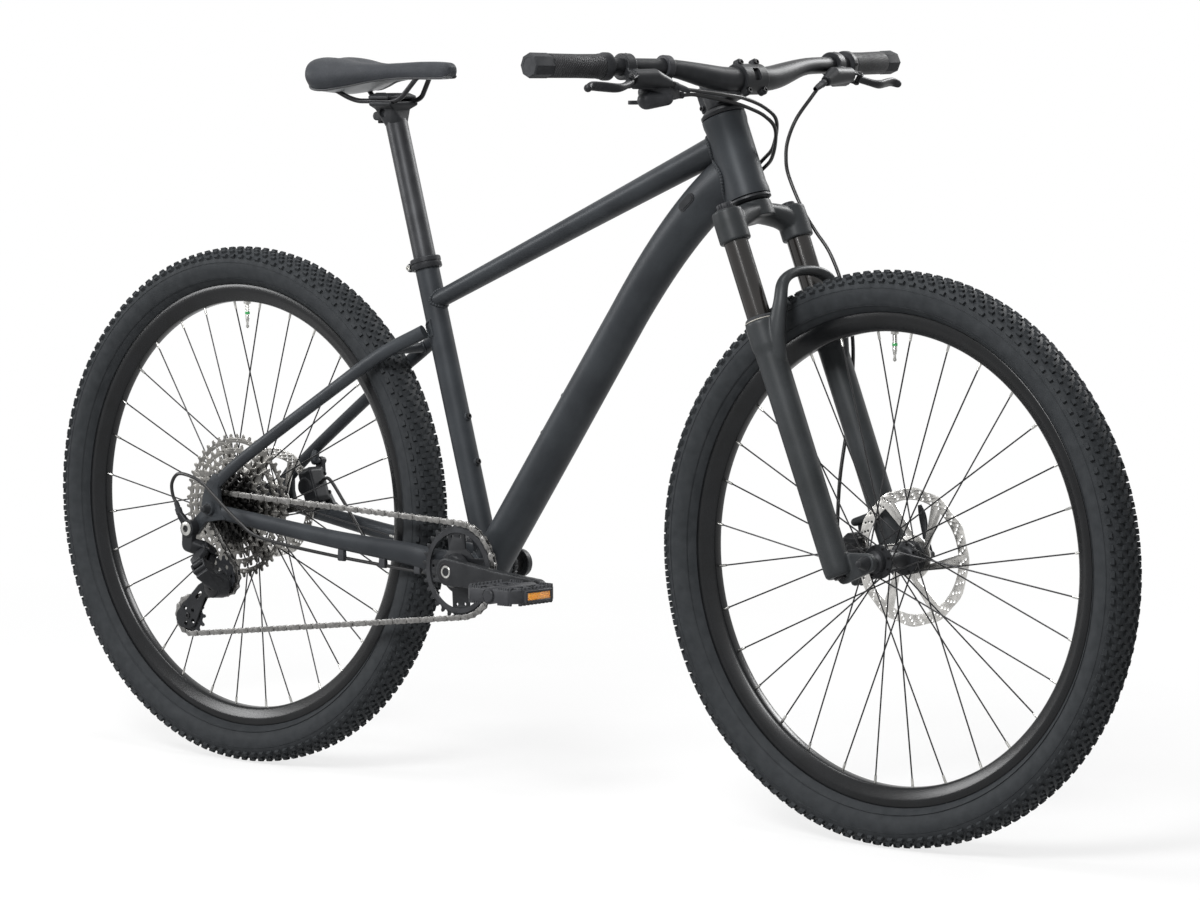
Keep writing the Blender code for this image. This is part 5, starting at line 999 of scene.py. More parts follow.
def headset():
    """Bearing cups at both ends of the head tube."""
    for name, height, hand, stack in (
        ("headset_upper", HEAD_TOP, 1, 0.011), ("headset_lower", HEAD_BOTTOM, -1, 0.0076)
    ):
        lip = HEAD_RADIUS - 0.0006
        profile = [
            (0.02, 0.0004), (lip, 0.0004), (lip + 0.0004, 0.0012), (lip + 0.0004, stack * 0.45)
        ]
        profile += [
            (lip - 0.0012, stack * 0.55), (lip - 0.0016, stack * 0.62),
            (lip - 0.0052, stack - 0.0008),
        ]
        profile += [(lip - 0.006, stack - 0.0004), (0.016 if hand > 0 else 0.0205, stack - 0.0004)]
        cup = turned(profile, placed(fork_point(height), hand * steer_up, Y), 64)
        piece(name + "_cup", cup, "frame", black_alloy, [name])


def seat_collar():
    """Collar round the top of the seat tube with ears and a bolt at the back."""
    low, high = SEAT_TUBE - 0.0165, SEAT_TUBE - 0.001
    inner = SEAT_RADIUS + 0.0003
    tall = high - low
    band = [
        (inner, 0), (inner + 0.0036, 0), (inner + 0.0044, 0.0012), (inner + 0.0044, tall * 0.4),
        (inner + 0.0036, tall * 0.46), (inner + 0.0036, tall * 0.54), (inner + 0.0044, tall * 0.6),
        (inner + 0.0044, tall - 0.0012), (inner + 0.0034, tall), (inner, tall),
    ]
    ring = turned(band, placed(seat_point(low), seat_up, Y), 64, closed=True)
    middle = seat_point((low + high) / 2, -inner - 0.0075)
    ears = [
        hull(
            rod(middle + hand * 0.0018 * Y, middle + hand * 0.0078 * Y, 0.0062, sides=24),
            block(
                middle + seat_forward * 0.007 + hand * 0.0048 * Y, (0.004, 0.006, 0.0135), seat_up,
                seat_forward,
            ),
        )
        for hand in (-1, 1)
    ]
    piece("seat_collar", [ring, cast(ears, 0.0006, 3)], "frame", black_alloy, ["seat_clamp"])
    bolts = [
        pin(middle, Y, 0.0085, 0.0024, 20),
        socket_bolt(middle - 0.0078 * Y, -Y, 0.0042, 0.0042, 0.55),
        rod(middle + 0.0078 * Y, middle + 0.0105 * Y, 0.0044, sides=6, soft=0.0005),
    ]
    piece("seat_collar_bolt", bolts, "frame", steel)


def bottom_bracket_cups():
    """Threaded cups with wrench notches and dust seals."""
    cups = []
    for hand in (-1, 1):
        place = placed(bottom_bracket + hand * 0.0365 * Y, hand * Y, X)
        outline = []
        for i in range(16):
            start = 22.5 * i
            outline += arc((0, 0), 0.0221, start, start + 12, 3) + arc(
                (0, 0), 0.0206, start + 14, start + 20.5, 2
            )
        face = placed(bottom_bracket + hand * 0.041 * Y, hand * Y, X)
        cups.append(plate([outline, circle((0, 0), 0.015, 32)], 0.008, face, 0.0006))
        seal = [
            (0.0124, 0.0085), (0.0186, 0.0085), (0.0182, 0.01), (0.015, 0.0105), (0.0124, 0.0105)
        ]
        cups.append(turned(seal, place, 48))
    piece("bottom_bracket_cups", cups, "frame", black_alloy, ["bottom_bracket"])


# Wheels

KNOB_PITCHES = 138


def tread_knob(wide, long, tall):
    """One knob standing on the local xy plane, drawn in towards its top."""
    bm = bmesh.new()
    bmesh.ops.create_cube(bm, size=1)
    bmesh.ops.scale(bm, vec=(long, wide, tall), verts=bm.verts)
    bmesh.ops.translate(bm, vec=(0, 0, tall * 0.32), verts=bm.verts)
    top = [vert for vert in bm.verts if vert.co.z > 0]
    bmesh.ops.scale(bm, vec=(0.84, 0.84, 1), verts=top)
    base = [face for face in bm.faces if face.normal.z < -0.9]
    bmesh.ops.delete(bm, geom=base, context="FACES_ONLY")
    return bm


def tyre_section(share):
    """Half width and radius of the carcass, from one bead (0) over the crown to the other (1)."""
    half, bead, crown = 0.0298, 0.3176, 0.3682
    side = 1 if share < 0.5 else -1
    t = min(share, 1 - share) * 2
    points = [
        Vector((0.0132, bead, 0)), Vector((0.0222, bead + 0.0075, 0)),
        Vector((0.0282, bead + 0.018, 0)), Vector((half, bead + 0.029, 0)),
        Vector((half * 0.9, bead + 0.0395, 0)), Vector((half * 0.56, crown - 0.003, 0)),
        Vector((0, crown, 0)),
    ]
    spot = curve_through(points, 61)[round(t * 60)]
    return side * spot.x, spot.y


def tyre(axle, body, name):
    """Carcass with a moulded sidewall and a tread of small knobs."""
    place = placed(axle, Y, X)
    outline = [tyre_section(i / 48) for i in range(49)]
    outline += [(-0.012, 0.3178), (0.012, 0.3178)]
    parts = [turned([(r, w) for w, r in outline], place, 144, closed=True)]
    for side in (-1, 1):
        for radius, wide in ((0.3262, 0.0243), (0.3492, 0.0298)):
            rib = [(radius - 0.0006, side * (wide - 0.0005)), (radius, side * (wide + 0.0005)),
                   (radius + 0.0006, side * (wide - 0.0005))]
            parts.append(turned(rib, place, 144))
    # Rows of knobs: place across the tyre, phase, then width, length and height in mm
    rows = [
        (0.0048, 0.0, 5.8, 7.2, 4.0), (-0.0048, 0.5, 5.8, 7.2, 4.0),
        (0.013, 0.55, 5.4, 6.8, 4.2), (-0.013, 0.05, 5.4, 6.8, 4.2),
        (0.0205, 0.0, 5.2, 7.6, 4.6), (-0.0205, 0.5, 5.2, 7.6, 4.6),
        (0.027, 0.5, 5.6, 8.2, 5.2), (-0.027, 0.0, 5.6, 8.2, 5.2),
    ]
    step = TAU / KNOB_PITCHES
    pattern = []
    for wide, phase, across, long, tall in rows:
        share = min((i / 480 for i in range(20, 461)), key=lambda s: abs(tyre_section(s)[0] - wide)
                    + (0 if tyre_section(s)[1] > 0.348 else 1))
        here, behind, ahead = (tyre_section(share + shift) for shift in (0, -1 / 60, 1 / 60))
        slope = Vector((0, ahead[0] - behind[0], ahead[1] - behind[1])).normalized()
        out = Vector((0, slope.z, -slope.y))
        out = out if out.z > 0 else -out
        knob = tread_knob(across * MM, long * MM, tall * MM)
        knob.transform(placed(Vector((0, here[0], here[1])), out, X))
        knob.transform(Matrix.Rotation(phase * step, 4, "Y"))
        pattern.append(knob)
    tread = together(pattern)
    bmesh.ops.spin(
        tread, geom=tread.verts[:] + tread.edges[:] + tread.faces[:], cent=(0, 0, 0),
        axis=(0, 1, 0), angle=TAU, steps=KNOB_PITCHES, use_duplicate=True,
    )
    bmesh.ops.remove_doubles(tread, verts=tread.verts, dist=1e-6)
    bmesh.ops.recalc_face_normals(tread, faces=tread.faces)
    tread.transform(Matrix.Translation(axle))
    parts.append(tread)
    piece(name + "_tyre_with_knobs", parts, body, tyre_rubber, [name + "_tyre"])


def rim(axle, body, name):
    """Box-section rim with a bead hook, a rounded inner edge and a valve with its ring."""
    half, outer, inner = 0.015, 0.3172, 0.2925
    side = [(half - 0.0028, outer - 0.003), (half - 0.0028, outer), (half - 0.0006, outer + 0.0004),
            (half, outer - 0.0006), (half, outer - 0.0085), (half - 0.0006, outer - 0.0105),
            (half * 0.62, inner + 0.0034), (half * 0.5, inner + 0.001), (half * 0.36, inner)]
    profile = side + [(-w, r) for w, r in reversed(side)]
    place = placed(axle, Y, X)
    hoop = turned([(r, w) for w, r in profile], place, 180, closed=True)
    piece(name + "_rim_hoop", hoop, body, rim_alloy, [name + "_rim"])
    top = Matrix.Translation(axle) @ placed(Vector((0, 0, inner)), -Z, X)
    nut = [(0.0033, -0.001), (0.0056, -0.0006), (0.0056, 0.003), (0.0048, 0.0036), (0.0033, 0.0036)]
    barrel = [(0.0031, 0.0)]
    for i in range(16):
        barrel += [(0.0031, 0.0036 + 0.0013 * i), (0.0028, 0.0036 + 0.0013 * i + 0.0006)]
    barrel += [
        (0.0031, 0.0252), (0.0024, 0.0262), (0.0024, 0.029), (0.0016, 0.0298), (0.0016, 0.034)
    ]
    barrel += [(0.0023, 0.0344), (0.0023, 0.0372), (0.001, 0.0384), (0, 0.039)]
    piece(name + "_valve", [turned(nut, top, 6), turned(barrel, top, 24)], body, steel)
    ring = [(0.0031, 0.015), (0.0035, 0.0152), (0.0035, 0.0185), (0.0031, 0.0187)]
    piece(name + "_valve_ring", turned(ring, top, 24), body, green_ring)


def wheel_hub(axle, body, name, shell, flanges, flange_radius):
    """Hub shell and the laced spokes, with silver nipples at the rim."""
    place = placed(axle, Y, X)
    spokes, nipples = [], []
    for number in range(SPOKES):
        hand, pair = number % 2, number // 2
        way = 1 if hand else -1
        lean = 1 if pair % 2 else -1
        rim_angle = TAU * (number + 0.5) / SPOKES
        hub_angle = rim_angle + lean * TAU * 3.05 / (SPOKES // 2)
        offset = flanges[hand] + 0.0016 * lean * way
        reach = flange_radius - 0.003
        start = Vector((reach * math.cos(hub_angle), reach * math.sin(hub_angle), offset))
        stop = Vector((0.2945 * math.cos(rim_angle), 0.2945 * math.sin(rim_angle), 0.0022 * way))
        along = (stop - start).normalized()
        elbow = start - Vector((0, 0, 0.0052 * lean * way))
        spokes.append(
            wire([elbow, start.lerp(elbow, 0.25), start + along * 0.002, stop], 0.00105, 2)
        )
        spokes.append(rod(elbow, elbow + Vector((0, 0, 0.0012 * lean * way)), 0.002, sides=12))
        nipples.append(rod(stop - along * 0.0125, stop, 0.0017, 0.0019, sides=12))
    for group in (spokes, nipples):
        for part in group:
            part.transform(place)
    barrel = turned(shell, place, 64, closed=True)
    piece(name + "_hub_shell", barrel, body, black_alloy, [name + "_hub"])
    piece(name + "_spokes", spokes, body, dark_steel)
    piece(name + "_nipples", nipples, body, steel)


def hub_profile(half, flanges, flange_radius, barrel, rotor_face, drive_end=None):
    """Profile of a hub, (radius, place along the axle), bored for the skewer."""
    right, left = flanges
    profile = [(0.0052, -half), (0.0085, -half), (0.0088, -half + 0.002)]
    if drive_end is None:
        profile += [
            (0.0095, right - 0.014), (0.014, right - 0.012), (0.0146, right - 0.005),
            (barrel, right - 0.004),
        ]
    else:
        profile += [(0.0095, drive_end), (0.0148, drive_end), (0.0148, right - 0.0026)]
    edge = flange_radius - 0.0006
    profile += [
        (edge, right - 0.0024), (flange_radius, right - 0.0016), (flange_radius, right + 0.0016)
    ]
    profile += [
        (edge, right + 0.0024), (barrel + 0.004, right + 0.0035), (barrel + 0.001, right + 0.007)
    ]
    profile += [(barrel, right + 0.012), (barrel, left - 0.012), (barrel + 0.001, left - 0.007)]
    profile += [
        (barrel + 0.004, left - 0.0035), (edge, left - 0.0024), (flange_radius, left - 0.0016)
    ]
    profile += [
        (flange_radius, left + 0.0016), (edge, left + 0.0024), (barrel + 0.005, left + 0.004)
    ]
    profile += [(0.0205, rotor_face - 0.004), (0.0215, rotor_face - 0.003), (0.0215, rotor_face)]
    profile += [(0.0165, rotor_face), (0.0165, rotor_face + 0.003), (0.014, rotor_face + 0.0036)]
    profile += [
        (0.0135, rotor_face + 0.0042), (0.0085, rotor_face + 0.0044), (0.0085, half), (0.0052, half)
    ]
    return profile


def rotor(axle, body, name, plane, radius):
    """Wavy brake track, drilled in rows, on slanting arms round a six-bolt ring."""
    waves = 12
    outer = []
    for i in range(240):
        angle = TAU * i / 240
        reach = radius - 0.001 * (1 - math.cos(waves * angle))
        outer.append(polar(reach, angle))
    track = radius - 0.016
    holes = [circle((0, 0), 0.0172, 48)]
    for i in range(6):
        start = 60 * i
        window = arc((0, 0), track, start + 6, start + 53, 12)
        window += arc((0, 0), 0.029, start + 27, start - 14, 8)
        holes.append(window)
    for i in range(36):
        angle = TAU * i / 36
        for row, reach in enumerate((0.0125, 0.0085, 0.0045)):
            turn = angle + (row - 1) * 0.04
            far = radius - reach
            holes.append(circle(polar(far, turn), 0.0017, 10))
    disc = plate([outer, *holes], 0.0018, placed(axle + plane * Y, -Y, X), 0.0002)
    steel_rings = ringed(
        "ground_rotor_steel_" + name, ("a9a8a5", "dddbd7"), axle, 0.35, (0.2, 0.38)
    )
    piece(name + "_rotor_disc", disc, body, steel_rings, [name + "_rotor"], sharp=30)
    bolts = []
    for i in range(6):
        angle = math.radians(60 * i + 38 - 25)
        spot = axle + Vector((0.022 * math.cos(angle), plane + 0.0009, -0.022 * math.sin(angle)))
        bolts.append(socket_bolt(spot, Y, 0.0038, 0.0026, 0.55))
    piece(name + "_rotor_bolts", bolts, body, dark_steel)


def caliper(name, body, centre, outward, spread):
    """Caliper: its slotted body with two ears, a piston cap, and the mounting and bridge bolts."""
    tangent = outward.cross(Y)
    body_solids = [
        hull(
            block(centre + outward * 0.01, (0.026, 0.026, 0.044), tangent, outward, 0.003),
            block(
                centre + outward * 0.012 + 0.005 * Y, (0.016, 0.03, 0.052), tangent, outward, 0.003
            ),
        ),
        rod(
            centre - 0.0155 * Y + outward * 0.006, centre + 0.0205 * Y + outward * 0.006, 0.0125,
            sides=32,
        ),
    ]
    for side in (-1, 1):
        near = centre + outward * 0.012 + tangent * side * 0.018 + 0.0206 * Y
        seat = post_seat(centre, outward, spread, side)
        ear = crossbar(seat, POST_HEIGHT + 0.0004, POST_HEIGHT + 0.008, 0.0062)
        body_solids.append(hull(block(near, (0.012, 0.006, 0.012), tangent, outward), ear))
    slot = block(centre - outward * 0.01, (0.041, 0.0042, 0.09), tangent, outward)
    shape = cast([carve(together([part]), [slot.copy()]) for part in body_solids], 0.0007, 3)
    slot.free()
    piece(name + "_caliper_body", shape, body, black_alloy, [name])
    bits = []
    for side in (-1, 1):
        seat = post_seat(centre, outward, spread, side)
        bits.append(socket_bolt(seat + (POST_HEIGHT + 0.008) * Y, Y, 0.0048, 0.0045))
        spot = centre + outward * 0.0185 + tangent * side * 0.014 + 0.019 * Y
        bits.append(socket_bolt(spot, Y, 0.0032, 0.0025))
    piston = centre + outward * 0.006 + 0.0205 * Y
    bits.append(
        turned(
            [(0, 0.0016), (0.006, 0.0016), (0.0085, 0.0014), (0.0092, 0.0004), (0.0092, -0.001)],
            placed(piston, Y), 32,
        )
    )
    piece(name + "_caliper_bolts", bits, body, dark_steel)


def skewer(name, body, axle, half, nut_radius):
    """Through skewer with a conical nut on the drive side and a head on the other."""
    nut = [
        (0, -half - 0.016), (nut_radius * 0.3, -half - 0.016), (nut_radius * 0.5, -half - 0.0152),
        (nut_radius * 0.62, -half - 0.012), (nut_radius * 0.92, -half - 0.0045),
        (nut_radius, -half - 0.0035), (nut_radius, -half - 0.0003), (0.0049, -half - 0.0003),
        (0.0049, half + 0.0003), (nut_radius, half + 0.0003), (nut_radius, half + 0.003),
        (nut_radius * 0.85, half + 0.01), (0, half + 0.01),
    ]
    piece(name + "_skewer", turned(nut, placed(axle, Y, X), 40), body, black_alloy, [name])


def front_caliper_frame():
    """The same for the front caliper."""
    outward = (-0.93 * steer_forward + 0.37 * steer_up).normalized()
    return front_axle + outward * (
        FRONT_ROTOR - CALIPER_INSET
    ) + FRONT_ROTOR_PLANE * Y, outward, FRONT_SPREAD


def wheels():
    """Both wheels with their tyres, rims, spokes, hubs and rotors, and the two calipers."""
    for axle, name in ((front_axle, "front"), (rear_axle, "rear")):
        body = name + "_wheel"
        tyre(axle, body, name)
        rim(axle, body, name)
    front_flanges, rear_flanges = (-0.033, 0.021), (-0.0165, 0.034)
    front_shell = hub_profile(0.05, front_flanges, 0.022, 0.012, 0.0375)
    rear_shell = hub_profile(0.0705, rear_flanges, 0.027, 0.015, 0.052, -0.064)
    wheel_hub(front_axle, "front_wheel", "front", front_shell, front_flanges, 0.022)
    wheel_hub(rear_axle, "rear_wheel", "rear", rear_shell, rear_flanges, 0.027)
    rotor(front_axle, "front_wheel", "front", FRONT_ROTOR_PLANE, FRONT_ROTOR)
    rotor(rear_axle, "rear_wheel", "rear", REAR_ROTOR_PLANE, REAR_ROTOR)
    caliper("front_brake_caliper", "fork_lower", *front_caliper_frame())
    caliper("rear_brake_caliper", "frame", *rear_caliper_frame())


# Fork


def crown_and_stanchions():
    """Forged crown with two leg sockets, the coated upper legs and their top caps."""
    base, top = CROWN - 0.053, CROWN - 0.01
    solids = []
    for hand in (-1, 1):
        low = fork_point(base, LEG_LEAD, hand * LEG)
        profile = [
            (0, 0), (0.0196, 0), (0.0208, 0.0014), (0.0208, 0.03), (0.0202, 0.0415),
            (0.0188, 0.043), (0, 0.043),
        ]
        solids.append(turned(profile, placed(low, steer_up, Y), 64))
    shoulders = [
        *fork_points(
            (top - 0.022, LEG_LEAD, -LEG), (top - 0.01, LEG_LEAD * 0.8, -LEG * 0.62),
            (top - 0.003, 0.003, 0), (top - 0.01, LEG_LEAD * 0.8, LEG * 0.62),
            (top - 0.022, LEG_LEAD, LEG),
        )
    ]
    sizes = [(0.0175, 0.019), (0.018, 0.0155), (0.0215, 0.012), (0.018, 0.0155), (0.0175, 0.019)]
    solids.append(swept(shoulders, sizes, 30, 32, steer_forward))
    solids.append(
        rod(fork_point(top - 0.012), fork_point(CROWN - 0.0006), 0.0276, 0.0262, sides=64)
    )
    piece("fork_crown_forging", cast(solids, 0.001, 5), "steering", fork_paint, ["fork_crown"])
    steerer = [
        (0.0198, 0), (0.0198, 0.03), (0.0143, 0.075), (0.0143, STEM_HIGH - 0.002 - CROWN),
        (0, STEM_HIGH - 0.002 - CROWN),
    ]
    piece(
        "steerer_tube", turned(steerer, placed(fork_point(CROWN), steer_up, Y), 48), "steering",
        black_alloy,
    )
    for hand, name in SIDES:
        tube = rod(
            fork_point(0.19, LEG_LEAD, hand * LEG), fork_point(base + 0.03, LEG_LEAD, hand * LEG),
            0.016, sides=64,
        )
        piece("stanchion_tube_" + name, tube, "steering", stanchion_coat, ["stanchion_" + name])
    caps, dial = [], []
    for hand in (-1, 1):
        spot = fork_point(top - 0.0004, LEG_LEAD, hand * LEG)
        cap = [(0.015, 0), (0.015, 0.0016), (0.0138, 0.0024), (0, 0.0024)]
        caps.append(turned(cap, placed(spot, steer_up, Y), 48))
        if hand < 0:
            outline = []
            for i in range(18):
                outline += arc((0, 0), 0.0112, 20 * i, 20 * i + 11, 2) + arc(
                    (0, 0), 0.0103, 20 * i + 13, 20 * i + 18, 1
                )
            dial.append(
                plate([outline], 0.007, placed(spot + 0.006 * steer_up, steer_up, Y), 0.0008)
            )
            dial.append(
                turned(
                    [(0.008, 0.0092), (0.006, 0.0104), (0, 0.0104)], placed(spot, steer_up, Y), 32
                )
            )
        else:
            dial.append(
                turned(
                    [(0.0095, 0.002), (0.0095, 0.006), (0.0085, 0.0072), (0, 0.0072)],
                    placed(spot, steer_up, Y), 40,
                )
            )
    piece("fork_top_caps", caps, "steering", black_alloy)
    piece("fork_dials", dial, "steering", plastic)


def leg_dropout(hand):
    """Forward foot of a fork leg round the axle."""
    inner, outer = hand * FRONT_DROP, hand * (FRONT_DROP + FOOT_THICK)
    ankle, toe = fork_point(0.012, LEG_LEAD), fork_point(-0.006, LEG_LEAD)
    return hull(
        crossbar(front_axle, inner, outer, 0.0125, 32),
        crossbar(ankle, inner, outer, 0.015),
        crossbar(toe, inner, outer, 0.008),
    )


def fork_lower_legs():
    """Magnesium casting: two legs, the arch over the tyre, dropouts and caliper posts."""
    arch_top = WHEEL + 0.023
    half = [
        (0.014, 0.104, 0), (0.027, 0.074, 0), (0.0435, 0.038, 0.006), (0.049, 0.014, 0.016),
        (0.051, 0.003, 0.036),
    ]
    points = [fork_point(arch_top - down, forward, inset - LEG) for forward, down, inset in half]
    points.append(fork_point(arch_top, 0.052))
    points += [
        fork_point(arch_top - down, forward, LEG - inset) for forward, down, inset in reversed(half)
    ]
    sizes = [(0.0165, 0.0135), (0.0135, 0.011), (0.01, 0.0085), (0.0094, 0.0072), (0.0092, 0.0066)]
    sizes = sizes + [(0.0094, 0.0064)] + sizes[::-1]
    solids, collars, seals, plugs = [swept(points, sizes, 60, 24, steer_forward)], [], [], []
    for hand in (-1, 1):
        foot = placed(fork_point(-0.004, LEG_LEAD, hand * LEG), steer_up, Y)
        tall = LOWER_TOP + 0.004
        leg = [
            (0, 0), (0.015, 0), (0.0178, 0.003), (0.0185, 0.01), (0.0189, tall * 0.45),
            (0.0195, tall - 0.045), (0.0212, tall - 0.034), (0.0213, tall - 0.004),
            (0.0205, tall - 0.0008), (0.0162, tall - 0.0008),
        ]
        solids.append(turned(leg + [(0, tall - 0.0008)], foot, 64))
        solids.append(leg_dropout(hand))
        wiper = [
            (0.0161, tall - 0.0012), (0.0196, tall - 0.0012), (0.02, tall + 0.0008),
            (0.019, tall + 0.003), (0.0172, tall + 0.0046), (0.0161, tall + 0.005),
        ]
        collars.append(turned(wiper, foot, 64))
        felt = [
            (0.0198, tall - 0.0012), (0.0207, tall - 0.0009), (0.0208, tall - 0.0001),
            (0.0198, tall + 0.0003),
        ]
        seals.append(turned(felt, foot, 64, closed=True))
        bolt = [(0, -0.003), (0.007, -0.003), (0.008, -0.002), (0.008, 0.0006)]
        plugs.append(turned(bolt, foot, 6 if hand > 0 else 32))
    centre, outward, spread = front_caliper_frame()
    for side in (-1, 1):
        foot = post_seat(centre, outward, spread, side)
        root = fork_point(
            max((foot - front_axle).dot(steer_up), -0.002), LEG_LEAD - 0.006, LEG - 0.01
        )
        solids.append(hull(ball(foot, 0.0055), ball(foot - 0.0045 * Y, 0.0055), ball(root, 0.006)))
        solids.append(rod(foot - 0.003 * Y, foot + POST_HEIGHT * Y, 0.005, sides=24))
    casting = cast(solids, 0.0014, 4)
    piece("fork_lower_casting", casting, "fork_lower", fork_paint, ["fork_lowers"])
    piece("fork_wipers", collars, "fork_lower", grip_rubber)
    piece("fork_seal_lines", seals, "fork_lower", seal_felt)
    piece("fork_foot_bolts", plugs, "fork_lower", dark_steel)
    skewer("front_axle", "fork_lower", front_axle, FRONT_DROP + FOOT_THICK, 0.009)
    pivot = front_axle + (FRONT_DROP + FOOT_THICK + 0.0135) * Y
    back = (steer_forward * 0.1 + steer_up).normalized()
    run = [
        pivot + back * reach + Y * lift
        for reach, lift in ((0.001, 0), (0.022, 0.001), (0.05, 0.004), (0.066, 0.003))
    ]
    blade = swept(
        run, [(0.0062, 0.0034), (0.0048, 0.003), (0.006, 0.0026), (0.003, 0.0016)], 30, 24,
        back.cross(Y),
    )
    hinge = back.cross(Y)
    cam = pin(pivot, hinge, 0.0066, 0.0036, 32, 0.0008)
    piece("axle_lever_blade", [blade, cam], "axle_lever", black_alloy, ["axle_lever"])


# Cockpit


def stem_block(forward, size, soft=0.0):
    """Block in line with the stem, at a distance ahead of the steerer."""
    return block(fork_point(STEM_MID, forward), size, steer_up, steer_forward, soft)


def stem_and_bar():
    """Stem with its front plate, bolts and top cap, and the tapered handlebar."""
    bar = fork_point(STEM_MID, STEM_REACH)
    low, high = fork_point(STEM_LOW + 0.0004), fork_point(STEM_HIGH)
    solids = [
        rod(low, high, 0.0188, sides=64),
        pin(bar, Y, 0.023, 0.0205, 64),
        hull(stem_block(0.006, (0.01, 0.032, 0.032)),
             stem_block(STEM_REACH - 0.012, (0.008, 0.04, 0.03))),
        stem_block(-0.0215, (0.012, 0.014, 0.034)),
    ]
    cuts = [
        stem_block(STEM_REACH + 0.0308, (0.06, 0.08, 0.08)),
        stem_block(-0.022, (0.022, 0.0016, 0.05)),
        pin(bar, Y, 0.05, 0.016, 64),
    ]
    body = carve(cast(solids, 0.0009, 5), cuts)
    piece("stem_body", body, "steering", black_alloy, ["stem"], 30)
    plate_solids = [pin(bar, Y, 0.0225, 0.0202, 64)]
    bolts = []
    for up in (-1, 1):
        for left in (-1, 1):
            spot = bar + steer_forward * 0.006 + steer_up * up * 0.0195 + Y * left * 0.016
            plate_solids.append(pin(spot, steer_forward, 0.0045, 0.0056))
            bolts.append(
                socket_bolt(spot + steer_forward * 0.004, steer_forward, 0.0038, 0.0032, 0.55)
            )
    cuts = [
        pin(bar, Y, 0.05, 0.0161, 64),
        stem_block(STEM_REACH - 0.0282, (0.06, 0.08, 0.08)),
        stem_block(STEM_REACH + 0.02, (0.03, 0.013, 0.017), 0.002),
    ]
    front = carve(cast(plate_solids, 0.0007, 4), cuts)
    piece("stem_front_plate", front, "steering", black_alloy, ["stem_faceplate"], 30)
    for lift in (-0.01, 0.01):
        spot = fork_point(STEM_MID + lift, -0.0235)
        bolts.append(socket_bolt(spot - 0.0068 * Y, -Y, 0.0036, 0.003, 0.55))
        bolts.append(rod(spot - 0.0068 * Y, spot + 0.0066 * Y, 0.0022, sides=16))
    cap = [
        (0, 0.0048), (0.0075, 0.0048), (0.015, 0.004), (0.0178, 0.0022), (0.0182, 0.0004),
        (0.0178, 0.0002),
    ]
    piece("steerer_top_cap", turned(cap, placed(high, steer_up, Y), 64), "steering", black_alloy)
    bolts.append(socket_bolt(high + 0.0046 * steer_up, steer_up, 0.0045, 0.0018, 0.5))
    piece("stem_bolts", bolts, "steering", dark_steel)
    places = [
        0.369, 0.3, 0.24, 0.2, 0.16, 0.145, 0.13, 0.12, 0.11, 0.1, 0.09, 0.08, 0.07, 0.06, 0.05,
        0.04, 0.025,
    ]
    lefts = [-p for p in places] + [0.0] + places[::-1]
    radii = []
    for left in lefts:
        share = min(max((abs(left) - 0.058) / 0.092, 0), 1)
        share = share * share * (3 - 2 * share)
        radii.append((BAR_RADIUS - 0.0048 * share,) * 2)
    tube = loft([bar_point(left) for left in lefts], radii, 40, Z)
    piece("handlebar_tube", tube, "steering", black_alloy, ["handlebar"])


def grip(hand, name):
    """Lock-on grip: knurled rubber, an eight-sided outer end and a clamp collar at the inner."""
    start, end = bar_point(hand * (BAR_HALF - GRIP_LENGTH)), bar_point(hand * BAR_HALF)
    length = (end - start).length
    place = placed(start, end - start, Z)
    core = [(0.0113, 0.0136), (0.016, 0.014), (0.0163, 0.016), (0.0157, 0.019), (0.0152, 0.05),
            (0.0155, length - 0.033), (0.015, length - 0.0322), (0.0113, length - 0.0322)]
    piece(
        "grip_rubber_" + name, turned(core, place, 72), "steering", knurled_rubber, ["grip_" + name]
    )
    tip = [
        (0.0113, length - 0.0318), (0.0155, length - 0.0318), (0.016, length - 0.03),
        (0.0162, length - 0.002), (0.015, length), (0.011, length), (0.0104, length - 0.0006),
        (0, length - 0.0006),
    ]
    piece("grip_end_" + name, turned(tip, place, 8), "steering", grip_rubber, sharp=25)
    collar = [(0.0113, 0), (0.0172, 0.0004), (0.018, 0.0012), (0.018, 0.0082), (0.0173, 0.0092),
              (0.0168, 0.0122), (0.0162, 0.0132), (0.0113, 0.0132)]
    piece("grip_collar_" + name, turned(collar, place, 64, closed=True), "steering", black_alloy)
    side = place.to_3x3() @ Vector((0, 1, 0))
    screw = start + (end - start).normalized() * 0.0048 + side * 0.0174
    piece(
        "grip_screw_" + name, socket_bolt(screw, side, 0.0026, 0.0014, 0.55), "steering", dark_steel
    )


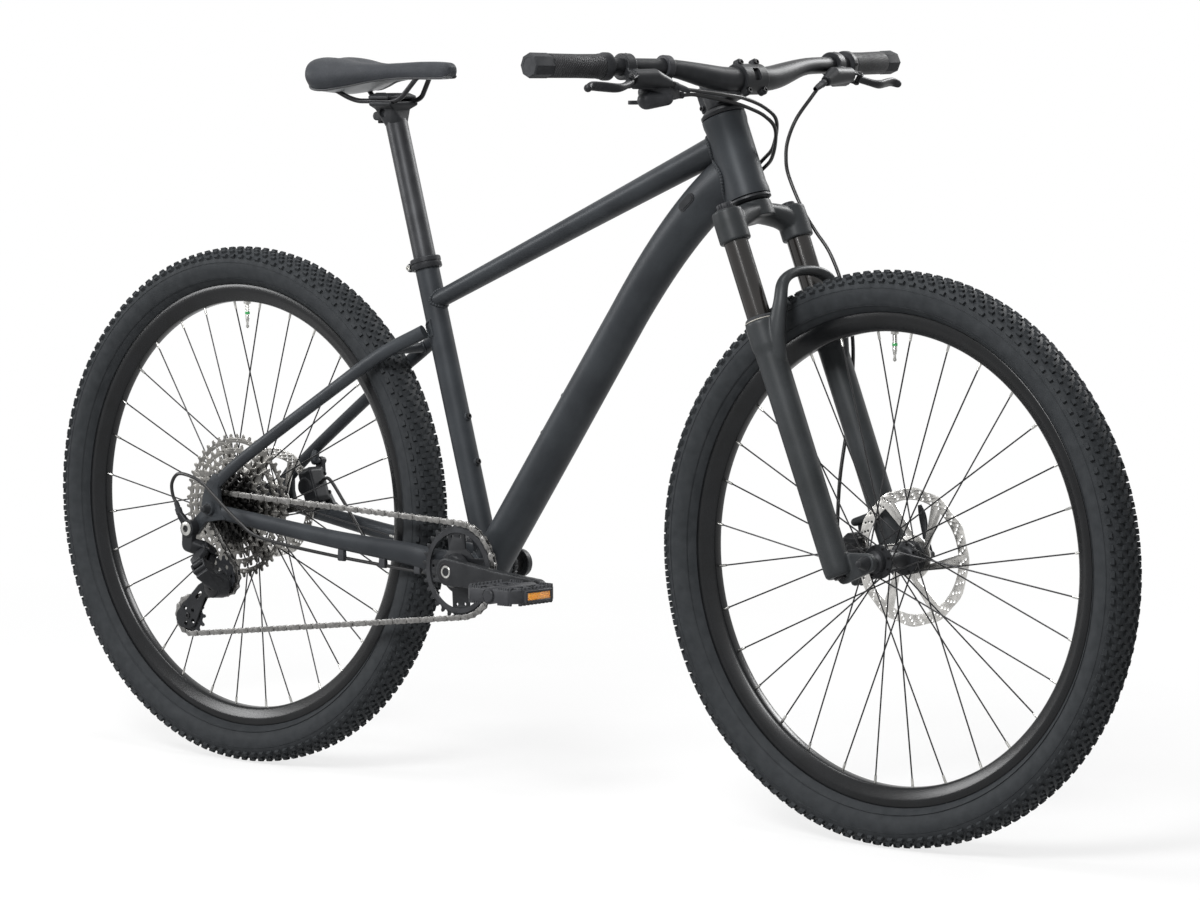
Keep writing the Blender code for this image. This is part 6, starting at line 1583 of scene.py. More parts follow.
def brake_control(hand, name):
    """Hinged bar clamp, master cylinder and reservoir, and the two-finger blade."""
    here, outward, ahead = bar_frame(hand, LEVER_PLACE)
    up = outward.cross(ahead) * hand
    hinge = here + outward * 0.016 + ahead * 0.0345
    nose, way = lever_nose(hand)
    solids = [
        pin(here, outward, 0.0075, 0.0172, 48),
        hull(
            rod(nose - way * 0.008, nose - way * 0.001, 0.0068, sides=24),
            rod(
                here - outward * 0.034 + ahead * 0.0235, here + outward * 0.006 + ahead * 0.0255,
                0.0106, sides=24,
            ),
        ),
        block(
            here - outward * 0.016 + ahead * 0.0235 + up * 0.006, (0.044, 0.0215, 0.014), up,
            outward, 0.0045,
        ),
        hull(
            block(here + ahead * 0.012, (0.012, 0.012, 0.014), ahead, outward),
            block(here + ahead * 0.0235, (0.02, 0.012, 0.01), ahead, outward),
        ),
    ]
    for side in (-1, 1):
        lift = up * side * 0.0066
        solids.append(
            hull(
                rod(hinge + lift - up * 0.0014, hinge + lift + up * 0.0014, 0.0052, sides=24),
                block(
                    here + outward * 0.002 + ahead * 0.0255 + lift, (0.008, 0.008, 0.0028), up,
                    outward,
                ),
            )
        )
    hole = pin(here, outward, 0.03, 0.0113, 40)
    shape = carve(cast(solids, 0.0007, 3), [hole])
    piece("lever_housing_" + name, shape, "steering", black_alloy, ["lever_body_" + name], 45)
    bits = [pin(hinge, up, 0.0086, 0.0026, 20)]
    bits += [
        socket_bolt(hinge + up * side * 0.008, up * side, 0.0034, 0.0012, 0.5) for side in (-1, 1)
    ]
    for side in (-1, 1):
        spot = here + up * side * 0.013 - ahead * 0.003
        bits.append(socket_bolt(spot - ahead * 0.002, -ahead, 0.0032, 0.003))
    bits.append(rod(nose - way * 0.001, nose + way * 0.006, 0.0046, sides=6, soft=0.0004))
    piece("lever_bolts_" + name, bits, "steering", dark_steel)
    boot = [
        (0.0048, 0.005), (0.005, 0.011), (0.0042, 0.013), (0.0045, 0.015), (0.0041, 0.017),
        (0.0044, 0.019),
    ]
    boot += [(0.004, 0.021), (0.0042, 0.023), (0.0031, 0.032), (0.0027, 0.0322)]
    piece("hose_boot_" + name, turned(boot, placed(nose, way), 32), "steering", grip_rubber)
    lid = here - outward * 0.016 + ahead * 0.0235 + up * 0.0128
    cover = block(lid, (0.038, 0.0165, 0.0024), up, outward, 0.001)
    piece("reservoir_lid_" + name, cover, "steering", plastic)
    run = [
        (0, 0.0015), (0.018, 0.012), (0.034, 0.0165), (0.056, 0.014), (0.074, 0.0125),
        (0.083, 0.0175),
    ]
    points = [hinge + outward * o + ahead * a for o, a in run]
    sizes = [
        (0.005, 0.005), (0.005, 0.0046), (0.0062, 0.0046), (0.0068, 0.0042), (0.0064, 0.004),
        (0.0054, 0.0044),
    ]
    blade = swept(points, sizes, 48, 28, up)
    piece(
        "lever_blade_" + name, [blade, ball(points[-1], 0.0052, 24)], "brake_lever_" + name,
        black_alloy, ["brake_lever_" + name],
    )


def shifter():
    """Trigger pod under the right side of the bar with two paddles."""
    here, outward, _ = bar_frame(-1, SHIFTER_PLACE)
    level = (outward - outward.z * Z).normalized()
    centre = here + outward * 0.014 - Z * 0.036 + X * 0.004
    solids = [
        pin(here, outward, 0.0055, 0.016, 48),
        block(here - Z * 0.022, (0.009, 0.014, 0.021), Z, outward),
        hull(
            rod(centre + Z * 0.011, centre - Z * 0.006, 0.0205, 0.019, 40),
            ball(centre + level * 0.022 + Z * 0.004, 0.011, 24),
            block(centre - level * 0.022 + Z * 0.002, (0.014, 0.018, 0.014), Z, level, 0.003),
        ),
        hull(
            ball(centre + level * 0.03 + X * 0.008 - Z * 0.006, 0.012, 24),
            ball(centre + X * 0.012 - Z * 0.004, 0.009, 24),
        ),
    ]
    hole = pin(here, outward, 0.03, 0.0118, 40)
    shape = carve(cast(solids, 0.0007, 4), [hole])
    piece("shifter_pod", shape, "steering", plastic, ["shifter_body"], 45)
    barrel = centre - level * 0.02 + X * 0.004
    grooved = []
    for i in range(8):
        grooved += [
            (0.0046, 0.002 * i + 0.0004), (0.0046, 0.002 * i + 0.0014), (0.0041, 0.002 * i + 0.0018)
        ]
    knob = turned([(0, 0), *grooved, (0.003, 0.0165), (0.0026, 0.0175)], placed(barrel, -level), 24)
    cover = turned(
        [(0.014, 0.0106), (0.014, 0.0122), (0.0128, 0.0132), (0, 0.0134)], placed(centre, Z), 48
    )
    piece("shifter_barrel", [knob, cover], "steering", plastic)
    bits = [
        socket_bolt(centre + 0.0132 * Z, Z, 0.004, 0.0012),
        socket_bolt(here - X * 0.0155, -X, 0.0034, 0.0026),
    ]
    piece("shifter_bolts", bits, "steering", dark_steel)
    for name, drop, reach, sweep in SHIFT_PADDLES:
        hub = centre - Z * drop
        back = (-X * math.cos(sweep) + level * math.sin(sweep)).normalized()
        knee, tip = hub + back * reach * 0.6, hub + back * reach
        arm = [
            pin(hub, Z, 0.0016, 0.0075, 32, 0.0004),
            hull(pin(hub, Z, 0.0014, 0.005), pin(knee, Z, 0.0014, 0.0055)),
            hull(
                pin(knee, Z, 0.0014, 0.0055),
                rod(tip - Z * 0.004, tip + Z * 0.0012, 0.0085, sides=32),
            ),
        ]
        piece(name + "_paddle", cast(arm, 0.0006, 3), name, plastic, [name], 45)


def port_point(up):
    """Middle of the down tube at a cable port."""
    path = down_tube_path(5)
    return path[-2].lerp(path[-1], 0.1) + up * (path[-1] - path[-2]).normalized()


def lever_nose(hand):
    """Where the hose leaves a brake lever, and the way it goes."""
    here, outward, ahead = bar_frame(hand, LEVER_PLACE)
    root = here - outward * 0.03 + ahead * 0.0235
    tip = here - outward * 0.058 + ahead * 0.0225 + Vector((0.003, 0, -0.009))
    return tip, (tip - root).normalized()


def cable_stop():
    """Where the shift housing ends behind the derailleur, and the way its cable goes on."""
    return rear_point(-0.0494, -0.0067, -0.092), Vector((0.396, 0, -0.918))


def hose(name, points, body):
    """Smooth line through the points, in place of the CAD hose of that name."""
    run = curve_through(points, 120)
    piece(name + "_line", wire(run, HOSE_RADIUS, 6), body, hose_jacket, [name])


def front_lines():
    """Brake hoses and shift housing in front of the head tube."""
    start, out = lever_nose(1)
    centre, outward, _ = front_caliper_frame()
    tangent = outward.cross(Y)
    end = centre + outward * 0.0262 + Y * 0.003
    hose(
        "front_brake_hose",
        [
            start, start + out * 0.016,
            *fork_points(
                (0.634, 0.048, 0.131), (0.611, 0.032, 0.108), (0.588, 0.016, 0.098),
                (0.567, 0.0076, 0.0935), (0.542, 0.0045, 0.0908), (0.4952, 0.0095, 0.0905),
                (0.4587, 0.0195, 0.0905), (0.4213, 0.032, 0.09), (0.37, 0.035, 0.0895),
                (0.3, 0.024, 0.0895), (0.22, -0.006, 0.08), (0.13, -0.04, 0.056),
            ),
            end + outward * 0.016 + tangent * 0.004, end,
        ],
        "steering",
    )
    start, out = lever_nose(-1)
    target = port_point(PORT_LIFTS[0])
    hose(
        "rear_brake_hose_front",
        [
            start, start + out * 0.022,
            *fork_points(
                (0.6326, 0.0682, -0.075), (0.6272, 0.0679, -0.035), (0.6131, 0.0693, 0.000),
                (0.5959, 0.064, 0.022), (0.5749, 0.0271, 0.048), (0.5668, -0.0011, 0.055),
            ),
            target + Vector((0.012, 0.034, 0.01)), target + Vector((0, DOWN_RADIUS + 0.004, 0)),
        ],
        "steering",
    )
    here, outward, _ = bar_frame(-1, SHIFTER_PLACE)
    level = (outward - outward.z * Z).normalized()
    start = here + outward * 0.014 - Z * 0.036 + X * 0.008 - level * 0.0375
    target = port_point(PORT_LIFTS[1])
    hose(
        "shift_housing_front",
        [
            start, start - level * 0.022,
            *fork_points(
                (0.63, 0.053, -0.055), (0.618, 0.06, -0.025), (0.6035, 0.063, 0.003),
                (0.5865, 0.0565, 0.024), (0.565, 0.0215, 0.049), (0.556, -0.0055, 0.0555),
            ),
            target + Vector((0.014, 0.034, 0.006)), target + Vector((0, DOWN_RADIUS + 0.004, 0)),
        ],
        "steering",
    )


def stay_lines():
    """Shift housing and brake hose under the chainstays, their clips, and the down tube's ports."""
    bb = bottom_bracket - rear_axle
    spots = [
        (bb.x - 0.06, bb.z + 0.006, 0.0385), (bb.x - 0.11, bb.z + 0.01, 0.0415),
        (bb.x - 0.24, bb.z + 0.02, 0.056),
    ]
    route = [rear_point(x, z - 0.0171, -y) for x, z, y in spots]
    stop, along = cable_stop()
    hose(
        "shift_housing_stay",
        [
            route[0], route[1], route[2] + Z * 0.002,
            *rear_points(
                (0.107, -0.036, -0.08), (0.0696, -0.0157, -0.088), (0.0259, 0.0191, -0.094),
                (0.0008, 0.0377, -0.095), (-0.0224, 0.0464, -0.096), (-0.0468, 0.048, -0.096),
                (-0.0604, 0.0345, -0.095), (-0.06, 0.017, -0.094),
            ),
            stop - along * 0.012, stop,
        ],
        "frame",
    )
    boot = [
        (0.0027, -0.015), (0.0036, -0.014), (0.004, -0.006), (0.005, -0.005), (0.005, 0.003),
        (0, 0.003),
    ]
    piece("housing_boot", turned(boot, placed(stop, along), 32), "frame", grip_rubber)
    left = [rear_point(x, z - 0.0171, y) for x, z, y in spots]
    centre, outward, _ = rear_caliper_frame()
    end = centre + outward * 0.0237 + 0.002 * Y
    hose(
        "rear_brake_hose_stay",
        [
            left[0], left[1], left[2] + Vector((0.03, -0.006, -0.002)),
            *rear_points((0.196, -0.048, 0.048), (0.168, -0.022, 0.048), (0.14, 0.008, 0.051)),
            end + outward * 0.018, end,
        ],
        "frame",
    )
    clips, ports = [], []
    for line, hand in ((route, -1), (left, 1)):
        for near, far, share in (
            (line[0], line[1], 0.55), (line[1], line[2], 0.3), (line[1], line[2], 0.85)
        ):
            spot = near.lerp(far, share)
            stay = stay_spot(stay_runs(hand)[1][0], spot.x)
            clips.append(
                hull(
                    pin(spot, X, 0.0055, 0.0037, 20),
                    block(Vector((spot.x, stay.y, stay.z - 0.0095)), (0.01, 0.005, 0.003)),
                )
            )
    for up in PORT_LIFTS:
        target = port_point(up) + Vector((0, DOWN_RADIUS - 0.0008, 0))
        ports.append(
            turned(
                [(0.009, 0), (0.0088, 0.0014), (0.007, 0.0024), (0.004, 0.006), (0.0027, 0.0064)],
                placed(target, Y), 32,
            )
        )
    path = down_tube_path(60)
    k = min(range(2, len(path) - 1), key=lambda i: abs(path[i].z - 0.817))
    way = (path[k + 1] - path[k]).normalized()
    seat = path[k] + Vector((-way.z, 0, way.x)) * 0.007
    for inner, outer, wide in ((0.003, 0.0008, 0.0072), (0.002, 0.0016, 0.005)):
        ports.append(
            hull(
                *[
                    rod(
                        seat + way * shift - (DOWN_RADIUS - inner) * Y,
                        seat + way * shift - (DOWN_RADIUS + outer) * Y, wide, wide - 0.0012, 28,
                    )
                    for shift in (-0.009, 0.009)
                ]
            )
        )
    piece("cable_ports", ports, "frame", grip_rubber)
    piece("stay_clips", clips, "frame", plastic)


# Seat


def skinned(sections):
    """Closed form through rings of points."""
    bm = bmesh.new()
    loops = []
    for ring in sections:
        verts = [bm.verts.new(point) for point in ring]
        loops.append([bm.edges.new(pair) for pair in zip(verts, verts[1:] + verts[:1])])
    for near, far in zip(loops, loops[1:]):
        bmesh.ops.bridge_loops(bm, edges=near + far)
    for end in (loops[0], loops[-1]):
        bmesh.ops.contextual_create(bm, geom=end)
    return settle(bm)


def saddle_shape(back):
    """Half width, top and flank edge of the saddle, over the rails, so far behind its nose."""
    rows = [
        (0.000, 0.0075, 0.048, 0.0375), (0.004, 0.012, 0.0518, 0.0332), (0.01, 0.015, 0.054, 0.031),
        (0.046, 0.019, 0.0553, 0.0305), (0.092, 0.0228, 0.0535, 0.03),
        (0.13, 0.0335, 0.0522, 0.0255), (0.163, 0.0525, 0.0542, 0.018),
        (0.192, 0.066, 0.0588, 0.0125), (0.215, 0.0672, 0.061, 0.014),
        (0.226, 0.059, 0.0602, 0.0205), (0.231, 0.042, 0.056, 0.029),
    ]
    for near, far in zip(rows, rows[1:]):
        if back <= far[0]:
            break
    k = rows.index(near)
    window = [rows[max(k - 1, 0)], near, far, rows[min(k + 2, len(rows) - 1)]]
    t = (back - near[0]) / (far[0] - near[0])
    found = []
    for i in (1, 2, 3):
        a, b, c, d = (row[i] for row in window)
        span = far[0] - near[0]
        slope_in = (c - a) / max(far[0] - window[0][0], 1e-6) * span
        slope_out = (d - b) / max(window[3][0] - near[0], 1e-6) * span
        found.append(
            (2 * t**3 - 3 * t**2 + 1) * b + (t**3 - 2 * t**2 + t) * slope_in
            + (3 * t**2 - 2 * t**3) * c + (t**3 - t**2) * slope_out
        )
    return found


SADDLE_LEAD = 0.111
# The cover tucks in by this many degrees under each flank, LOWEST being the sine of that
TUCK = 25
LOWEST = 0.4226


def saddle_ring(back, over=True):
    """Section of the padded cover, or of the shell under it."""
    base = seat_point(SEAT_TUBE + POST_EXPOSED) + RAIL_LIFT * Z
    half, top, edge = saddle_shape(back)
    x = base.x + SADDLE_LEAD - back
    ring = []
    if over:
        turns = [math.radians(-TUCK + (180 + 2 * TUCK) * i / 40) for i in range(41)]
        for angle in turns:
            c, s = math.cos(angle), math.sin(angle)
            wide = half * math.copysign(abs(c) ** 0.62, c)
            if s < 0:
                wide *= 1 + 0.25 * s
            dip = 0.0026 * min(half / 0.05, 1) * math.exp(-((wide / 0.011) ** 2))
            mid = edge + 0.36 * (top - edge)
            rise = (top - mid) * max(s, 0) ** 0.72 - dip * (s > 0)
            high = mid + rise + 0.85 * (mid - edge) * min(s, 0) / LOWEST
            ring.append(Vector((x, wide, base.z + high)))
        flat = [ring[-1].lerp(ring[0], t) for t in (0.1, 0.3, 0.5, 0.7, 0.9)]
        lift = 0.006 * min(half / 0.03, 1)
        ring += [p + Z * lift * (0.5 if i in (0, 4) else 1) for i, p in enumerate(flat)]
    else:
        for i in range(40):
            angle = TAU * i / 40
            ring.append(
                Vector(
                    (
                        x, half * 0.86 * math.cos(angle),
                        base.z + edge + 0.0035 + 0.003 * math.sin(angle) - 0.004 * (
                            1 - abs(math.cos(angle))
                        ) * min(half / 0.05, 1),
                    )
                )
            )
    return ring


def saddle():
    """Padded cover with raised tail, its welt round the lower edge, and the shell beneath."""
    stations = [0.0, 0.0015, 0.004, 0.007, 0.01]
    stations += [0.01 + 0.203 * i / 44 for i in range(1, 45)]
    stations += [0.217, 0.221, 0.2245, 0.227, 0.229, 0.2303, 0.231]
    cover = skinned([saddle_ring(back) for back in stations])
    made = piece("saddle_pad", cover, "seat", saddle_cover, ["saddle"], 60)
    modifier = made.modifiers.new("soften", "SUBSURF")
    modifier.levels = 1
    modifier.render_levels = 1
    welts = []
    for index in (0, 40):
        line = [saddle_ring(back)[index] for back in stations[2:-2]]
        welts.append(wire(line, 0.0014, 3))
    piece("saddle_welt", welts, "seat", saddle_side)
    shell = skinned([saddle_ring(back, over=False) for back in stations[4:-5]])
    piece("saddle_shell", shell, "seat", shell_plastic, sharp=60)


def rail_grooves(head):
    """Cutters for the two grooves that the rails lie in."""
    spots = [head + hand * 0.022 * Y for hand in (-1, 1)]
    return [pin(spot, X, 0.06, 0.0037, 32) for spot in spots]


def seat_support():
    """Post, its cradle, the yoke over the rails with its bolts, and the rails."""
    top = seat_point(SEAT_TUBE + POST_EXPOSED)
    rail = top.z + RAIL_LIFT
    post = [(0, 0), (0.0156, 0), (0.0156, 0.325), (0.015, 0.3262), (0.0144, 0.327)]
    head = Vector((top.x - 0.004, 0, rail))
    ear = head + Vector((-0.0215, 0, -0.021))
    cradle = [
        hull(rod(top - seat_up * 0.018, top - seat_up * 0.01, 0.015, sides=48),
             block(head + Vector((0.001, 0, -0.011)), (0.034, 0.036, 0.006), soft=0.002)),
        hull(block(head + Vector((0.002, 0, -0.0035)), (0.042, 0.056, 0.006), soft=0.0015),
             block(head + Vector((0.001, 0, -0.01)), (0.036, 0.036, 0.004), soft=0.0015)),
        hull(pin(ear, Y, 0.011, 0.0062, 32),
             block(ear + Vector((0.014, 0, -0.001)), (0.006, 0.02, 0.01), soft=0.002)),
    ]
    hollows = [
        rod(
            head + Vector((-0.002, hand * 0.0135, -0.0165)),
            head + Vector((-0.002, hand * 0.04, -0.0165)), 0.0062, sides=32,
        )
        for hand in (-1, 1)
    ]
    tube = turned(post, placed(seat_point(SEAT_TUBE - 0.13), seat_up, Y), 64)
    forging = carve(cast(cradle, 0.0008, 4), rail_grooves(head) + hollows)
    piece("seatpost_with_head", [tube, forging], "seat", black_alloy, ["seatpost"])
    yoke = [
        hull(block(head + Z * 0.005, (0.038, 0.058, 0.005), soft=0.0012),
             block(head + Z * 0.009, (0.026, 0.046, 0.004), soft=0.0012)),
        hull(block(head + Vector((-0.0215, 0, 0.0055)), (0.01, 0.02, 0.006), soft=0.0015),
             block(head + Vector((-0.012, 0, 0.006)), (0.006, 0.03, 0.006), soft=0.0015)),
    ]
    piece(
        "saddle_yoke", carve(cast(yoke, 0.0007, 3), rail_grooves(head)), "seat", black_alloy,
        ["saddle_clamp"],
    )
    bolts = [
        rod(ear, ear + Z * 0.0285, 0.0026, sides=20),
        socket_bolt(ear - Z * 0.005, -Z, 0.0045, 0.0052),
        rod(
            ear + Z * 0.0285 - 0.009 * Y, ear + Z * 0.0285 + 0.009 * Y, 0.004, sides=24, soft=0.0006
        ),
    ]
    piece("seat_bolts", bolts, "seat", dark_steel)
    base = Vector((top.x, 0, rail))
    side = [
        (-0.098, 0.04, 0.024), (-0.086, 0.036, 0.0185), (-0.064, 0.025, 0.0045), (-0.048, 0.022, 0)
    ]
    side += [
        (0.02, 0.022, 0), (0.033, 0.0205, 0.005), (0.056, 0.0125, 0.0335), (0.066, 0.006, 0.039)
    ]
    course = [base + Vector((x, -y, z)) for x, y, z in side] + [
        base + Vector((x, y, z)) for x, y, z in reversed(side)
    ]
    piece(
        "saddle_rail_pair", wire(rounded(course, 0.012), 0.0035, 6), "seat", dark_steel,
        ["saddle_rails"],
    )


def rounded(points, reach):
    """Path with each corner turned into a short bend."""
    path = [points[0]]
    for a, b, c in zip(points, points[1:], points[2:]):
        before, after = (a - b), (c - b)
        near = min(reach, before.length * 0.45, after.length * 0.45)
        start, end = b + before.normalized() * near, b + after.normalized() * near
        path += [start.lerp(b, t).lerp(b.lerp(end, t), t) for t in (0, 0.2, 0.4, 0.6, 0.8, 1)]
    return path + [points[-1]]


# Drive


def pitch_radius(teeth):
    return PITCH / (2 * math.sin(math.pi / teeth))


def toothed(teeth, phase):
    """Outline of a sprocket: a round seat for each roller and a blunt tooth between seats."""
    pitch = pitch_radius(teeth)
    outline = []
    for i in range(teeth):
        middle = phase + TAU * i / teeth
        seat = Vector(polar(pitch, middle))
        for k in range(7):
            turn = middle + math.pi + math.radians(-63 + 21 * k) * -1
            outline.append((seat.x + 0.004 * math.cos(turn), seat.y + 0.004 * math.sin(turn)))
        for share, rise in ((0.3, 0.0004), (0.42, 0.0024), (0.58, 0.0024), (0.7, 0.0004)):
            angle = middle + share * TAU / teeth
            outline.append(polar(pitch + rise, angle))
    return outline


def tangent_line(a, radius_a, b, radius_b, turn_a, turn_b):
    """Touching points of a line that leaves circle a and meets circle b, both on (x, z)."""
    dx, dz = b[0] - a[0], b[1] - a[1]
    reach = turn_a * radius_a - turn_b * radius_b
    angle = math.atan2(dz, dx) + math.acos(reach / math.hypot(dx, dz))
    normal = (math.cos(angle), math.sin(angle))
    start = (a[0] + turn_a * radius_a * normal[0], a[1] + turn_a * radius_a * normal[1])
    end = (b[0] + turn_b * radius_b * normal[0], b[1] + turn_b * radius_b * normal[1])
    return start, end


def cage_pivot():
    """Where the cage turns on the derailleur's body."""
    return rear_point(0.015, -0.11, COG_PLANE)


def chain_wheels(cage_angle):
    """Chain wheels in the order the chain meets them: centre, teeth, turn and plane."""
    guide = cage_pivot() + Vector((-0.003, 0, 0.013))
    tension = guide + CAGE_LENGTH * heading(cage_angle)
    return [
        (rear_axle, COGS[0], 1, COG_PLANE), (bottom_bracket, RING_TEETH, 1, RING_PLANE),
        (tension, PULLEY_TEETH, 1, COG_PLANE), (guide, PULLEY_TEETH, -1, COG_PLANE),
    ]


def chain_course(cage_angle):
    """Runs and wraps of the chain: a list of (kind, length, ...)."""
    discs = chain_wheels(cage_angle)
    lines = []
    for i in range(4):
        (a, ta, turn_a, ya), (b, tb, turn_b, yb) = discs[i], discs[(i + 1) % 4]
        start, end = tangent_line(
            (a.x, a.z), pitch_radius(ta), (b.x, b.z), pitch_radius(tb), turn_a, turn_b
        )
        lines.append((Vector((start[0], ya, start[1])), Vector((end[0], yb, end[1]))))
    course = []
    for i in range(4):
        start, end = lines[i]
        course.append(("run", (end - start).length, start, end))
        centre, teeth, turn, plane = discs[(i + 1) % 4]
        leave = lines[(i + 1) % 4][0]
        first = math.atan2(end.z - centre.z, end.x - centre.x)
        last = math.atan2(leave.z - centre.z, leave.x - centre.x)
        sweep = ((first - last) * turn) % TAU
        course.append(("wrap", sweep * teeth * PITCH / TAU, (centre, teeth, turn, plane), first))
    return course


def chain_length(cage_angle):
    return sum(part[1] for part in chain_course(cage_angle))


def fitted_cage_angle():
    """Cage angle that takes up the chain's slack, so that it holds a whole even number of links."""
    low, high = math.radians(-160), math.radians(-60)
    links = 2 * round(chain_length(math.radians(-134)) / PITCH / 2)
    rising = chain_length(high) > chain_length(low)
    for _ in range(60):
        middle = (low + high) / 2
        if (chain_length(middle) < links * PITCH) == rising:
            low = middle
        else:
            high = middle
    return (low + high) / 2, links


def chain_place(course, distance):
    """Point on the chain's pitch line."""
    for kind, length, *rest in course:
        if distance <= length + 1e-9:
            break
        distance -= length
    if kind == "run":
        start, end = rest
        share = min(max((distance / length - 0.15) / 0.7, 0), 1)
        spot = start + (end - start).normalized() * distance
        spot.y = start.y + (end.y - start.y) * share
        return spot
    (centre, teeth, turn, plane), first = rest
    angle = first - turn * distance / (teeth * PITCH) * TAU
    radius = pitch_radius(teeth)
    return Vector((centre.x + radius * math.cos(angle), plane, centre.z + radius * math.sin(angle)))


def wheel_phase(course, wheel):
    """Angle of a roller that sits on one of the chain's wheels."""
    travelled = 0.0
    for kind, length, *rest in course:
        if kind == "wrap" and rest[0][0] == wheel:
            point = chain_place(course, math.ceil(travelled / PITCH) * PITCH)
            return math.atan2(point.z - wheel.z, point.x - wheel.x)
        travelled += length
    return 0.0


def side_plate(wide):
    """Figure-eight side plate of a chain link, its pins half a pitch either side of the middle."""
    half = PITCH / 2
    outline = arc((half, 0), wide, -115, 115, 6) + [(0, wide * 0.72)]
    return outline + arc((-half, 0), wide, 65, 295, 6) + [(0, -wide * 0.72)]


def chain(course, links):
    """Roller chain: inner and outer side plates in turn, with rollers and pin heads."""
    pins = [chain_place(course, i * PITCH) for i in range(links)]
    parts = []
    for i, start in enumerate(pins):
        end = pins[(i + 1) % links]
        middle = (start + end) / 2
        across = (Y - Y.dot((end - start).normalized()) * (end - start).normalized()).normalized()
        place = placed(middle, across, end - start)
        gap = 0.00165 if i % 2 else 0.00255
        for hand in (-1, 1):
            lift = Matrix.Translation((0, 0, hand * gap))
            parts.append(
                plate([side_plate(0.0041 if i % 2 else 0.0043)], 0.0008, place @ lift, 0.00015)
            )
        parts.append(pin(start, across, 0.0012, 0.0038, 10))
        parts.append(pin(start, across, 0.0032, 0.0018, 8))
    piece("chain_links", parts, "frame", chain_steel, ["chain"], 30)


def flat_on(centre, plane):
    return placed(Vector((centre.x, plane, centre.z)), -Y, X)


def cassette(phase):
    """Cogs with every tooth, drilled where they are large, on a stepped carrier with a lockring."""
    silver, dark = [], []
    last = len(COGS) - 1
    for i, teeth in enumerate(COGS):
        plane = COG_PLANE + i * COG_STEP
        reach = pitch_radius(teeth)
        outlines = [toothed(teeth, phase if i == 0 else 0.1 * i), circle((0, 0), 0.0155, 32)]
        if teeth >= 26:
            inner = 0.03
            band = reach - 0.0105
            arms = 6 if teeth < 40 else 7
            for k in range(arms):
                start = 360 * k / arms + 6 * i
                wide = 360 / arms - 15
                outlines.append(
                    arc((0, 0), band, start, start + wide, 10)
                    + arc((0, 0), inner, start + wide - 4, start + 10, 6)
                )
            for k in range(teeth // 2):
                angle = TAU * (k + 0.25) / (teeth // 2) + 0.1 * i
                spot = polar(reach - 0.0068, angle)
                outlines.append(circle(spot, 0.0013, 8))
        elif teeth >= 17:
            for k in range(6):
                angle = TAU * k / 6 + 0.3 * i
                mid = (reach - 0.006 + 0.0175) / 2
                outlines.append(circle(polar(mid, angle), min(0.0045, (reach - 0.024) * 0.42), 14))
        (silver if i >= 7 else dark).append(
            plate(outlines, 0.0017, flat_on(rear_axle, plane), 0.00025)
        )
        if i < last:
            spacer = [
                (0.0155, 0.0008), (0.0176, 0.0008), (0.0176, COG_STEP - 0.0008),
                (0.0155, COG_STEP - 0.0008),
            ]
            dark.append(turned(spacer, placed(rear_axle + plane * Y, Y), 40, closed=True))
    ring = [
        (0.0112, -0.0032), (0.015, -0.0032), (0.0168, -0.0024), (0.0168, -0.0009), (0.0112, -0.0009)
    ]
    dark.append(turned(ring, placed(rear_axle + COG_PLANE * Y, Y), 40, closed=True))
    piece("cassette_large_cogs", silver, "cassette", cog_steel, ["cassette"], 30)
    piece("cassette_small_cogs", dark, "cassette", dark_cog, sharp=30)


def crank_end(hand):
    """Middle of the pedal axle, in the bike's middle plane."""
    turn = CRANK_TURN if hand < 0 else CRANK_TURN + math.pi
    return bottom_bracket + CRANK * heading(turn)


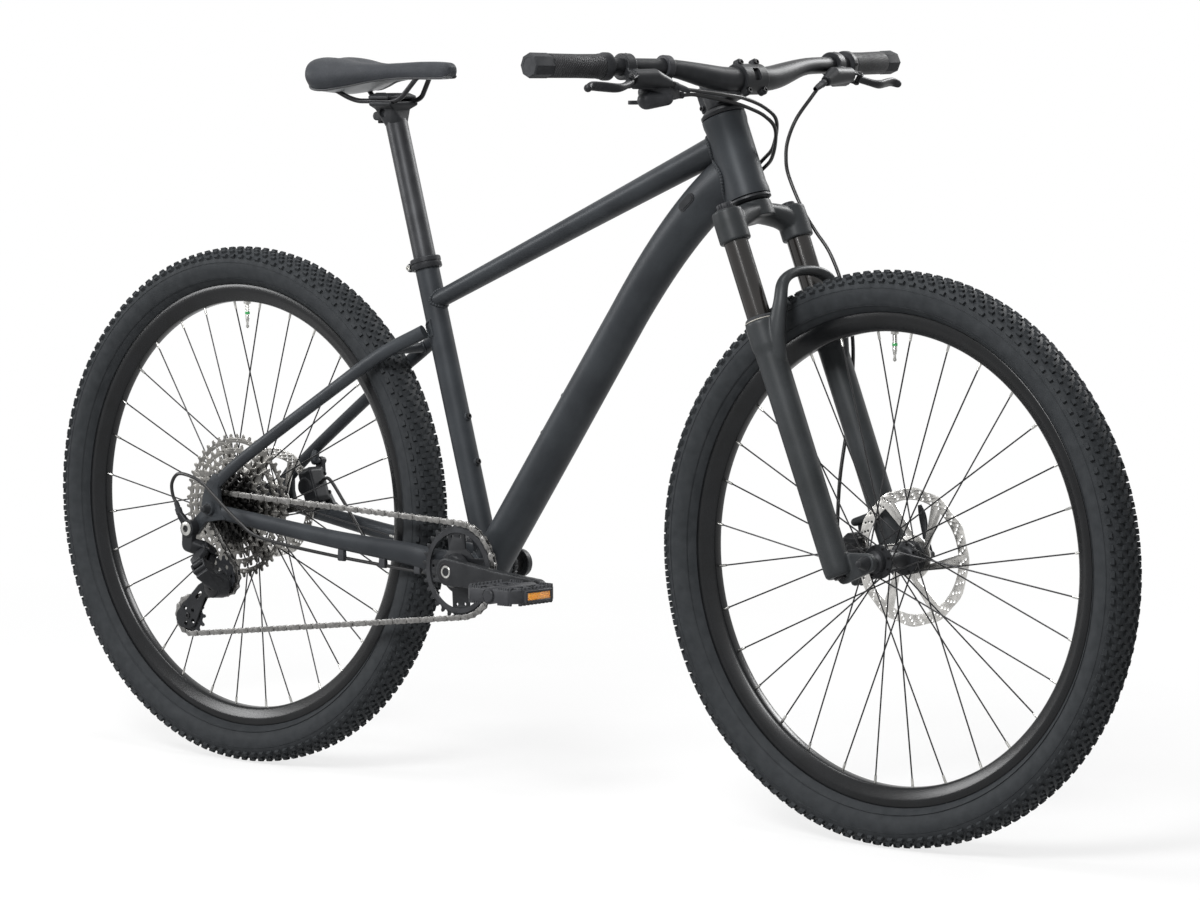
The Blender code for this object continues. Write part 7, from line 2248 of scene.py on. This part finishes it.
def crank_arm(hand, name):
    """Forged arm from the spindle to the pedal axle, with the spindle's end cap."""
    end = crank_end(hand)
    along = (end - bottom_bracket).normalized()
    inner, thick, flare = (hand * size * Y for size in (CRANK_INNER, CRANK_THICK, CRANK_FLARE))
    waist = bottom_bracket + along * CRANK * 0.55 + inner + flare * 0.6
    solids = [
        rod(bottom_bracket + inner, bottom_bracket + inner + thick, 0.0215, 0.019, 64),
        hull(rod(bottom_bracket + inner, bottom_bracket + inner + thick, 0.019, sides=48),
             rod(waist, waist + thick * 0.95, 0.014, sides=40)),
        hull(rod(waist, waist + thick * 0.95, 0.014, sides=40),
             rod(end + inner + flare, end + inner + flare + thick, 0.0135, sides=48)),
    ]
    if hand < 0:
        spider = bottom_bracket + RING_PLANE * Y
        solids.append(rod(spider - 0.0036 * Y, bottom_bracket - 0.068 * Y, 0.0245, 0.0225, 64))
    shape = cast(solids, 0.001, 6)
    piece("crank_forging_" + name, shape, "crank", black_alloy, ["crank_" + name], 50)
    flat = end + inner + flare + thick
    face = bottom_bracket + inner + thick
    hexagon = [(0.0046, 0), (0.0072, 0), (0.0072, 0.003), (0.006, 0.0038), (0.0046, 0.0038)]
    cap = [(0.0088, 0.0012), (0.008, 0.0018), (0.0058, 0.0016), (0.0052, -0.002), (0, -0.002)]
    axle = [
        rod(end + inner + flare, flat + hand * 0.086 * Y, 0.0046, sides=32),
        turned(hexagon, placed(flat, hand * Y), 6),
        turned(cap, placed(face - hand * 0.0004 * Y, hand * Y), 32),
    ]
    piece("pedal_spindle_" + name, axle, "crank", steel)
    collar = turned(
        [(0.0128, -0.001), (0.0128, 0.0006), (0.012, 0.0012), (0.0088, 0.001), (0.0088, -0.001)],
        placed(face, hand * Y), 48,
    )
    bits = [collar, rod(bottom_bracket, bottom_bracket + inner * 1.05, 0.0119, sides=48)]
    if hand > 0:
        over = Vector((-along.z, 0, along.x))
        for shift in (0.012, 0.024):
            spot = bottom_bracket + along * 0.016 + inner + thick * 0.5
            bits.append(
                socket_bolt(spot + over * 0.0165 + along * (shift - 0.018), over, 0.0036, 0.0024)
            )
    piece("crank_trim_" + name, bits, "crank", dark_steel)


def chainring(phase):
    """Toothed ring on four broad arms round the crank, with small milled pockets."""
    root = pitch_radius(RING_TEETH) - 0.0115
    outlines = [toothed(RING_TEETH, phase), circle((0, 0), 0.02, 48)]
    for i in range(4):
        start = 90 * i + 22
        outlines.append(
            arc((0, 0), root, start, start + 56, 14)
            + arc((0, 0), 0.0325, start + 46, start + 12, 8)
        )
    for i in range(4):
        for lean in (-9, 9):
            angle = math.radians(90 * i + 5 + lean)
            outlines.append(circle(polar(0.047, angle), 0.0022, 14))
    ring = plate(outlines, 0.0026, flat_on(bottom_bracket, RING_PLANE), 0.0004)
    lip = turned(
        [
            (root - 0.0012, -0.003), (root + 0.0052, -0.003), (root + 0.0062, -0.0012),
            (root - 0.0012, -0.0012),
        ],
        placed(bottom_bracket + RING_PLANE * Y, Y), 96, closed=True,
    )
    piece("chainring_plate", [ring, lip], "crank", black_alloy, ["chainring"], 30)


def pedal(hand, name):
    """Moulded platform with toothed edges, its core, an end cap and amber reflectors."""
    end = crank_end(hand)
    start = CRANK_INNER + CRANK_THICK + CRANK_FLARE + 0.004
    middle = end + hand * (start + 0.044) * Y
    long, wide = 0.048, 0.044
    outline = [
        (long - 0.014, -wide), (long - 0.006, -wide + 0.006), (long, -wide + 0.02),
        (long, wide - 0.02), (long - 0.006, wide - 0.006), (long - 0.016, wide),
        (-long + 0.016, wide), (-long + 0.006, wide - 0.006), (-long, wide - 0.02),
        (-long, -wide + 0.02), (-long + 0.006, -wide + 0.006), (-long + 0.014, -wide),
    ]
    windows = []
    for s in (-1, 1):
        for low, high in ((-0.032, -0.012), (-0.008, 0.008), (0.012, 0.032)):
            windows.append(
                [(s * 0.0145, low), (s * 0.034, low), (s * 0.034, high), (s * 0.0145, high)]
            )
    parts = [plate([outline, *windows], 0.018, placed(middle, Z, X), 0.0012)]
    parts.append(rod(middle - wide * Y, middle + wide * Y, 0.0115, sides=40, soft=0.0008))
    cap = middle + hand * wide * Y
    parts.append(
        turned(
            [(0.0085, 0), (0.0085, 0.0014), (0.0075, 0.0022), (0, 0.0024)], placed(cap, hand * Y),
            32,
        )
    )
    for s in (-1, 1):
        for up in (-1, 1):
            for i in range(9):
                spot = middle + Vector((s * (long - 0.0042), -0.03 + 0.0075 * i, up * 0.0085))
                tooth = tread_knob(0.0036, 0.0046, 0.0042)
                tooth.transform(placed(spot, up * Z, X))
                parts.append(tooth)
            for i in range(6):
                spot = middle + Vector(
                    (s * (0.016 + 0.004 * i), up * wide * 0.95 if i < 5 else up * wide * 0.93, 0)
                )
                for level in (-1, 1):
                    tooth = tread_knob(0.0034, 0.003, 0.004)
                    tooth.transform(placed(spot + Z * level * 0.0085, level * Z, X))
                    parts.append(tooth)
    piece("pedal_platform_" + name, parts, "pedal_" + name, plastic, ["pedal_" + name], 30)
    lenses, frames = [], []
    for s in (-1, 1):
        spot = middle + Vector((s * (long + 0.0006), 0, 0))
        lenses.append(block(spot, (0.0032, 0.046, 0.0105), soft=0.0007))
        for level in (-1, 1):
            frames.append(block(spot + Z * level * 0.0066, (0.005, 0.05, 0.003), soft=0.0006))
        for side in (-1, 1):
            frames.append(block(spot + Y * side * 0.0245, (0.005, 0.0035, 0.0155), soft=0.0006))
    piece("pedal_reflectors_" + name, lenses, "pedal_" + name, amber)
    piece("reflector_frames_" + name, frames, "pedal_" + name, plastic)


# Rear derailleur


def shift_axes():
    """The way the cage travels across the cogs, the links' mean way and their pivot axis."""
    travel = (Y - 0.59 * Z).normalized()
    lean = Vector((0.6, 0, -0.8))
    mean = (lean - lean.dot(travel) * travel).normalized()
    return travel, mean, mean.cross(travel)


def link_pivots():
    """Pivots of the outer and inner links on the fixed knuckle, and the links' vector at rest."""
    travel, mean, _ = shift_axes()
    centre = rear_point(-0.012, -0.068, -0.074)
    half = math.radians(31)
    vector = LINK_LENGTH * (math.cos(half) * mean - math.sin(half) * travel)
    return centre - 0.0085 * travel, centre + 0.0085 * travel, vector


def knuckle(pivots, back):
    """Two cheeks for a pair of links, and the block behind the pins that joins them."""
    axis = shift_axes()[2]
    solids, posts = [], []
    for side in (-1, 1):
        low, high = axis * side * 0.0083, axis * side * 0.0112
        cheek = [rod(p + low, p + high, 0.0048, sides=24) for p in pivots]
        rear = [
            rod(p + back * 0.0085 + low, p + back * 0.0085 + high, 0.003, sides=16) for p in pivots
        ]
        solids.append(hull(*cheek, *rear))
    for p in pivots:
        spot = p + back * 0.0098
        posts.append(pin(spot, axis, 0.0106, 0.0036, 16))
    solids.append(hull(*posts))
    return solids


def derailleur():
    """Knuckle on the hanger, the two links, and the clutch body that they carry."""
    travel, mean, axis = shift_axes()
    outer, inner, vector = link_pivots()
    face = -(REAR_DROP + 0.0083)
    bolt, elbow = rear_point(-0.034, -0.03), rear_point(-0.036, -0.053)
    middle = (outer + inner) / 2 - mean * 0.0105
    stop, cable = cable_stop()
    solids = [
        *knuckle((outer, inner), -mean),
        crossbar(bolt, face, face - 0.014, 0.0125, 40),
        hull(crossbar(bolt, face - 0.003, face - 0.012, 0.011),
             crossbar(elbow, face - 0.003, face - 0.012, 0.01)),
        hull(crossbar(elbow, face - 0.003, face - 0.012, 0.01),
             block(middle, (0.014, 0.014, 0.016), axis, travel)),
        hull(rod(stop + cable * 0.001, stop + cable * 0.008, 0.0044, sides=24),
             crossbar(bolt, face - 0.004, face - 0.011, 0.007)),
    ]
    piece(
        "derailleur_knuckle", cast(solids, 0.0006, 3), "frame", black_alloy, ["derailleur_mount"],
        45,
    )
    spot = bolt + (face - 0.014) * Y
    bits = [
        turned(
            [
                (0.0098, -0.001), (0.0098, 0.0012), (0.0086, 0.002), (0.005, 0.002),
                (0.0044, -0.001), (0, -0.001),
            ],
            placed(spot, -Y), 36,
        )
    ]
    bits += [pin(p, axis, 0.0118, 0.0024, 20) for p in (outer, inner)]
    piece("derailleur_pins", bits, "frame", steel)
    for name, start in (("derailleur_outer_link", outer), ("derailleur_inner_link", inner)):
        ends = [pin(p, axis, 0.0078, 0.0046) for p in (start, start + vector)]
        side = -1 if name == "derailleur_outer_link" else 1
        bow = start + vector * 0.5 + travel * side * 0.0016
        skin = [hull(*ends, pin(bow, axis, 0.0074, 0.0042))]
        if side < 0:
            cover = ((0.06, 0.0076), (0.45, 0.0135), (0.88, 0.0076))
            skin.append(
                hull(
                    *[
                        pin(start + vector * share - travel * 0.0052, axis, reach, 0.0036, 20)
                        for share, reach in cover
                    ]
                )
            )
        piece(name + "_bar", cast(skin, 0.0006, 3), name, black_alloy, [name], 45)
    pivots = (outer + vector, inner + vector)
    pivot = cage_pivot()
    near = pivot - Y * 0.0105
    middle = (pivots[0] + pivots[1]) / 2 + mean * 0.0105
    solids = [
        *knuckle(pivots, mean),
        rod(near, pivot - Y * 0.03, 0.0178, 0.016, 48),
        hull(rod(near - Y * 0.004 + X * 0.008, pivot - Y * 0.028 + X * 0.008, 0.009, sides=24),
             block(middle + mean * 0.003, (0.014, 0.011, 0.02), axis, travel)),
    ]
    piece("derailleur_clutch_body", cast(solids, 0.0006, 3), "derailleur_body", black_alloy,
          ["derailleur_body"], 45)
    cover = turned(
        [
            (0.014, -0.001), (0.014, 0.001), (0.0128, 0.0019), (0.0046, 0.0019), (0.004, -0.0004),
            (0, -0.0004),
        ],
        placed(pivot - Y * 0.03, -Y), 40,
    )
    pins = [pin(p, axis, 0.0118, 0.0024, 20) for p in pivots]
    piece("derailleur_cover", [cover, *pins], "derailleur_body", dark_steel)


def derailleur_cage(cage_angle, discs):
    """Two plates either side of the pulleys, with their bolts and the stub that they turn on."""
    pivot = cage_pivot()
    guide, tension = discs[3][0], discs[2][0]
    reach = heading(cage_angle)
    side = Vector((-reach.z, 0, reach.x))
    cage, hardware = [], []
    for low, high in ((-0.0072, -0.0052), (0.0052, 0.0068)):
        front = low < 0
        head, waist, foot = (0.015, 0.01, 0.0185) if front else (0.0075, 0.0065, 0.0095)
        bend = (guide + tension) / 2 - side * 0.01
        tail = tension + reach * (0.01 if front else 0) - side * (0.004 if front else 0)
        spots = {"guide": (guide, 0.0085), "pivot": (pivot, head), "bend": (bend, waist)}
        spots.update({"tension": (tension, foot), "tail": (tail, foot * 0.78)})
        solids = []
        for names in (
            ("guide", "pivot"), ("guide", "bend"), ("pivot", "bend"), ("bend", "tension", "tail")
        ):
            solids.append(hull(*[crossbar(spot, low, high, wide, 32)
                                 for spot, wide in (spots[name] for name in names)]))
        shape = cast(solids, 0.0005, 2)
        windows = []
        for share, shift in ((0.34, 0.006), (0.6, 0.005)):
            spot = guide.lerp(tension, share) - side * 0.0085
            windows.append(
                hull(*[pin(spot + reach * way, Y, 0.02, 0.003, 20) for way in (-shift, shift)])
            )
        if front:
            for turn in (0.5, 1.8, 3.1, 4.4):
                spot = tension + 0.0125 * (reach * math.cos(turn) + side * math.sin(turn))
                windows.append(pin(spot, Y, 0.02, 0.0034, 20))
        cage.append(carve(shape, windows))
    cage.append(rod(pivot - 0.01 * Y, pivot - 0.006 * Y, 0.012, sides=48))
    piece("derailleur_cage_plates", cage, "derailleur_cage", black_alloy, ["derailleur_cage"], 40)
    for spot in (guide, tension):
        hardware.append(pin(spot, Y, 0.007, 0.0028))
        hardware.append(socket_bolt(spot - 0.0071 * Y, -Y, 0.0042, 0.0016))
    piece("pulley_bolts", hardware, "derailleur_cage", dark_steel)


def pulleys(discs, phases):
    """Toothed and drilled guide and tension pulleys."""
    for name, wheel, phase in (
        ("guide_pulley", discs[3], phases[3]), ("tension_pulley", discs[2], phases[2])
    ):
        outlines = [toothed(PULLEY_TEETH, phase), circle((0, 0), 0.0033, 24)]
        for k in range(5):
            angle = TAU * k / 5
            outlines.append(circle(polar(0.0128, angle), 0.0034, 16))
        disc = plate(outlines, 0.0024, flat_on(wheel[0], COG_PLANE), 0.0003)
        boss = turned(mirrored([(0.0033, 0.0046), (0.007, 0.0046), (0.0078, 0.0036)]),
                      placed(Vector((wheel[0].x, COG_PLANE, wheel[0].z)), Y), 40, closed=True)
        piece(name + "_wheel", [disc, boss], name, plastic, [name], 30)


studio_floor()
studio_light()
photo_camera()
main_frame()
stays()
headset()
seat_collar()
bottom_bracket_cups()
wheels()
skewer("rear_axle", "rear_wheel", rear_axle, REAR_DROP + DROPOUT_THICK, 0.0085)
crown_and_stanchions()
fork_lower_legs()
stem_and_bar()
for hand, name in SIDES:
    grip(hand, name)
    brake_control(hand, name)
    crank_arm(hand, name)
    pedal(hand, name)
shifter()
front_lines()
stay_lines()
seat_support()
saddle()
cage_turn, link_count = fitted_cage_angle()
chain_line = chain_course(cage_turn)
chain_discs = chain_wheels(cage_turn)
chain_phases = [wheel_phase(chain_line, disc[0]) for disc in chain_discs]
chain(chain_line, link_count)
cassette(chain_phases[0])
chainring(chain_phases[1])
derailleur()
derailleur_cage(cage_turn, chain_discs)
pulleys(chain_discs, chain_phases)
